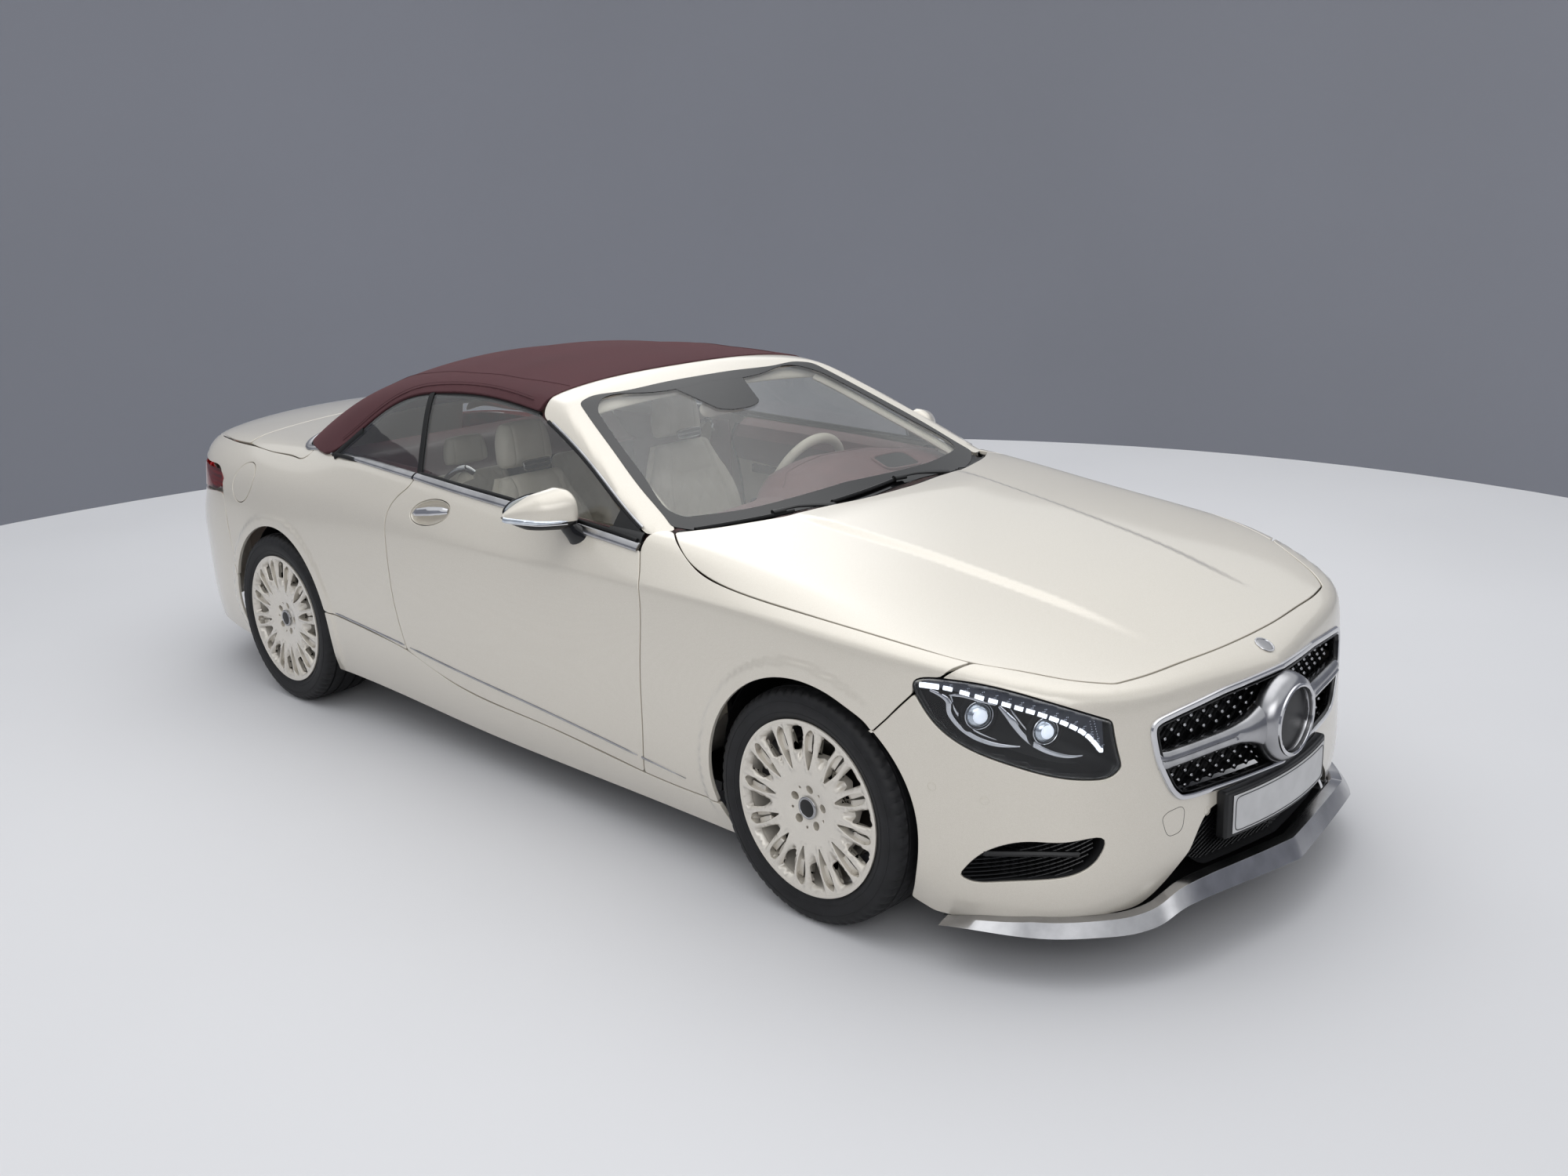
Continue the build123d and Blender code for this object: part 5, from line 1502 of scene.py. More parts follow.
def wheelPockets():
    # closed floors behind the petals, and the hub behind the face
    parts = []
    for k in range(wheelSettings["petals"]):
        loop = petalLoop(2 * np.pi * k / wheelSettings["petals"], 2.5)
        n = len(loop)
        x = wheelSettings["half"] - 34
        top = np.concatenate([np.full((n, 1), x), loop], 1)
        low = np.concatenate([np.full((n, 1), x - 4), loop], 1)
        faces = [list(range(n)), list(range(n, 2 * n))[::-1]]
        faces += [[i, i + n, (i + 1) % n + n, (i + 1) % n] for i in range(n)]
        parts.append((np.concatenate([top, low]), faces))
    hub = lathe([(wheelSettings["half"] - 34, 0.1), (wheelSettings["half"] - 34, 84), (10, 84), (10, 0.1)],
                48, False)
    parts.append(hub)
    return merge(parts)


def wheelCap():
    # plain centre cap with a bright ring
    w = wheelSettings["half"]
    disc = lathe([(w - 14, 33.5), (w - 9, 33.5), (w - 7.4, 32), (w - 6.6, 29), (w - 7.4, 26.5),
                  (w - 8.2, 26)], 48, False)
    dome = lathe([(w - 8.2, 26.2), (w - 7.4, 20), (w - 6.8, 10), (w - 6.6, 0.01)], 48, False)
    return disc, dome


def tyreShape():
    # outline (x, radius) from bead to bead; ribs and shoulder slots are pressed into the tread by angle
    half = [(104, 254), (112, 263), (119.5, 277), (123.6, 296), (124, 306), (121.6, 321), (118.5, 331),
            (112, 340),
            (101, 345.8), (86, 348.6), (83.6, 348.8), (82.6, 342), (75.4, 342), (74.4, 349.2), (45, 349.8),
            (34.6, 349.9),
            (33.6, 342.6), (24.4, 342.6), (23.4, 350)]
    section = np.array(half + [(-x, r) for x, r in half[::-1]], float)
    turns = 256
    a = np.linspace(0, 2 * np.pi, turns, endpoint=False)[:, None]
    pitches = 64
    x, r = section[None, :, 0], section[None, :, 1]
    shoulder = (np.abs(x) > 84) & (np.abs(x) < 120) & (r > 326)
    phase = (a * pitches / (2 * np.pi) + 0.004 * np.abs(x) * np.sign(x)) % 1
    slot = np.where(phase < 0.25, 1.0, 0.0)
    deep = 5.0 * slot * shoulder * np.clip((r - 326) / 12, 0, 1)
    middle = (np.abs(x) < 70) & (np.abs(x) > 36)
    fine = np.where(((a * pitches / (2 * np.pi) + 0.006 * x) % 1) < 0.2, 1.0, 0.0) * middle * 2.0
    reach = r - deep - fine
    points = np.stack([x + 0 * a, reach * np.cos(a), reach * np.sin(a)], -1)
    # inner lining closes the section
    lining = np.array([(-98, 256), (-104, 300), (-70, 336), (70, 336), (104, 300), (98, 256)], float)
    ring = np.stack([lining[None, :, 0] + 0 * a, lining[None, :, 1] * np.cos(a),
                     lining[None, :, 1] * np.sin(a)], -1)
    full = np.concatenate([points, ring[:, :]], 1)
    return full.reshape(-1, 3), gridFaces(turns, full.shape[1], True, True)


def sidewallRings():
    # thin raised bands on the outer side wall
    parts = []
    for low, high, count in ((282.0, 284.5, 112), (313.0, 315.0, 112)):
        x = np.interp((low + high) / 2, (270, 286, 296, 306, 315), (116, 122, 123.6, 124, 123))
        parts.append(lathe([(x - 1.5, low - 1), (x + 0.7, low), (x + 0.7, high), (x - 1.5, high + 1)],
                           count))
    return merge(parts)


def brakeDisc():
    ring = lathe([(36, 96), (36, 182), (30, 184), (8, 184), (2, 182), (2, 96)], 96)
    bell = lathe([(36, 96), (52, 92), (56, 84), (56, 60), (0, 60), (0, 96)], 64)
    return merge([ring, bell])


def turnedFor(part, side, axle, spin=0.0):
    points, faces = part[0], part[1]
    c, s = math.cos(spin), math.sin(spin)
    p = np.asarray(points, float)
    p = np.stack([p[:, 0], p[:, 1] * c - p[:, 2] * s, p[:, 1] * s + p[:, 2] * c], -1)
    p = p + (812.0, 0, 350.0)
    faces = faces.tolist() if isinstance(faces, np.ndarray) else faces
    if side < 0:
        p = p * (-1, 1, 1)
        faces = [f[::-1] for f in faces]
    return p + (0, axle, 0), faces


def makeWheels():
    facePoints, faceFaces, corner = wheelFace()
    barrel, pockets, tyre = wheelBarrel(), wheelPockets(), tyreShape()
    rings, disc = sidewallRings(), brakeDisc()
    capRing, capDome = wheelCap()
    for name, side, axle in wheelPlaces:
        body = f"{name}_wheel"
        spin = 0.12 if axle < 0 else 0.31
        points, faces = turnedFor((facePoints, faceFaces), 1, 0, spin)
        c, s = math.cos(spin), math.sin(spin)
        turned = np.stack([corner[:, 0], corner[:, 1] * c - corner[:, 2] * s,
                           corner[:, 1] * s + corner[:, 2] * c], -1)
        plate(f"rimFace_{name}", body, f"wheel_{name}", (points + (0, axle, 0), faces, turned), side,
              wheelPaint, "wheel_paint")
        for kind, part, material, slot in (("rimBarrel", barrel, wheelPaint, "wheel_paint"),
                                           ("rimPockets", pockets, rimShadow, "wheel_paint"),
                                           ("capRing", capRing, satinChrome, "satin_trim"),
                                           ("capDome", capDome, blackSatin, "black_plastic"),
                                           ("brakeDisc", disc, discMetal, "cast_metal")):
            addPiece(f"{kind}_{name}", *turnedFor(part, side, axle, spin), body, material, slot)
        addPiece(f"tyreTread_{name}", *turnedFor(tyre, side, axle), body, tyreRubber, "tyre_rubber",
                 (f"tyre_{name}",), sharp=50)
        addPiece(f"tyreBands_{name}", *turnedFor(rings, side, axle), body, tyreRubber, "tyre_rubber")


rimShadow = mottled("rimShadow", (150, 145, 134), (170, 165, 154), 20.0, (0.35, 0.45), metallic=0.3)
makeWheels()
stage("wheels")

# Nose: lamps, grille, intakes, splitter and blank plate.
lampLoop = [lampTopEdge, lampInner, lampLower, lampRear[::-1]]


def lampUv(t, v):
    # place inside the lamp: t from its rear tip (0) to its inner end (1), v from the foot (0) to the top (1)
    top = run([(893, -1922, 800), (878, -1970, 815), (833, -2083, 811), (759, -2221, 780),
               (634, -2350, 716)], 61)
    foot = run([(893, -1930, 768), (853, -2049, 643), (805, -2160, 605), (743, -2261, 578),
                (682, -2325, 569), (618, -2364, 582)], 61)
    k = np.linspace(0, 1, 61)
    a = np.stack([np.interp(t, k, top[:, q]) for q in range(3)], -1)
    b = np.stack([np.interp(t, k, foot[:, q]) for q in range(3)], -1)
    p = b + (a - b) * np.asarray(v, float)[..., None]
    return noseChart.lift(noseChart.flatten(p))


def lampPoint(t, v, depth):
    t, v = np.broadcast_arrays(np.asarray(t, float), np.asarray(v, float))
    p = lampUv(t, v)
    return p - np.asarray(depth, float)[..., None] * outward(lowerBody,
            p) if np.ndim(depth) else p - depth * outward(lowerBody, p)


def bowlRows(loop, normal, steps):
    # rings of a bowl: each step is (depth, shrink towards the middle)
    middle = loop.mean(0)
    return [loop + shrink * (middle - loop) - depth * normal for depth, shrink in steps]


def bowl(loop, steps, field=lowerBody):
    normal = outward(field, loop)
    rows = bowlRows(loop, normal, steps)
    n = len(loop)
    last = rows[-1]
    points = np.concatenate(rows + [last.mean(0)[None]])
    faces = gridFaces(len(rows), n, False, True).tolist()
    base = (len(rows) - 1) * n
    faces += [[base + i, base + (i + 1) % n, len(points) - 1] for i in range(n)]
    return points, faces


def thick(piece, amount, offset=-1):
    wall = piece.modifiers.new("wall", "SOLIDIFY")
    wall.thickness = amount * 0.001
    wall.offset = offset
    return piece


def dome(centre, axis, radius, depth, rings=6, count=28, flat=0.0):
    # shallow round cap facing along axis: radius * sin and depth * cos of the same angle, closed behind
    axis = unit(np.asarray(axis, float))
    side = unit(np.cross(axis, (0, 0, 1.0)))
    up = np.cross(side, axis)
    a = np.linspace(0, np.pi / 2, rings + 1)[:-1]
    t = np.linspace(0, 2 * np.pi, count, endpoint=False)
    reach = radius * np.cos(a)[:, None, None]
    high = depth * np.sin(a)[:, None, None]
    ring = np.cos(t)[None, :, None] * side + np.sin(t)[None, :, None] * up
    p = centre + reach * ring + high * axis
    back = p[0] - axis * max(flat, 0.5)
    points = np.concatenate([back, p.reshape(-1, 3), (centre + depth * axis)[None],
                             (centre - axis * max(flat, 0.5))[None]])
    faces = gridFaces(rings + 1, count, False, True).tolist()
    tip = len(points) - 2
    base = rings * count
    faces += [[base + i, base + (i + 1) % count, tip] for i in range(count)]
    faces += [[(i + 1) % count, i, tip + 1] for i in range(count)]
    return points, faces


def ringRound(centre, axis, radius, width, height, count=40, start=0.0, span=2 * np.pi):
    axis = unit(np.asarray(axis, float))
    side = unit(np.cross(axis, (0, 0, 1.0)))
    up = np.cross(side, axis)
    full = span > 6.28
    t = start + np.linspace(0, span, count, endpoint=not full)
    path = centre + radius * (np.cos(t)[:, None] * side + np.sin(t)[:, None] * up)
    return sweep(path, ringProfile(width, height, 8), axis, full)


def makeHeadlamps():
    loop = outline(noseChart, *lampLoop, pace=7.0)
    lens = plateMesh(lowerBody, noseChart, loop, (), pitch=16, gap=0.8, radius=2.0, depth=2.5, flange=1.0)
    points, faces, corner = lens
    for side, name in ((1, "left"), (-1, "right")):
        plate(f"lampLens_{name}", "chassis", "headlamps", (points, faces, corner), side, lampGlass,
              "lamp_glass")
    # black edge printed inside the lens, and the dark bowl behind it
    edgeHole = plateMesh(lowerBody, noseChart, loop, [outline(noseChart, *shrunkLamp(0.045), pace=7.0)],
                         pitch=16, gap=1.5, radius=0.5,
                         depth=1.0, flange=0.2, lift=-4.0)
    bowlPart = bowl(loop, [(2.5, 0.0), (30, 0.03), (62, 0.14), (66, 0.5)])
    for side, name in ((1, "left"), (-1, "right")):
        plate(f"lampEdge_{name}", "chassis", None, edgeHole, side, blackGloss, "black_plastic")
        part = bowlPart if side > 0 else flipped(bowlPart)
        thick(addPiece(f"lampBowl_{name}", *part, "chassis", lampShade, "black_plastic"), 2, 1)
    parts = dict(light=[], chrome=[], dark=[], eye=[], crystal=[], ledge=[], core=[])
    # bright segments: one long, then fifteen that follow the top edge and turn down at the inner end
    t = np.array([0.071, 0.176, 0.264, 0.338, 0.405, 0.469, 0.53, 0.586, 0.645, 0.702, 0.752, 0.798, 0.840,
                  0.876, 0.905, 0.928])
    v = np.array([0.755, 0.79, 0.80, 0.805, 0.805, 0.805, 0.80, 0.80, 0.795, 0.785, 0.77, 0.745, 0.71,
                  0.645, 0.55, 0.44])
    wide = np.array([0.056, 0.024, 0.024, 0.022, 0.022, 0.022, 0.021, 0.021, 0.022, 0.022, 0.018, 0.017,
                     0.015, 0.013, 0.012, 0.011])
    for k, (a, b, half) in enumerate(zip(t, v, wide)):
        ends = lampPoint(np.linspace(a - half, a + half, 5),
                         np.interp(np.linspace(a - half, a + half, 5), t, v), 11.0)
        parts["light"].append(sweep(ends, ringProfile(15 if k == 0 else 12, 8, 8),
                                    outward(lowerBody, ends)))
    # ledge above the segments with rows of small crystal marks
    u = np.linspace(0.03, 0.95, 40)
    top = lampPoint(u, np.full(40, 0.97), 8.0)
    low = lampPoint(u, np.interp(u, t, v - 0.03), 17.0)
    w = np.linspace(0, 1, 5)[None, :, None]
    ledge = top[:, None] * (1 - w) + low[:, None] * w
    parts["ledge"].append(gridShell(ledge, ledge - 2 * outward(lowerBody, ledge)))
    for k in range(1, 16):
        for da, db in ((0.004, 0.055), (0.012, 0.062), (0.012, 0.09), (0.02, 0.10)):
            p = lampPoint(np.array([t[k] + da]), np.array([v[k] + db]), 10.0)[0]
            parts["crystal"].append(dome(p, outward(lowerBody, p[None])[0], 2.0, 1.6, 2, 6))
    for k in range(12):
        for row in (0, 1):
            p = lampPoint(np.array([0.885 + 0.022 * row + 0.002 * k]),
                          np.array([0.90 - 0.04 * k + 0.02 * row]), 10.0)[0]
            parts["crystal"].append(dome(p, outward(lowerBody, p[None])[0], 2.0, 1.6, 2, 6))
    # two projector eyes, each with a bright core, in a dark well with a chrome sweep round it
    for a, b, size in ((0.335, 0.50, 33), (0.655, 0.56, 31)):
        p = lampPoint(np.array([a]), np.array([b]), 32.0)[0]
        way = unit(outward(lowerBody, p[None])[0] + (0, -0.9, 0.05))
        parts["eye"].append(dome(p + 6 * way, way, size, 18, 8, 36, 6))
        parts["core"].append(dome(p + 17 * way, way, 0.62 * size, 12, 6, 24, 3))
        parts["chrome"].append(ringRound(p + 8 * way, way, size + 4, 4, 8, 44))
        parts["dark"].append(ringRound(p + 2 * way, way, size + 13, 14, 6, 44))
    sweeps = (([(0.075, 0.60), (0.15, 0.58), (0.20, 0.34), (0.31, 0.19), (0.43, 0.19), (0.55, 0.27)], 14,
               19),
              ([(0.19, 0.66), (0.225, 0.42), (0.33, 0.27), (0.44, 0.25)], 20, 9),
              ([(0.185, 0.66), (0.26, 0.735), (0.34, 0.745), (0.42, 0.75)], 15, 9),
              ([(0.435, 0.75), (0.50, 0.60), (0.57, 0.42), (0.67, 0.31), (0.76, 0.30), (0.84, 0.35)], 14,
               20),
              ([(0.49, 0.74), (0.545, 0.58), (0.60, 0.45)], 22, 8))
    for knots, depth, tall in sweeps:
        q = run(knots, 37)
        path = lampPoint(q[:, 0], q[:, 1], float(depth))
        size = np.interp(np.linspace(0, 1, 37), (0, 0.25, 0.6, 0.85, 1), (0.35, 1, 0.8, 0.55, 0.15))[:,
                None, None]
        section = ringProfile(tall, 0.5 * tall, 8)[None] * size
        parts["chrome"].append(sweep(path, section, outward(lowerBody, path)))
    for kind, material, slot in (("light", lampLight, "lamp_glass"), ("chrome", chrome, "satin_trim"),
                                 ("dark", lampShade, "black_plastic"),
                                 ("eye", lampEye, "lamp_glass"), ("core", lampCore, "lamp_glass"),
                                 ("crystal", lampCrystal, "lamp_glass"),
                                 ("ledge", lampLedge, "black_plastic")):
        one = merge(parts[kind])
        addPair(f"lamp{kind.capitalize()}", one, onChassis, material, slot)


def shrunkLamp(amount):
    loop = np.concatenate([np.array(c, float)[:-1] for c in lampLoop])
    middle = loop.mean(0)
    p = loop + amount * (middle - loop)
    ends = np.cumsum([len(c) - 1 for c in lampLoop])
    p = np.concatenate([p, p[:1]])
    return [p[0 if k == 0 else ends[k - 1]:ends[k] + 1] for k in range(len(lampLoop))]


lampShade = mottled("lampShade", (4, 5, 8), (9, 10, 14), 25.0, (0.34, 0.46), specular=0.12)
lampLedge = mottled("lampLedge", (44, 46, 55), (58, 60, 70), 25.0, (0.3, 0.4), specular=0.3)
lampEye = mottled("lampEye", (196, 204, 214), (228, 234, 240), 60.0, (0.04, 0.08), metallic=0.85)
lampCrystal = mottled("lampCrystal", (170, 176, 188), (214, 220, 230), 200.0, (0.08, 0.12), metallic=0.8)


def glowMaterial(name, tone, strength):
    m, tree, shader, where = nodeMaterial(name)
    cloud = noise(tree, where, 60.0)
    tree.links.new(ramp(tree, cloud, colour(*[0.94 * c for c in tone]), colour(*tone)),
                   shader.inputs["Base Color"])
    tree.links.new(ramp(tree, cloud, colour(*[0.97 * c for c in tone]), colour(*tone)),
                   shader.inputs["Emission Color"])
    shader.inputs["Emission Strength"].default_value = strength
    shader.inputs["Roughness"].default_value = 0.2
    return m


lampLight = glowMaterial("lampLight", (244, 248, 255), 1.1)
lampCore = glowMaterial("lampCore", (232, 238, 248), 0.55)


def grilleLoop(grow):
    # grille edge moved along the nose by grow, outward when positive
    p = np.array(grilleHalf, float)
    p = bothSides(p)[:-1]
    p = softened(evenly(p, 9.0, True), 3)
    along = unit(np.roll(p, -1, 0) - np.roll(p, 1, 0))
    out = np.stack([-along[:, 1], along[:, 0]], -1)
    if ((p - p.mean(0)) * out).sum() < 0:
        out = -out
    p = p + grow * out
    return fromFront(lowerBody, p[:, 0], p[:, 1])


def makeGrille():
    edge = grilleLoop(-6)
    way = outward(lowerBody, edge)
    frameRing = sweep(edge + 3 * way, [(-10, -22), (-10, 0), (-7, 4.5), (0, 6), (6, 3.5), (9, -3),
                                       (9, -22)], way, True)
    innerEdge = grilleLoop(-20)
    innerRing = sweep(innerEdge - 6 * outward(lowerBody, innerEdge), ringProfile(8, 26, 8),
                      outward(lowerBody, innerEdge), True)
    addPiece("grilleFrame", *frameRing, "chassis", chrome, "satin_trim", ("radiator_grille",))
    addPiece("grilleInnerFrame", *innerRing, "chassis", blackGloss, "grille_black")
    # mesh: a dark sheet with diamond bars and a bright dot on each crossing
    outer = grilleLoop(-12)
    chart = Chart(lowerBody, lambda p: p[..., [0, 2]].copy(), lambda u,
                  v: (np.stack([u, 0 * u - 1400, v], -1), np.array((0, -1.0, 0))))
    sheet = plateMesh(lowerBody, chart, outer, (), pitch=24, gap=2, radius=1, depth=6, flange=4, lift=-52)
    plate("grilleSheet", "chassis", None, sheet, 0, grilleMesh, "grille_black")
    flat = outer[:, [0, 2]]
    pitch = (25.0, 21.0)
    bars = []
    dots = []
    for k in range(-38, 39):
        for way in (1, -1):
            x = np.linspace(-540, 540, 433)
            z = 585 + way * (x - k * 2 * pitch[0]) * pitch[1] / pitch[0]
            ok = inside(np.stack([x, z], -1), flat) & (z > 430) & (z < 740)
            if ok.sum() < 6:
                continue
            cut = np.flatnonzero(np.diff(np.concatenate([[0], ok.astype(int), [0]])))
            for a, b in zip(cut[::2], cut[1::2]):
                if b - a < 6:
                    continue
                p = fromFront(lowerBody, x[a:b:4], z[a:b:4]) + (0, 44, 0)
                if len(p) > 1:
                    bars.append(sweep(p, ringProfile(3.0, 9, 6), (0, -1, 0)))
    i, j = np.meshgrid(np.arange(-22, 23), np.arange(-8, 9))
    x = (i * pitch[0]).ravel()
    z = 585 + (j * pitch[1]).ravel()
    even = ((i + j) % 2 == 0).ravel()
    x, z = x[even], z[even]
    clear = (np.abs(z - 585) > 34) | (np.abs(x) > 505)
    ok = inside(np.stack([x, z], -1), grilleLoop(-24)[:, [0, 2]]) & clear & (np.hypot(x, (z - 585)) > 122)
    for p in fromFront(lowerBody, x[ok], z[ok]) + (0, 26, 0):
        dots.append(dome(p, (0, -1.0, 0.25), 6.2, 4.6, 3, 10, 3))
    addPiece("grilleBars", *merge(bars), "chassis", blackMatt, "grille_black")
    addPiece("grilleDots", *merge(dots), "chassis", satinChrome, "satin_trim")


def makeGrilleBar():
    # twin sweep bar: a blade that widens into the ring housing
    xs = np.linspace(88, 506, 49)
    u = (xs - 88) / 418
    half = 27 + 46 * np.exp(-((xs - 88) / 62)**1.35)
    middle = 585 - 4 * u
    a = np.linspace(0, 2 * np.pi, 29)[:-1]
    # blunt wedge section: round in front, flat behind
    z = middle[:, None] + half[:, None] * np.sin(a)[None]
    out = 26 * np.clip(np.cos(a), 0, 1)[None]**0.8 - 22 * np.clip(-np.cos(a), 0, 1)[None]
    lift = np.interp(xs, (88, 130, 200, 500), (30, 22, 10, 4))[:, None] * np.clip(np.cos(a), 0,
            1)[None]**0.5
    base = fromFront(lowerBody, np.broadcast_to(xs[:, None], z.shape), z)
    p = base + np.stack([0 * z, -(out * np.interp(xs, (88, 480, 506), (1, 1, 0.5))[:, None] + lift) + 14,
                         0 * z], -1)
    # groove along the middle of the blade
    groove = 7 * np.exp(-((z - middle[:, None]) / 4.0)**2) * (np.cos(a) > 0)[None] * np.interp(xs,
            (88, 200, 240), (0, 0, 1))[:, None]
    p[..., 1] += groove
    rows, columns = p.shape[:2]
    faces = gridFaces(rows, columns, False, True).tolist()
    faces += [list(range(columns))[::-1], [(rows - 1) * columns + k for k in range(columns)]]
    wing = (p.reshape(-1, 3), faces)
    piece = addPiece("grilleBlade", *merge([wing, flipped(wing)]), "chassis", satinChrome, "satin_trim")
    faceOut(piece)
    y = -2535.0
    housing = lathe([(0, 93), (6, 93), (16, 97), (22, 104), (14, 118), (-4, 126), (-24, 130), (-44, 130),
                     (-44, 93)], 72)
    ring = lathe([(22, 91.5), (27, 93), (29, 98), (27, 103), (20, 104), (14, 100), (14, 92)], 72)
    plateDisc = lathe([(0, 93), (4, 92), (6, 60), (7, 0.01), (-6, 0.01), (-6, 93)], 72, False)
    for name, part, material, slot in (("ringHousing", housing, satinChrome, "satin_trim"),
                                       ("ringEdge", ring, chrome, "satin_trim"),
                                       ("ringDisc", plateDisc, blackSatin, "grille_black")):
        p = part[0]
        placed = np.stack([p[:, 1], -p[:, 0] + y + 24, p[:, 2] + 583], -1)
        piece = addPiece(name, placed, part[1], "chassis", material, slot)
        faceOut(piece)


def meshPanel(loop, depth, pitch):
    # honeycomb-like bars behind an opening in the nose
    flat = loop[:, [0, 2]]
    low, high = flat.min(0), flat.max(0)
    bars = []
    for way in (1, -1):
        slope = 0.55 * way
        for c in np.arange(low[1] - 400, high[1] + 400, pitch):
            x = np.arange(low[0], high[0], 10.0)
            z = c + slope * x
            ok = inside(np.stack([x, z], -1), flat)
            cut = np.flatnonzero(np.diff(np.concatenate([[0], ok.astype(int), [0]])))
            for a, b in zip(cut[::2], cut[1::2]):
                if b - a > 1:
                    p = fromFront(lowerBody, x[a:b], z[a:b]) + (0, depth, 0)
                    bars.append(sweep(p, ringProfile(3.4, 10, 5), (0, -1, 0)))
    return merge(bars)


def makeIntakes():
    centre = frontOutline(centreIntakeHalf)
    side = outline(noseChart, sideIntake + sideIntake[:1])
    wide = centre.mean(0) + (centre - centre.mean(0)) * 1.03
    bars = meshPanel(wide, 34, 15)
    addPiece("intakeBars", *bars, "chassis", grilleMesh, "grille_black")
    sideBars = meshPanel(side.mean(0) + (side - side.mean(0)) * 1.04, 30, 12)
    addPair("sideIntakeBars", sideBars, onChassis, grilleMesh, "grille_black")
    # dark tunnels behind the openings
    for name, loop in (("centre", centre), ("side", side)):
        part = bowl(loop, [(6, -0.02), (60, -0.01), (95, 0.1), (98, 0.5)])
        if name == "centre":
            thick(addPiece("centreIntakeTunnel", *part, "chassis", blackMatt, "black_plastic"), 2, 1)
        else:
            for piece in addPair("sideIntakeTunnel", part, onChassis, blackMatt, "black_plastic"):
                thick(piece, 2, 1)
    blade = [(822, -2120, 352), (796, -2184, 358), (740, -2266, 364), (690, -2320, 362)]
    path = noseChart.lift(noseChart.flatten(run(blade, 25))) + (0, 26, 0)
    fin = sweep(path, [(-7, -16), (-7, 10), (0, 14), (7, 10), (7, -16)], outward(lowerBody, path))
    addPair("intakeFin", fin, onChassis, blackSatin, "black_plastic")


def makeSplitter():
    # bright blade along the foot of the bumper, with a raised shield in the middle
    half = run([(840, -1985, 138), (826, -2045, 146), (744, -2232, 152), (650, -2330, 155),
                (565, -2388, 160), (505, -2416, 182),
                (459, -2436, 212), (400, -2452, 222), (300, -2470, 220), (150, -2492, 212),
                (0, -2512, 204)], 81)
    path = bothSides(half)
    s = np.abs(path[:, 0])
    ahead = np.gradient(path, axis=0)
    out = unit(np.stack([ahead[:, 1], -ahead[:, 0], 0 * s], -1))
    tall = np.interp(s, (0, 120, 330, 430, 520, 620, 760, 815, 840), (58, 54, 50, 46, 40, 37, 34, 18, 3))
    drop = np.interp(s, (0, 430, 560, 840), (-26, -26, -12, -3))
    tip = np.interp(s, (0, 300, 460, 700, 800, 840), (16, 14, 13, 15, 10, 0))
    shape = [(-34, 0.95), (-6, 1.0), (0, 0.9), (4, 0.55), (7, 0.2), (6, 0.0), (0, -0.12), (-40, -0.14),
             (-60, 0.0)]
    rows = []
    for a, b in shape:
        reach = a + tip * (1 - abs(b - 0.2)) * (a > -10)
        rows.append(path + out * reach[:, None] + np.stack([0 * s, 0 * s, b * tall + drop], -1))
    p = np.stack(rows, 1)
    n, m = p.shape[:2]
    faces = gridFaces(n, m, False, True).tolist() + [list(range(m))[::-1],
                                                     [(n - 1) * m + k for k in range(m)]]
    piece = addPiece("splitterBlade", p.reshape(-1, 3), faces, "chassis", satinChrome, "satin_trim",
                     ("front_splitter",))
    faceOut(piece)
    bevelled(piece, 2.0, 2, 30)
    # black under tray behind it, kept ahead of the turned wheels
    reach = np.minimum(190, -1935 - path[:, 1])
    tray = np.stack([path * (0.985, 1, 1) + (0, 24, -8) + np.stack([0 * s, 0 * s, drop], -1) * 0.5,
                     np.stack([path[:, 0] * 0.93, path[:, 1] + reach, path[:, 2] - 8], -1)], 1)
    low = tray - (0, 0, 6)
    piece = addPiece("splitterTray", *gridShell(tray, low), "chassis", blackSatin, "black_plastic")


def makePlate():
    # blank plate, bent to the nose, on its black carrier
    def bent(half, zLow, zHigh, lift, thickness, name, material, slot, width=2.0):
        xs = np.linspace(-half, half, 41)
        zs = np.linspace(zLow, zHigh, 7)
        x, z = np.meshgrid(xs, zs)
        y = -2500 + 58 * (x / 300)**2 * 0.62
        p = np.stack([x, y - lift, z], -1)
        return bevelled(addPiece(name, *gridShell(p, p + (0, thickness, 0)), "chassis", material, slot),
                        width, 3)

    bent(285, 308, 446, 22, 34, "plateCarrier", blackSatin, "black_plastic", 9.0)
    bent(260, 322, 432, 25.5, 3, "plateSheet", plateBlank, "satin_trim", 1.2)
    xs = np.linspace(-253, 253, 33)
    # pressed edge round the blank plate
    corner = [(-253, 328), (253, 328), (253, 426), (-253, 426)]
    p = softened(evenly(np.array(corner, float), 8.0, True), 4)
    y = -2500 + 58 * (p[:, 0] / 300)**2 * 0.62 - 26.2
    path = np.stack([p[:, 0], y, p[:, 1]], -1)
    addPiece("plateEdge", *sweep(path, ringProfile(3, 1.6, 6), (0, -1, 0), True), "chassis", plateRim,
             "black_plastic")


plateRim = mottled("plateRim", (40, 40, 42), (56, 56, 58), 40.0, (0.35, 0.45))


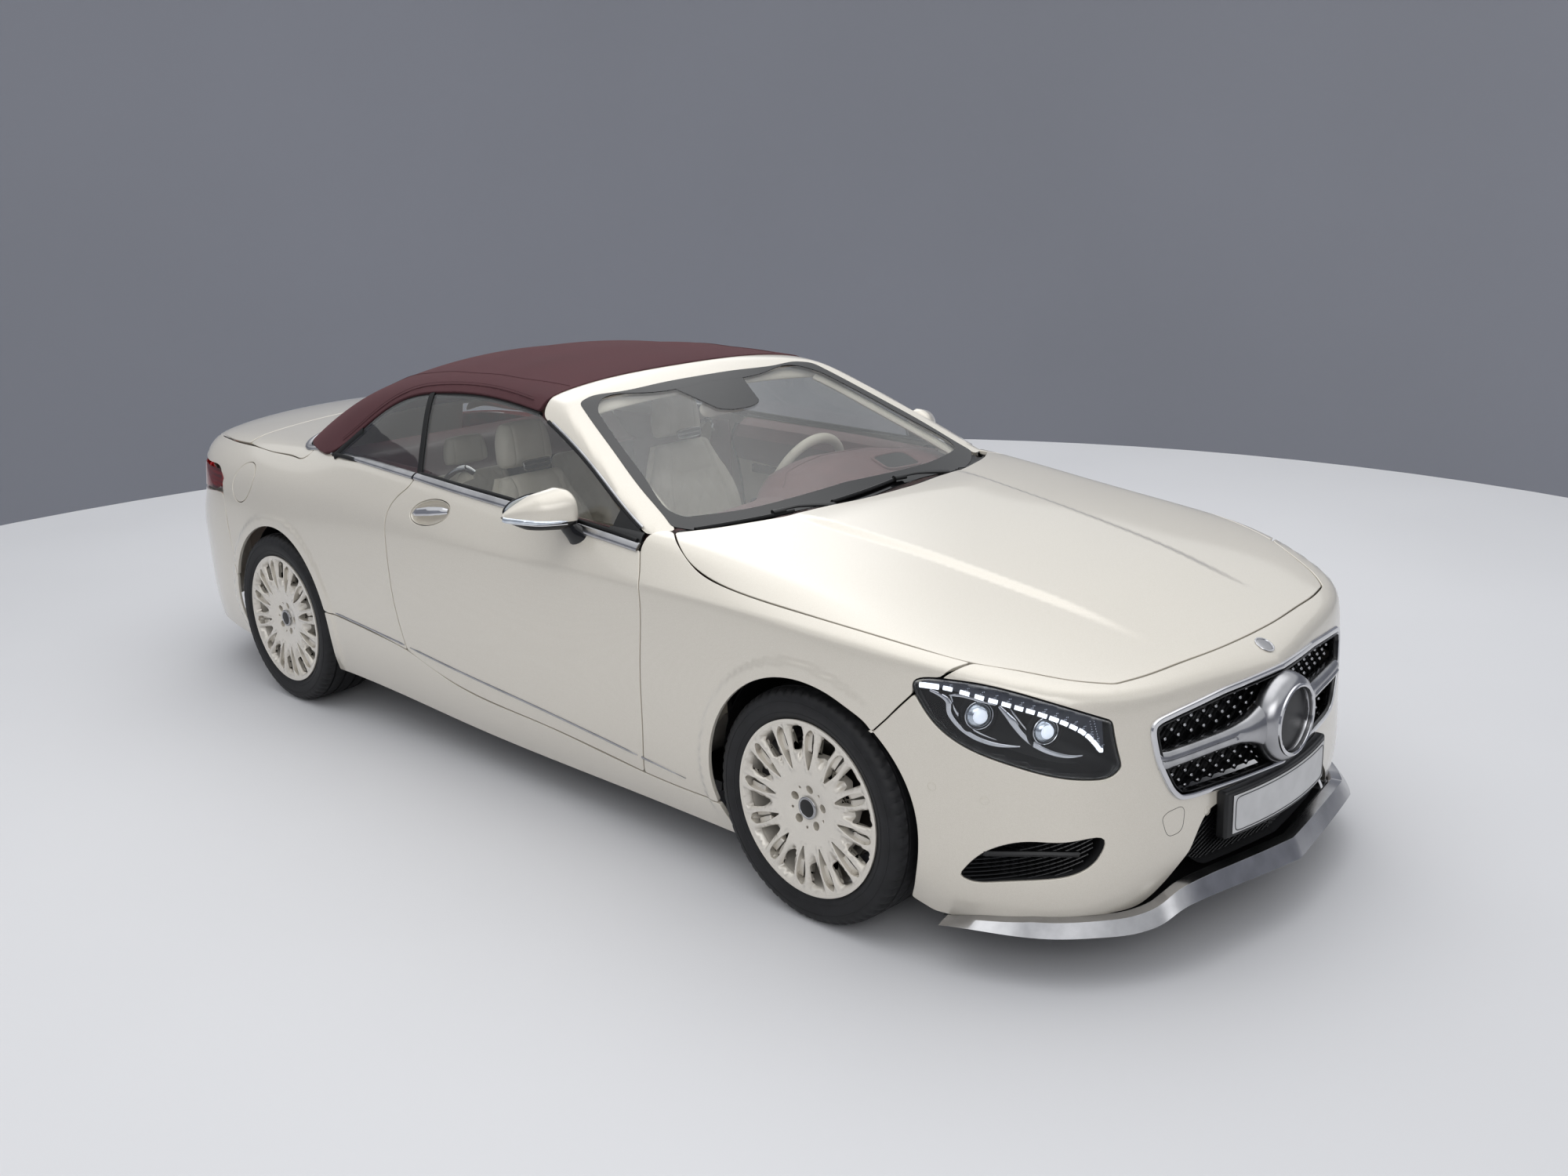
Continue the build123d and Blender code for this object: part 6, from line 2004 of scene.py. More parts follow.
def makeSensors():
    # round parking sensors and the outline of the towing eye cover
    rings = []
    for p in ((905, -1975, 520), (850, -2110, 500), (330, -2475, 395)):
        q = noseChart.lift(noseChart.flatten(np.array([p], float)))[0]
        way = outward(lowerBody, q[None])[0]
        rings.append(ringRound(q + 0.2 * way, way, 11.5, 1.3, 1.4, 30))
        rings.append(dome(q - 1.2 * way, way, 10.6, 1.6, 3, 28, 1))
    seam = [(420, 440), (472, 436), (492, 424), (478, 378), (466, 366), (430, 368), (416, 380), (408, 426)]
    p = softened(evenly(np.array(seam, float), 6.0, True), 3)
    loop = fromFront(lowerBody, p[:, 0], p[:, 1])
    line = sweep(loop + 0.1 * outward(lowerBody, loop), ringProfile(1.4, 1.0, 6), outward(lowerBody, loop),
                 True)
    addPair("noseSensors", merge(rings), onChassis, paint, "body_paint")
    addPiece("towCover", *flipped(line), "chassis", sealRubber, "black_plastic")


def makeBadge():
    # plain bright disc in a ring on the nose of the bonnet
    q = fromTop(lowerBody, 0, -2428)
    way = outward(lowerBody, q[None])[0]
    ring = ringRound(q + 1.5 * way, way, 27, 5, 4, 48)
    disc = dome(q + 0.5 * way, way, 26, 3.0, 4, 48, 2)
    addPiece("badgeRing", *ring, "chassis", chrome, "satin_trim")
    addPiece("badgeDisc", *disc, "chassis", satinChrome, "satin_trim")


makeHeadlamps()
stage("headlamps")
makeGrille()
makeGrilleBar()
makeIntakes()
makeSplitter()
makePlate()
makeSensors()
makeBadge()
stage("nose")


# Doors' fittings, mirrors, wipers, tail and the mechanical parts that stay as they are.


def doorGrid(top, low, depth=0.0):
    # rows down the door between two heights (0 at the belt, 1 at the sill seam)
    front, rear = run(doorFront, 41), run(doorRear[1:], 41)
    t = np.linspace(top, low, 25)
    k = np.linspace(0, 1, 41)
    a = np.stack([np.interp(t, k, front[:, q]) for q in range(3)], -1) + (0, 12, 0)
    b = np.stack([np.interp(t, k, rear[:, q]) for q in range(3)], -1) - (0, 14, 0)
    w = np.linspace(0, 1, 41)[:, None, None]
    flat = a[None] * (1 - w) + b[None] * w
    p = fromSide(lowerBody, flat[..., 1], flat[..., 2])
    return p - depth * outward(lowerBody, p) if depth else p


def makeDoors():
    cup = handleCup()
    core = doorGrid(0.02, 0.98)
    way = outward(lowerBody, core)
    inner = core - (100, 0, 0)
    # the frame of the door leans in towards its rear edge so that it swings clear
    along = np.linspace(0, 1, 41)[:, None]
    inner[..., 1] += 16 * (1 - along)**8 - 22 * along**8
    shell = gridShell(core - 36 * way, inner)
    upper = doorGrid(0.03, 0.34) - (106, 0, 0)
    lower = doorGrid(0.34, 0.94) - (104, 0, 0)
    puff = np.sin(np.linspace(0, np.pi, 41))[:, None]**0.5 * np.sin(np.linspace(0, np.pi, 25))[None]**0.5
    upper[..., 1] += (30 * (1 - along)**6 - 40 * along**6)
    lower[..., 1] += (30 * (1 - along)**6 - 40 * along**6)
    cardTop = gridShell(upper + (4, 0, 0), upper - puff[..., None] * (16, 0, 0))
    cardLow = gridShell(lower + (4, 0, 0), lower - puff[..., None] * (12, 0, 0))
    ledge = run([(800, -640, 1000), (806, -300, 1012), (806, 100, 1022), (792, 400, 1030)], 41)
    ledgeTop = np.stack([ledge, ledge - (20, 0, 4), ledge - (52, 0, 22), ledge - (66, 0, 60)], 1)
    cap = gridShell(ledgeTop, ledgeTop - (4, 0, 12))
    rest = run([(745, -420, 720), (735, -150, 728), (735, 60, 730), (742, 240, 735)], 31)
    arm = sweep(rest, [(-34, -30), (-34, 12), (-24, 24), (0, 28), (24, 24), (34, 12), (34, -30)], (0, 0, 1))
    slab = run([(742, -560, 800), (734, -300, 815), (734, 60, 822), (748, 330, 825)], 31)
    trim = sweep(slab, [(-10, -16), (-10, 16), (-4, 19), (4, 19), (8, 16), (8, -16)], (0, 0, 1))
    parts = (("doorCore", shell, blackSatin, "black_plastic"),
             ("doorCardTop", cardTop, dashLeather, "dash_leather"),
             ("doorCardLow", cardLow, creamLeather, "cream_leather"),
             ("doorLedge", cap, dashLeather, "dash_leather"),
             ("doorArmRest", arm, creamLeather, "cream_leather"),
             ("doorTrimBar", trim, woodTrim, "black_plastic"))
    bodies = ("door_left_body", "door_right_body")
    for name, part, material, slot in parts:
        for piece in addPair(name, part, bodies, material, slot):
            if name in ("doorArmRest", "doorTrimBar"):
                bevelled(piece, 4, 3)
    # recess and bar of the outer handle
    bowlPart = bowl(cup, [(1.5, 0.012), (9, 0.03), (19, 0.12), (25, 0.3), (28, 0.6)])
    for piece in addPair("handleRecess", bowlPart, bodies, paint, "body_paint"):
        thick(piece, 1.5, 1)
    line = run([(392, 927), (340, 936), (292, 943), (245, 950), (196, 957)], 33)
    path = fromSide(lowerBody, line[:, 0], line[:, 1])
    way = outward(lowerBody, path)
    proud = np.interp(np.linspace(0, 1, 33), (0, 0.12, 0.5, 0.88, 1), (-4, 5, 9, 5, -4))[:, None]
    tall = np.interp(np.linspace(0, 1, 33), (0, 0.15, 0.5, 0.85, 1), (20, 30, 34, 30, 20))[:, None, None]
    section = ringProfile(1, 1, 16)[None] * np.concatenate([tall, tall * 0 + 13], -1)
    bar = sweep(path + proud * way, section, way)
    addPair("handleBar", bar, bodies, chrome, "satin_trim")
    # thin bright strip low on the door, carried on along the fender
    low = fromSide(lowerBody, *run([(955, 458), (480, 423)], 31).T)
    mid = fromSide(lowerBody, *run([(445, 420), (200, 398), (-300, 362), (-815, 320)], 61).T)
    front = fromSide(lowerBody, *run([(-835, 318), (-1040, 303)], 17).T)
    for name, line, ends in (("doorStrip", mid, bodies), ("fenderStrip", front, onChassis),
                             ("quarterStrip", low, onChassis)):
        way = outward(lowerBody, line)
        wide = np.interp(np.linspace(0, 1, len(line)), (0, 0.04, 0.96, 1), (2, 9, 9, 2))[:, None, None]
        if name == "fenderStrip":
            wide = np.linspace(9, 1.5, len(line))[:, None, None]
        section = ringProfile(1, 1, 8)[None] * np.concatenate([wide, 0 * wide + 3.5], -1)
        addPair(name, sweep(line + 0.8 * way, section, way), ends, satinChrome, "satin_trim")
    # black triangle at the front of the door glass, and the seal behind the pillar strip
    tri = [[(-796, 1012), (-700, 1058), (-668, 1072)], [(-668, 1072), (-660, 1040), (-654, 1010)],
           [(-654, 1010), (-720, 1004), (-796, 998)]]
    curves = [fromSide(upperBody, *run(c, 9).T) for c in tri]
    curves[2][-1] = curves[0][0]
    loop = outline(glassChart, *curves, pace=6.0)
    sail = plateMesh(upperBody, glassChart, loop, (), pitch=14, gap=0.5, radius=1.5, depth=6, flange=3,
                     lift=3.5)
    for side, name in ((1, "left"), (-1, "right")):
        plate(f"sailPanel_{name}", f"door_{name}_body", None, sail, side, blackSatin, "black_plastic")
    foot = [[(822, -804, 1016), (846, -812, 1000), (862, -818, 982)],
            [(862, -818, 982), (862, -760, 986), (858, -650, 992)],
            [(858, -650, 992), (845, -650, 1003), (828, -652, 1015)],
            [(828, -652, 1015), (824, -740, 1016), (822, -804, 1016)]]
    loop = outline(sideChart, *foot, pace=6.0)
    base = plateMesh(lowerBody, sideChart, loop, (), pitch=12, gap=1.0, radius=2, depth=10, flange=6,
                     lift=-1.0)
    for side, name in ((1, "left"), (-1, "right")):
        plate(f"sailFoot_{name}", f"door_{name}_body", None, base, side, blackSatin, "black_plastic")


mirrorSettings = dict(inner=848.0, outer=1053.0, y=-468.0, z=1054.0, back=88.0, glassBack=36.0)


def makeMirrors():
    m = mirrorSettings
    n, count = 40, 56
    t = np.linspace(0, 1, n)
    end = np.sqrt(np.clip(1 - np.clip((t - 0.45) / 0.55, 0, 1)**2.6, 0, 1))
    start = np.sqrt(np.clip(1 - np.clip((0.16 - t) / 0.16, 0, 1)**2, 0, 1))
    size = np.maximum(end * start, 0.0)
    x = m["inner"] + (m["outer"] - m["inner"]) * t
    a = np.linspace(0, 2 * np.pi, count, endpoint=False)
    c, s = np.cos(a), np.sin(a)
    # angle 0 faces forward; the section is squarer behind, where the glass sits
    fore = np.sign(c) * np.abs(c)**0.85
    up = np.sign(s) * np.abs(s)**0.8
    top = np.interp(t, (0, 0.25, 0.6, 1), (64, 76, 62, 26))
    low = np.interp(t, (0, 0.3, 0.7, 1), (58, 58, 50, 26))
    deep = np.interp(t, (0, 0.2, 0.6, 1), (74, 80, 66, 40)) * (0.25 + 0.75 * size)
    y = m["y"] - np.where(fore > 0, deep[:, None] * fore, m["glassBack"] * fore)
    z = m["z"] + np.where(up > 0, top[:, None] * up, low[:, None] * up) * size[:, None] - 6 * t[:, None]
    p = np.stack([x[:, None] + 0 * z, y, z], -1)
    p[..., 1] = m["y"] + (p[..., 1] - m["y"]) * np.maximum(size[:, None], 0.25) + m["back"] * t[:,
            None]**1.5
    skin = gridFaces(n, count, False, True)
    points = np.concatenate([p.reshape(-1, 3), p[:1].mean(1), p[-1:].mean(1)])
    k = np.arange(count)
    cap1 = np.stack([(k + 1) % count, k, 0 * k + n * count], -1)
    cap2 = np.stack([(n - 1) * count + k, (n - 1) * count + (k + 1) % count, 0 * k + n * count + 1], -1)
    column = np.concatenate([skin[:, 0] % count, k, k])
    faces = skin.tolist() + cap1.tolist() + cap2.tolist()
    turn = np.degrees((column + 0.5) * 2 * np.pi / count)
    dark = (turn > 212) & (turn < 338)
    back = (turn > 150) & (turn < 212)
    for side, name in ((1, "left"), (-1, "right")):
        part = (points, faces) if side > 0 else flipped((points, faces))
        body = f"door_{name}_body"
        head = addPiece(f"mirrorHead_{name}", *part, body, [paint, blackSatin], "body_paint",
                        (f"door_mirror_{name}",), sharp=60)
        head.data.polygons.foreach_set("material_index", (dark | back).astype(int))
        faceOut(head)
    # indicator strip round the front, a chrome line under it, the glass and the foot
    level = np.linspace(0.30, 1.0, 30)
    index = np.clip(np.round(level * (n - 1)).astype(int), 0, n - 1)
    edge = p[index, int(count * (1 - 0.035))]
    strip = edge - (0, 2.0, 4)
    width = np.interp(level, (0.3, 0.4, 0.8, 1.0), (3, 9, 15, 16))[:, None, None]
    section = ringProfile(1, 1, 10)[None] * np.concatenate([width, 0 * width + 6], -1)
    lamp = sweep(strip, section, (0.25, -1, 0))
    under = pipe(edge - (0, 2.5, 13), 1.7, 6)
    glass = [(m["inner"] + 16, 6), (m["inner"] + 44, 54), (m["inner"] + 108, 54), (m["inner"] + 162, 36),
             (m["inner"] + 186, 6),
             (m["inner"] + 170, -30), (m["inner"] + 108, -42), (m["inner"] + 40, -42)]
    g = softened(evenly(np.array(glass), 6.0, True), 6)
    n2 = len(g)
    yBack = m["y"] + m["glassBack"] + 9
    lean = 0.9 * m["back"] * np.clip((g[:, 0] - m["inner"]) / 205, 0, 1)**1.5
    face = np.stack([g[:, 0], yBack + lean, m["z"] + g[:, 1]], -1)
    mirrorGlass = (np.concatenate([face, face - (0, 12, 0)]),
                   [list(range(n2))[::-1], list(range(n2, 2 * n2))] +
                   [[i, (i + 1) % n2, (i + 1) % n2 + n2, i + n2] for i in range(n2)])
    foot = run([(892, -486, 1022), (884, -505, 1000), (874, -530, 972), (866, -540, 954)], 17)
    wide = np.interp(np.linspace(0, 1, 17), (0, 0.5, 1), (58, 66, 92))[:, None]
    deepF = np.interp(np.linspace(0, 1, 17), (0, 0.5, 1), (30, 30, 36))[:, None]
    ringS = ringProfile(1, 1, 20)
    section = np.stack([ringS[None, :, 0] * wide, ringS[None, :, 1] * deepF], -1)
    stalk = sweep(foot, section, (1, 0, 0.3))
    rim = sweep(face + (0, 0.5, 0), ringProfile(5, 6, 8), (0, 1, 0), True)
    bodies = ("door_left_body", "door_right_body")
    for name, part, material, slot in (("mirrorIndicator", lamp, lampEye, "lamp_glass"),
                                       ("mirrorTrim", under, chrome, "satin_trim"),
                                       ("mirrorGlass", mirrorGlass, mirrorFace, "clear_glass"),
                                       ("mirrorRim", rim, blackSatin, "black_plastic"),
                                       ("mirrorFoot", stalk, blackGloss, "black_plastic")):
        for piece in addPair(name, part, bodies, material, slot):
            faceOut(piece)


mirrorFace = mottled("mirrorFace", (178, 184, 190), (190, 196, 202), 5.0, (0.01, 0.03), metallic=1.0)


def makeScuttle():
    # black cowl at the foot of the screen, with its louvres, and two wipers
    front = fromTop(lowerBody, *run([(772, -880), (673, -946), (568, -986), (446, -1021), (287, -1047),
                                     (150, -1071), (0, -1079)], 31).T)
    rear = fromFront(upperBody, *run([(740, 1020), (400, 1006), (0, 1000)], 31).T, start=200)
    t = np.linspace(0, 1, 9)[None, :, None]
    grid = bothSides(front - (0, 0, 16))[:, None] * (1 - t) + bothSides(rear - (0, 4, 5))[:, None] * t
    grid = grid - np.array((0, 0, 9.0)) * 4 * t * (1 - t)
    addPiece("cowlPanel", *gridShell(grid, grid - (0, 0, 4)), "chassis", blackSatin, "black_plastic",
             ("scuttle_panel",))
    slots = []
    for x in np.linspace(-560, 560, 57):
        order = np.argsort(grid[:, 3, 0])
        k = np.interp(x, grid[order, 3, 0], order)
        i = int(round(float(k)))
        a, b = grid[i, 2] + (0, 0, 2.5), grid[i, 6] + (0, 0, 2.5)
        slots.append(pipe(np.stack([a, (a + b) / 2, b]), 1.6, 6))
    addPiece("cowlRibs", *merge(slots), "chassis", blackMatt, "black_plastic")
    wipers = dict(wiperRight=([(-700, 1008), (-520, 1006), (-330, 1005)],
                              [(-412, 1008), (-300, 1007), (-170, 998)]),
                  wiperLeft=([(-160, 1006), (20, 1011), (205, 1018)],
                             [(182, 1017), (320, 1010), (460, 998)]))
    for name, (rest, reach) in wipers.items():
        # blade lying along the foot of the glass, with the arm from its pivot to the clip
        line, span = run(reach, 31), run(rest, 41)
        p = fromFront(upperBody, line[:, 0], line[:, 1], 200)
        w = outward(upperBody, p)
        t = np.linspace(0, 1, 31)
        arm = sweep(p + w * np.interp(t, (0, 0.4, 1), (19, 22, 12))[:, None],
                    ringProfile(1, 1, 8)[None] * np.interp(t, (0, 0.2, 0.6, 1), (13, 13, 17, 24))[:, None,
                            None] * (1, 0.55), w)
        q = fromFront(upperBody, span[:, 0], span[:, 1], 200)
        wq = outward(upperBody, q)
        blade = sweep(q + 9 * wq, [(-6, -7), (-7, 0), (-5, 5), (0, 8), (5, 5), (7, 0), (1.5, -3), (1, -7.5),
                                   (-1, -7.5)], wq)
        clip = sweep(p[:7] + w[:7] * 15, ringProfile(22, 16, 12), w[:7])
        pivot = dome(p[-1] + w[-1] * 2, w[-1], 19, 14, 5, 24, 14)
        addPiece(name, *merge([arm, blade, clip, pivot]), "chassis", blackSatin, "black_plastic")


def makeTail():
    lamp = dict(head=[(0.785, 0.895), (1.0, 0.896), (1.2, 0.894), (1.30, 0.888), (1.352, 0.866)],
                foot=[(0.76, 0.769), (1.0, 0.793), (1.24, 0.814), (1.31, 0.822), (1.352, 0.846)])
    v = np.linspace(0, 1, 15)[None, :, None]
    uv = run(lamp["head"], 41)[:, None] * (1 - v) + run(lamp["foot"], 41)[:, None] * v

    grid = fromPost(uv[..., 0], uv[..., 1])
    lens = skinShell(lowerBody, grid, 0.5, 4)
    bed = skinShell(lowerBody, grid, -30, 34)
    for piece in addPair("tailLens", lens, onChassis, redGlass, "red_lens"):
        bevelled(piece, 1.2, 2)
    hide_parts("tail_lamps")
    addPair("tailBed", bed, onChassis, redLens, "red_lens")
    strips = []
    for k in (0.22, 0.5, 0.78):
        u = np.linspace(0.04, 0.93, 40)
        line = np.stack([np.interp(u, np.linspace(0, 1, 41), grid[:, int(k * 14), q]) for q in range(3)],
                        -1)
        w = outward(lowerBody, line)
        strips.append(sweep(line - 16 * w, ringProfile(12, 9, 8), w))
    addPair("tailStrips", merge(strips), onChassis, redGlow, "red_lens")
    # bright bar across the lid, a blank plate in its recess, and the outlets in the bumper
    xs = np.linspace(-560, 560, 61)
    bar = fromRear(lowerBody, xs, 805 + 0 * xs)
    w = outward(lowerBody, bar)
    addPiece("lidBar", *sweep(bar + 3 * w, ringProfile(20, 12, 12), w), "boot_lid_body", satinChrome,
             "satin_trim")
    xs, zs = np.meshgrid(np.linspace(-262, 262, 33), np.linspace(502, 618, 9))
    p = fromRear(lowerBody, xs, zs)
    w = outward(lowerBody, p)
    bevelled(addPiece("rearPlate", *gridShell(p + 7 * w, p + 3 * w), "chassis", plateBlank, "satin_trim"),
             1.5, 2)
    xs, zs = np.meshgrid(np.linspace(-285, 285, 33), np.linspace(488, 632, 9))
    p = fromRear(lowerBody, xs, zs)
    w = outward(lowerBody, p)
    bevelled(addPiece("rearPlateCarrier", *gridShell(p + 3.4 * w, p - 4 * w), "chassis", blackSatin,
                      "black_plastic"), 3, 2)
    # dark diffuser between two bright outlets
    x, t = np.meshgrid(np.linspace(-660, 660, 67), np.linspace(0, 1, 11), indexing="ij")
    high = 316 - 20 * (np.abs(x) / 660)**4
    p = fromRear(lowerBody, x, high * (1 - t) + 226 * t)
    w = outward(lowerBody, p)
    bevelled(addPiece("diffuser", *gridShell(p + 5 * w, p - 6 * w), "chassis", blackSatin, "black_plastic"),
             3, 2)
    fins = []
    for at in (-210, -70, 70, 210):
        line = fromRear(lowerBody, np.full(13, float(at)), np.linspace(304, 232, 13))
        proud = np.interp(np.linspace(0, 1, 13), (0, 0.3, 1), (5, 18, 26))[:, None]
        fins.append(sweep(line + proud * outward(lowerBody, line) * 0.5,
                          [(-3, -14), (-3, 12), (3, 12), (3, -14)], (0, 1, 0)))
    addPiece("diffuserFins", *merge(fins), "chassis", blackSatin, "black_plastic")
    # bright outlet: rings of one rounded outline at depths measured from the bumper
    shape = softened(evenly(np.array([(-82, -30), (82, -30), (92, 26), (-76, 32)], float), 5.0, True), 5)
    rows = []
    for depth, grow in ((8, 2), (12, 0), (10, -5), (-14, -7), (-104, -7), (-104, 0), (-14, 3)):
        x, z = (shape + grow * unit(shape)).T + np.array([[470], [272]])
        rows.append(fromRear(lowerBody, x, z) + (0, depth, 0))
    outlet = (np.stack(rows).reshape(-1, 3), gridFaces(len(rows), len(shape), True, True))
    for piece in addPair("exhaustTip", outlet, onChassis, chrome, "satin_trim"):
        faceOut(piece)
    sensors = []
    for x, z in ((250, 470), (640, 480), (800, 520)):
        q = tailChart.lift(tailChart.flatten(fromRear(lowerBody, np.array([float(x)]),
                                                      np.array([float(z)]))))[0]
        way = outward(lowerBody, q[None])[0]
        sensors.append(ringRound(q + 0.2 * way, way, 11.5, 1.3, 1.4, 30))
    addPair("tailSensors", merge(sensors), onChassis, paint, "body_paint")
    xs, zs = np.meshgrid(np.linspace(690, 800, 17), np.linspace(330, 352, 5))
    p = fromRear(lowerBody, xs, zs)
    w = outward(lowerBody, p)
    for piece in addPair("tailReflector", gridShell(p + 2.5 * w, p - 3 * w), onChassis, redLens,
                         "red_lens"):
        bevelled(piece, 1.5, 2)


redGlass = clearMaterial("redGlass", dict(low=(0.55, 0.02, 0.03, 1), high=(0.62, 0.03, 0.04, 1),
                                          mirror=0.05))
redGlow = glowMaterial("redGlow", (190, 20, 26), 0.25)


def dressNodes():
    # finishes for the CAD nodes that stay in view
    finishes = dict(wheel_arch_liners=blackMatt, floor_pan=darkMetal, boot_tub=carpet,
                    engine_block=castMetal, front_subframe=darkMetal,
                    rear_axle=darkMetal, exhaust_silencers=exhaustMetal, front_knuckle_left=castMetal,
                    front_knuckle_right=castMetal,
                    centre_console=dashLeather)
    for node, material in finishes.items():
        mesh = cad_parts[node].data
        mesh.materials.clear()
        mesh.materials.append(material)


makeDoors()
makeMirrors()
stage("doors and mirrors")
makeScuttle()
makeTail()
dressNodes()
stage("cowl and tail")


# Interior: padded seats, dash, console, steering wheel, trims and floor covering.


def padShape(base, along, out, length, wide, front, back, count=44):
    # pillow over a panel: a runs -1..1 across, b runs 0..1 up it, and the rim is rounded off
    a, b = np.meshgrid(np.linspace(-1, 1, count), np.linspace(0, 1, count), indexing="ij")
    rim = 0.14 + 0.86 * np.clip((1 - np.abs(a)**7) * (1 - np.abs(2 * b - 1)**10), 0, 1)**0.42
    flat = np.array(base, float) + b[..., None] * length * along
    flat[..., 0] += a * wide(b)
    return gridShell(flat + (front(a, b) * rim)[..., None] * out,
                     flat - (back(a, b) * rim)[..., None] * out)


def meshArrays(mesh):
    points = np.empty(len(mesh.vertices) * 3)
    mesh.vertices.foreach_get("co", points)
    return points.reshape(-1, 3) * 1000, [list(f.vertices) for f in mesh.polygons]


def looseObject(name, points, faces):
    mesh = bpy.data.meshes.new(name)
    mesh.from_pydata((points * 0.001).tolist(), [], faces)
    piece = bpy.data.objects.new(name, mesh)
    bpy.context.collection.objects.link(piece)
    return piece


def evaluatedArrays(piece):
    tree = bpy.context.evaluated_depsgraph_get()
    tree.update()
    return meshArrays(piece.evaluated_get(tree).data)


def blownPad(name, part, settings):
    # cover remeshed evenly, blown up as cloth for 20 steps and held within its cap, then divided once
    piece = faceOut(looseObject(name, np.asarray(part[0]),
                                part[1].tolist() if isinstance(part[1], np.ndarray) else part[1]))
    even = piece.modifiers.new("even", "REMESH")
    even.mode = "VOXEL"
    even.voxel_size = settings["voxel"] * 0.001
    points, faces = evaluatedArrays(piece)
    bpy.data.objects.remove(piece)
    piece = looseObject(name, points, faces)
    cloth = piece.modifiers.new("cloth", "CLOTH")
    cloth.settings.use_pressure = True
    cloth.settings.uniform_pressure_force = 4.0
    cloth.settings.effector_weights.gravity = 0.0
    cloth.settings.quality = 4
    cloth.point_cache.frame_start = 1
    cloth.point_cache.frame_end = 20
    scene = bpy.context.scene
    for step in range(1, 21):
        scene.frame_set(step)
    moved = evaluatedArrays(piece)[0]
    scene.frame_set(1)
    bpy.data.objects.remove(piece)
    travel = moved - points
    size = np.linalg.norm(travel, axis=1, keepdims=True)
    points = points + travel * np.minimum(1, settings["cap"] / np.maximum(size, 1e-6))
    piece = looseObject(name, points, faces)
    fine = piece.modifiers.new("fine", "SUBSURF")
    fine.levels = fine.render_levels = 1
    points, faces = evaluatedArrays(piece)
    bpy.data.objects.remove(piece)
    return points, faces


def cornerNormals(points, faces):
    # vertex normals summed from the quads around each vertex
    quads = np.array(faces)
    n = np.cross(points[quads[:, 2]] - points[quads[:, 0]], points[quads[:, 3]] - points[quads[:, 1]])
    total = np.zeros(points.shape)
    for k in range(4):
        np.add.at(total, quads[:, k], n)
    return unit(total)


def sewn(part, settings, seams):
    # rows of stitching pull the cover in: depth falls off from each seam as exp(-(d / width)^2)
    points, faces = part
    along, out = settings["along"], settings["out"]
    away = points - np.array(settings["base"], float)
    u, v = away[:, 0], away @ along
    n = cornerNormals(points, faces)
    facing = np.clip((n @ out - 0.1) / 0.4, 0, 1)
    pull = np.zeros(len(points))
    for depth, width, distance in seams(u, v):
        pull = np.maximum(pull, depth * np.exp(-(distance / width)**2))
    return points - n * (pull * facing)[:, None], faces


def lean(y, z):
    size = math.hypot(y, z)
    return np.array((0, y / size, z / size)), np.array((0, -z / size, y / size))


def diamonds(u, v, pitch, slope):
    # distance to the nearest of two crossed sets of slanting lines
    size = math.hypot(1, slope)
    rows = [np.abs((u + sign * slope * v + pitch / 2) % pitch - pitch / 2) / size for sign in (1, -1)]
    return np.minimum(*rows)


def within(distance, *masks):
    # a seam only where all masks hold
    keep = np.ones(distance.shape, bool)
    for m in masks:
        keep &= m
    return np.where(keep, distance, 99.0)


backSide = spline((0, 126), (250, 150), (420, 122), (520, 98), (640, 94))
backLean, backOut = lean(149, 604)
cushionLean, cushionOut = lean(-595, 42)
rearLean, rearOut = lean(45, 605)


def bolster(a, at, width):
    return np.exp(-((np.abs(a) - at) / width)**2)


def backSeams(u, v):
    s = np.abs(u)
    edge = backSide(v)
    rows = [(7, 5, np.abs(s - edge)), (6, 5, within(np.abs(v - 446), s < edge)),
            (5, 5, within(diamonds(u, v, 64, 0.62), s < edge - 6, v < 440, v > 20))]
    rows += [(4.5, 5, within(np.abs(s - edge - gap), v < 520, s > edge + 12)) for gap in (34, 64, 92)]
    return rows


def cushionSeams(u, v):
    s = np.abs(u)
    rows = [(7, 5, within(np.abs(s - 150), v < 505)), (6, 5, within(np.abs(v - 500), s < 235)),
            (5, 5, within(diamonds(u, v, 64, 0.62), s < 144, v < 494, v > 20))]
    return rows + [(4.5, 5, within(np.abs(s - at), v < 500)) for at in (186, 216)]


def rearSeams(u, v):
    s = np.abs(u)
    rows = [(6, 5, np.abs(s - 138)), (5, 5, within(diamonds(u, v, 64, 0.62), s < 132, v > 20))]
    return rows + [(4, 5, np.abs(s - at)) for at in (168, 194)]


def headSeams(u, v):
    return [(4, 4, np.abs(np.abs(u) - 66))]


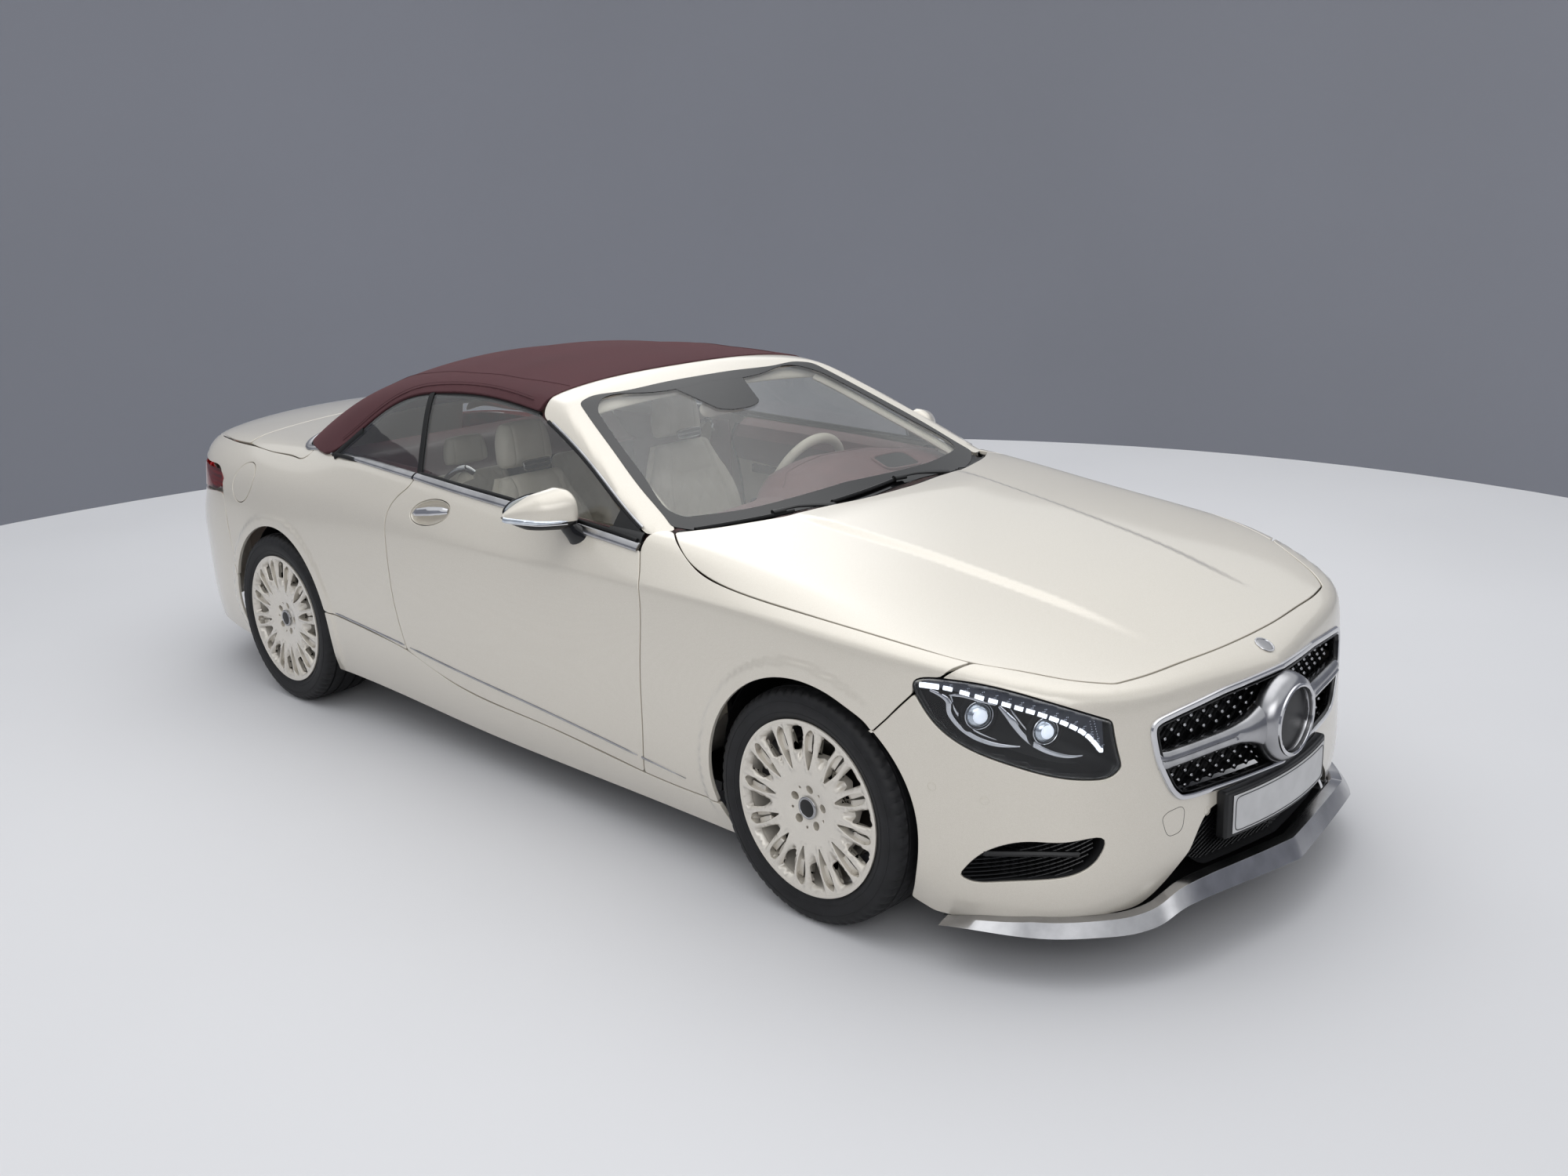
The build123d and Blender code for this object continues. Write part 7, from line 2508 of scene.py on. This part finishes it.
cushions = dict(
    frontCushion=dict(base=(385, 174, 398), along=cushionLean, out=-cushionOut, length=582, voxel=18,
                      cap=11, node="front_seats",
                      wide=spline((0, 240), (0.5, 252), (1, 244)), seams=cushionSeams,
                      front=lambda a, b: 36 + 30 * bolster(a, 0.84,
                                                           0.17) * (1 - 0.5 * b) - 26
                      * step((b - 0.8) / 0.25), back=lambda a, b: 42 + 0 * a),
    frontBack=dict(base=(385, 238, 434), along=backLean, out=backOut, length=590, voxel=18, cap=12,
                   node="front_seats",
                   wide=spline((0, 222), (0.3, 250), (0.55, 250), (0.74, 216), (0.88, 168), (1, 136)),
                   seams=backSeams,
                   front=lambda a, b: 30 + 34 * bolster(a, 0.8,
                                                        0.18) * (1 - 0.75 * step((b - 0.45) / 0.4)) + 10
                   * step((b - 0.72) / 0.08) * (1 - step((np.abs(a) - 0.4) / 0.2)),
                   back=lambda a, b: 30 + 12 * b),
    frontHead=dict(base=(385, 402, 1016), along=lean(0.1, 1)[0], out=lean(0.1, 1)[1], length=166, voxel=12,
                   cap=6, node="front_seats",
                   wide=spline((0, 116), (0.4, 118), (0.8, 104), (1, 86)), seams=headSeams,
                   front=lambda a, b: 40 + 4 * bolster(a, 0.7, 0.25), back=lambda a, b: 38 + 0 * a),
    rearCushion=dict(base=(300, 804, 392), along=cushionLean, out=-cushionOut, length=324, voxel=18, cap=10,
                     node="rear_seats",
                     wide=spline((0, 205), (1, 208)), seams=rearSeams,
                     front=lambda a, b: 44 + 14 * bolster(a, 0.84, 0.18) - 20 * step((b - 0.7) / 0.35),
                     back=lambda a, b: 38 + 0 * a),
    rearBack=dict(base=(300, 866, 352), along=rearLean, out=rearOut, length=584, voxel=18, cap=10,
                  node="rear_seats",
                  wide=spline((0, 205), (0.7, 208), (1, 176)), seams=rearSeams,
                  front=lambda a, b: 32 + 16 * bolster(a, 0.82, 0.18), back=lambda a, b: 34 + 0 * a),
    rearHead=dict(base=(300, 922, 950), along=lean(0.06, 1)[0], out=lean(0.06, 1)[1], length=112, voxel=12,
                  cap=5, node="rear_seats",
                  wide=spline((0, 98), (0.6, 96), (1, 78)), seams=headSeams, front=lambda a, b: 31 + 0 * a,
                  back=lambda a, b: 30 + 0 * a))


def makeSeats():
    for name, s in cushions.items():
        core = padShape(s["base"], s["along"], s["out"], s["length"], s["wide"], s["front"], s["back"])
        part = sewn(blownPad(name, core, s), s, s["seams"])
        for piece in addPair(name, part, onChassis, creamLeather, "cream_leather"):
            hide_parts(s["node"])
        stage(name)
    # vent in the neck of each front seat: bright frame, dark slots
    centre = np.array((385, 238, 434.0)) + 600 * backLean + 58 * backOut
    t = np.linspace(0, 2 * np.pi, 40, endpoint=False)
    ringX = np.sign(np.cos(t)) * np.abs(np.cos(t))**0.35 * 62
    ringV = np.sign(np.sin(t)) * np.abs(np.sin(t))**0.35 * 17
    loop = centre + ringX[:, None] * np.array((1, 0, 0)) + ringV[:, None] * backLean
    frameRing = sweep(loop, ringProfile(6, 8, 8), backOut, True)
    bar = pipe(centre + np.array([[-58.0], [0], [58]]) * np.array((1, 0, 0)), 2.2, 8)
    a, b = np.meshgrid(np.linspace(-60, 60, 9), np.linspace(-15, 15, 5), indexing="ij")
    plate = centre - 1.5 * backOut + a[..., None] * np.array((1.0, 0, 0)) + b[..., None] * backLean
    dark = gridShell(plate, plate - 6 * backOut)
    addPair("seatVent", merge([frameRing, bar]), onChassis, satinChrome, "satin_trim")
    addPair("seatVentSlot", dark, onChassis, blackMatt, "black_plastic")
    shell = padShape((385, 272, 440), backLean, backOut, 560,
                     spline((0, 214), (0.5, 236), (0.8, 196), (1, 140)), lambda a, b: 10 + 0 * a, lambda a,
                     b: 22 + 10 * b, count=26)
    addPair("seatShell", shell, onChassis, creamLeather, "cream_leather")
    base = padShape((385, 150, 300), np.array((0, -1.0, 0)), np.array((0, 0, 1.0)), 520,
                    spline((0, 205), (1, 205)), lambda a, b: 40 + 0 * a, lambda a, b: 74 + 0 * a, count=26)
    addPair("seatBase", base, onChassis, dashLeather, "dash_leather")
    guide = run([(640, 560, 985), (632, 500, 1022), (618, 452, 1036), (604, 420, 1018)], 25)
    addPair("beltGuide", sweep(guide, ringProfile(26, 9, 12), (1, 0, 0.3)), onChassis, chrome, "satin_trim")
    strap = run([(606, 424, 1020), (622, 470, 1000), (644, 520, 900), (652, 540, 700), (648, 500, 420)], 41)
    addPair("seatBelt", sweep(strap, [(-23, -0.7), (-23, 0.7), (23, 0.7), (23, -0.7)], (0.9, 0.4, 0)),
            onChassis, beltWeb, "cream_leather")


beltWeb = mottled("beltWeb", (172, 164, 150), (188, 180, 166), 60.0, (0.6, 0.7), 700.0, 0.5,
                  (1.0, 1.0, 6.0), sheen=0.2)


def dashRise(x):
    # extra height of the hood that runs from the middle to the driver's door
    return np.interp(x, (-150, -60, 40, 150, 260, 480, 600, 728), (0, 14, 40, 58, 68, 64, 44, 26))


def dashEdge(x):
    # how far back the top reaches
    return np.interp(x, (-728, -600, -400, -150, -60, 40, 250, 480, 728),
                     (-690, -672, -650, -612, -530, -478, -462, -486, -520))


def dashFront(x):
    return -936 + 62 * (x / 600)**2


def dashTop(x, y):
    # height of the dash: base, rounded down to its rear edge, with the hood rising behind the glass
    share = np.clip((y - dashFront(x)) / (dashEdge(x) - dashFront(x)), 0, 1)
    return 982 + 10 * np.sin(np.pi * share) + dashRise(x) * step(share * 1.35) - 10 * share**12


def makeDash():
    x = np.linspace(-728, 728, 121)
    frontY, edgeY = dashFront(x), dashEdge(x)
    frontY, edgeY = [np.convolve(np.pad(v, 4, "edge"), np.ones(9) / 9, "valid") for v in (frontY, edgeY)]
    rows = []
    for k in np.linspace(0, 1, 22):
        y = frontY + (edgeY - frontY) * k
        rows.append(np.stack([x, y, dashTop(x, y)], -1))
    lip = rows[-1][:, 2]
    for back, down in ((12, 14), (17, 34), (15, 66), (4, 110)):
        rows.append(np.stack([x, edgeY + back, lip - down], -1))
    for y, z in ((-512, 790), (-552, 728), (-606, 694), (-760, 690), (-860, 700)):
        face = np.minimum(y, edgeY + 4) if z > 780 else 0 * x + y
        rows.append(np.stack([x, np.maximum(face, frontY + 6), 0 * x + z], -1))
    rows.append(np.stack([x, frontY + 2, 0 * x + 780], -1))
    grid = np.stack(rows, 1)
    n, m = grid.shape[:2]
    faces = gridFaces(n, m, False, True)
    part = (grid.reshape(-1, 3), faces.tolist() + [list(range(m))[::-1], list(range((n - 1) * m, n * m))])
    piece = addPiece("dashBody", *part, "chassis", [dashLeather, creamLeather], "dash_leather",
                     ("dashboard",), sharp=60)
    level = np.array([np.mean([part[0][v][2] for v in f.vertices]) for f in piece.data.polygons])
    piece.data.polygons.foreach_set("material_index", (level < 850).astype(int))
    faceOut(piece)
    # sewn line across the top, the recess before the driver, the screen and the vents
    xs = np.linspace(-60, 640, 81)
    ys = dashEdge(xs) - 74 - 40 * np.exp(-((xs + 60) / 90)**2)
    seam = np.stack([xs, ys, dashTop(xs, ys) + 0.8], -1)
    addPiece("dashSeam", *pipe(seam, 1.5, 6), "chassis", stitchThread, "dash_leather")
    t = np.linspace(0, 2 * np.pi, 48, endpoint=False)
    px = 440 + np.sign(np.cos(t)) * np.abs(np.cos(t))**0.4 * 96
    py = -735 + np.sign(np.sin(t)) * np.abs(np.sin(t))**0.4 * 48
    loop = np.stack([px, py, dashTop(px, py) + 2], -1)
    addPiece("dashRecessRim", *sweep(loop, ringProfile(14, 9, 8), (0, 0, 1), True), "chassis", dashLeather,
             "dash_leather")
    a, b = np.meshgrid(np.linspace(350, 530, 19), np.linspace(-777, -693, 9), indexing="ij")
    top = np.stack([a, b, dashTop(a, b) + 1.2], -1)
    addPiece("dashRecess", *gridShell(top, top - (0, 0, 6)), "chassis", blackMatt, "black_plastic")
    a, b = np.meshgrid(np.linspace(-70, 590, 41), np.linspace(862, 944, 7), indexing="ij")
    face = np.stack([a, -478 - 0.12 * (b - 862) + 0 * a, b], -1)
    bevelled(addPiece("dashScreen", *gridShell(face, face - (0, 9, 0)), "chassis", screenGlass,
                      "black_plastic"), 3, 3)
    rings, cores = [], []
    vents = [(-640, -490, 868)] + [(x, -500, 812) for x in (-165, -55, 55, 165)] + [(660, -490, 868)]
    for c in np.array(vents, float):
        rings.append(ringRound(c, np.array((0, 1.0, 0.1)), 36, 7, 10, 32))
        cores.append(dome(c - (0, 3, 0), np.array((0, 1.0, 0.1)), 33, 9, 4, 24, 12))
    addPiece("dashVentRings", *merge(rings), "chassis", satinChrome, "satin_trim")
    addPiece("dashVentCores", *merge(cores), "chassis", blackSatin, "black_plastic")
    line = run([(-700, -497, 838), (-400, -491, 846), (-100, -488, 850)], 31)
    bevelled(addPiece("dashWoodBand", *sweep(line, [(-24, -4), (-24, 4), (24, 4), (24, -4)], (0, 1, 0.1)),
                      "chassis", woodTrim, "black_plastic"), 3, 2)


stitchThread = mottled("stitchThread", (78, 48, 50), (92, 58, 60), 900.0, (0.6, 0.7), 900.0, 0.5)
screenGlass = mottled("screenGlass", (9, 9, 11), (13, 13, 15), 4.0, (0.04, 0.08), coat=0.6)


def makeWheelAndConsole():
    # steering wheel: rim, three spokes, pad and column about the tilted axis
    c = np.array((370, -345, 925.0))
    tilt = math.radians(24)
    out = np.array((0, math.cos(tilt), math.sin(tilt)))
    up = np.array((0, -math.sin(tilt), math.cos(tilt)))
    side = np.array((1.0, 0, 0))
    t = np.linspace(0, 2 * np.pi, 96, endpoint=False)
    lower = 1 - 0.07 * np.exp(-((t - 1.5 * np.pi) / 0.5)**2)
    rim = c + 176 * lower[:, None] * (np.cos(t)[:, None] * side + np.sin(t)[:, None] * up)
    grip = 35 + 4 * np.cos(2 * t)[:, None, None]**2
    addPiece("steeringRim", *sweep(rim, ringProfile(1, 1, 18)[None] * grip, out, True),
             "steering_wheel_body", creamLeather, "cream_leather", ("steering_wheel",))
    spokes = []
    for angle, wide in ((0.08, 44), (math.pi - 0.08, 44), (-math.pi / 2 - 0.14, 26),
                        (-math.pi / 2 + 0.14, 26)):
        way = math.cos(angle) * side + math.sin(angle) * up
        path = run([c - 14 * out + 40 * way, c - 20 * out + 100 * way, c - 4 * out + 168 * way], 13)
        section = ringProfile(1, 1, 14)[None] * (np.linspace(wide + 16, wide - 8, 13)[:, None, None] * (1,
                0) + np.array((0, 15.0)))
        spokes.append(sweep(path, section, out))
    addPiece("steeringSpokes", *merge(spokes), "steering_wheel_body", satinChrome, "satin_trim")
    a, b = np.meshgrid(np.linspace(-1, 1, 33), np.linspace(-1, 1, 33), indexing="ij")
    px = a * np.sqrt(1 - 0.5 * b * b) * 78
    pv = b * np.sqrt(1 - 0.5 * a * a) * 62 - 4
    depth = 24 * np.clip((1 - np.abs(a)**4) * (1 - np.abs(b)**4), 0, 1)**0.5
    top = c + px[..., None] * side + pv[..., None] * up + (depth - 4)[..., None] * out
    low = c + px[..., None] * side + pv[..., None] * up - (20 + 0 * depth)[..., None] * out
    addPiece("steeringPad", *gridShell(top, low), "steering_wheel_body", dashLeather, "dash_leather")
    addPiece("steeringDisc", *dome(c + 19 * out, out, 22, 4, 4, 32, 3), "steering_wheel_body", satinChrome,
             "satin_trim")
    t = np.linspace(0, 1, 9)[:, None]
    column = c - out * (12 + 200 * t)
    wide = np.interp(t[:, 0], (0, 0.3, 1), (74, 66, 62))[:, None, None]
    addPiece("steeringColumn", *sweep(column, ringProfile(1, 1, 32)[None] * wide, side),
             "steering_wheel_body", blackSatin, "black_plastic")
    stalks = []
    for sign in (1, -1):
        path = run([c - 60 * out + sign * 30 * side, c - 58 * out + sign * 100 * side + 14 * up,
                    c - 52 * out + sign * 168 * side + 26 * up], 13)
        stalks.append(sweep(path, ringProfile(13, 10, 10), out))
    addPiece("steeringStalks", *merge(stalks), "chassis", blackSatin, "black_plastic")
    arm = padShape((0, 372, 562), np.array((0, -1.0, 0)), np.array((0, 0, 1.0)), 300,
                   spline((0, 92), (1, 90)), lambda a, b: 40 + 5 * (1 - a * a), lambda a, b: 16 + 0 * a,
                   count=26)
    addPiece("armRest", *arm, "chassis", dashLeather, "dash_leather")
    x, y = np.meshgrid(np.linspace(-84, 84, 13), np.linspace(-480, 60, 31), indexing="ij")
    z = np.interp(y, (-500, -300, 380), (602, 548, 548)) + 2
    lid = np.stack([x, y, z], -1)
    bevelled(addPiece("consoleTrim", *gridShell(lid, lid - (0, 0, 10)), "chassis", woodTrim,
                      "black_plastic"), 2, 2)
    knob = dome(np.array((0, -90, 552.0)), np.array((0, 0, 1.0)), 26, 24, 8, 32, 6)
    addPiece("consoleKnob", *knob, "chassis", satinChrome, "satin_trim")
    rings = [ringRound(np.array((x0, -250, 553.0)), np.array((0, 0, 1.0)), 36, 4, 4, 40) for x0 in (-42,
            42)]
    addPiece("cupRings", *merge(rings), "chassis", chrome, "satin_trim")


def makeTrims():
    # cream pillar and header covers inside the screen
    line = frontCurve([(722, 1040), (690, 1108), (636, 1203), (588, 1284), (566, 1310)], 41)
    way = outward(upperBody, line)
    pillar = sweep(line - 30 * way - (10, 0, 0), ringProfile(58, 22, 16), way)
    addPair("pillarCover", pillar, onChassis, creamLeather, "cream_leather")
    line = frontCurve([(-575, 1318), (-400, 1330), (-200, 1337), (0, 1339), (200, 1337), (400, 1330),
                       (575, 1318)], 61)
    way = outward(upperBody, line)
    addPiece("headerCover", *sweep(line - 28 * way + (0, 26, 0), ringProfile(66, 24, 16), way), "chassis",
             creamLeather, "cream_leather")
    # lining under the cloth
    y = np.linspace(-84, 1180, 33)
    widest = np.interp(y, railLine[:, 1], railLine[:, 0]) - 26
    share = np.linspace(-1, 1, 27)
    q = fromTop(upperBody, widest[:, None] * share[None], np.broadcast_to(y[:, None], (33, 27)), 900)
    w = outward(upperBody, q)
    addPiece("roofLining", *gridShell(q - 26 * w, q - 32 * w), "chassis", liningCloth, "roof_fabric")
    # inner mirror and its stem
    a = np.linspace(-1, 1, 41)
    c = np.array((0, -292, 1246.0))
    size = (1 - np.abs(a)**5)**0.5
    path = c + np.stack([118 * a, -8 * a * a, 4 * (1 - a * a)], -1)
    section = ringProfile(1, 1, 18)[None] * np.stack([62 * np.maximum(size, 0.08),
                                                      30 * np.maximum(size, 0.08)], -1)[:, None, :]
    addPiece("innerMirror", *sweep(path, section, (0, -0.97, 0.2)), "chassis", creamLeather,
             "cream_leather")
    stem = run([c + (0, -8, 10), (0, -268, 1290), (0, -232, 1312)], 13)
    addPiece("innerMirrorStem", *pipe(stem, 9, 12), "chassis", blackSatin, "black_plastic")
    # rear side panels, shelf and wall behind the seats, and floor carpet
    y, z = np.meshgrid(np.linspace(462, 1120, 41), np.linspace(1018, 640, 21), indexing="ij")
    p = fromSide(lowerBody, y, np.minimum(z, 990))
    x = p[..., 0] - 128 - 60 * step((y - 520) / 90)
    x = np.minimum(x, 742)
    shell = gridShell(np.stack([x + 4, y, z], -1), np.stack([x, y, z], -1))
    addPair("sidePanelTop", shell, onChassis, dashLeather, "dash_leather")
    y, z = np.meshgrid(np.linspace(462, 930, 31), np.linspace(640, 236, 21), indexing="ij")
    p = fromSide(lowerBody, y, np.maximum(z, 420))
    x = np.minimum(p[..., 0] - 128 - 60 * step((y - 520) / 90), 742) - np.clip(y - 700, 0, 400) * 0.25
    addPair("sidePanelLow", gridShell(np.stack([x + 4, y, z], -1), np.stack([x, y, z], -1)), onChassis,
            creamLeather, "cream_leather")
    x, t = np.meshgrid(np.linspace(-640, 640, 41), np.linspace(0, 1, 15), indexing="ij")
    shelf = np.stack([x, 972 + 380 * t, 905 + 105 * step(t / 0.5) + 0 * x], -1)
    addPiece("rearShelf", *gridShell(shelf, shelf - (0, 0, 5)), "chassis", dashLeather, "dash_leather")
    x, t = np.meshgrid(np.linspace(-640, 640, 41), np.linspace(0, 1, 9), indexing="ij")
    wall = np.stack([x, 996 + 4 * t, 420 + 485 * t + 0 * x], -1)
    addPiece("rearWall", *gridShell(wall, wall + (0, 5, 0)), "chassis", carpet, "cream_leather")
    x, y = np.meshgrid(np.linspace(-700, 700, 41), np.linspace(-985, 925, 31), indexing="ij")
    tunnel = 1 - step((np.abs(x) - 128) / 50)
    toe = 210 * step((-780 - y) / 230)
    z = 226 + 110 * tunnel + toe * (1 - 0.3 * tunnel)
    top = np.stack([x, y, z], -1)
    addPiece("floorCarpet", *gridShell(top, top - (0, 0, 4)), "chassis", carpet, "cream_leather")


liningCloth = mottled("liningCloth", (140, 132, 122), (158, 150, 140), 40.0, (0.85, 0.95), 900.0, 0.4,
                      sheen=0.2)


def makeBays():
    # underside of bonnet and lid, engine cover, intake pipes and a cover at the front of the bay
    x, y = np.meshgrid(np.linspace(-600, 600, 37), np.linspace(-2180, -1130, 33), indexing="ij")
    x = x * np.interp(y, (-2180, -1700, -1130), (0.82, 1.0, 1.0))
    p = fromTop(lowerBody, x, y)
    w = outward(lowerBody, p)
    pads = 5 * np.cos(x / 62)**2 * np.cos((y + 1650) / 90)**2
    addPiece("bonnetLiner", *gridShell(p - 16 * w, p - (26 + pads)[..., None] * w), "bonnet_body",
             insulation, "black_plastic")
    x, y = np.meshgrid(np.linspace(-560, 560, 45), np.linspace(1900, 2380, 25), indexing="ij")
    p = fromTop(lowerBody, x, y)
    w = outward(lowerBody, p)
    pads = 3 * np.cos(x / 70)**2
    addPiece("lidLiner", *gridShell(p - 18 * w, p - (26 + pads)[..., None] * w), "boot_lid_body", carpet,
             "cream_leather")
    x, y = np.meshgrid(np.linspace(-1, 1, 41), np.linspace(-1, 1, 41), indexing="ij")
    edge = np.clip((1 - np.abs(x)**8) * (1 - np.abs(y)**8), 0, 1)**0.4
    ribs = 5 * np.clip(np.cos(x * 22), 0, 1)**0.5 * (np.abs(x) < 0.5)
    top = np.stack([x * 245, -1560 + y * 265, 744 + (46 + 12 * (1 - x * x) + ribs) * edge], -1)
    low = np.stack([x * 245, -1560 + y * 265, 735 + 0 * x], -1)
    addPiece("engineCover", *gridShell(top, low), "chassis", blackSatin, "black_plastic")
    tubes = []
    for sign in (1, -1):
        tubes.append(pipe(run([(sign * 230, -1350, 700), (sign * 330, -1500, 720), (sign * 380, -1800, 690),
                               (sign * 330, -2050, 640)], 33), 32, 20))
    addPiece("intakePipes", *merge(tubes), "chassis", blackSatin, "black_plastic")
    x, y = np.meshgrid(np.linspace(-620, 620, 41), np.linspace(-2330, -2130, 11), indexing="ij")
    top = np.stack([x, y + 90 * (x / 620)**2, 700 + 20 * step((y + 2330) / 200)], -1)
    addPiece("frontCover", *gridShell(top, top - (0, 0, 6)), "chassis", blackSatin, "black_plastic")


insulation = mottled("bonnetInsulation", (30, 30, 31), (42, 42, 43), 60.0, (0.85, 0.95), 600.0, 0.6)

makeDash()
makeWheelAndConsole()
makeTrims()
makeBays()
stage("dash, trims and bays")
makeSeats()
stage("seats")


def writeSize():
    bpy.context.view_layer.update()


writeSize()
stage("done")
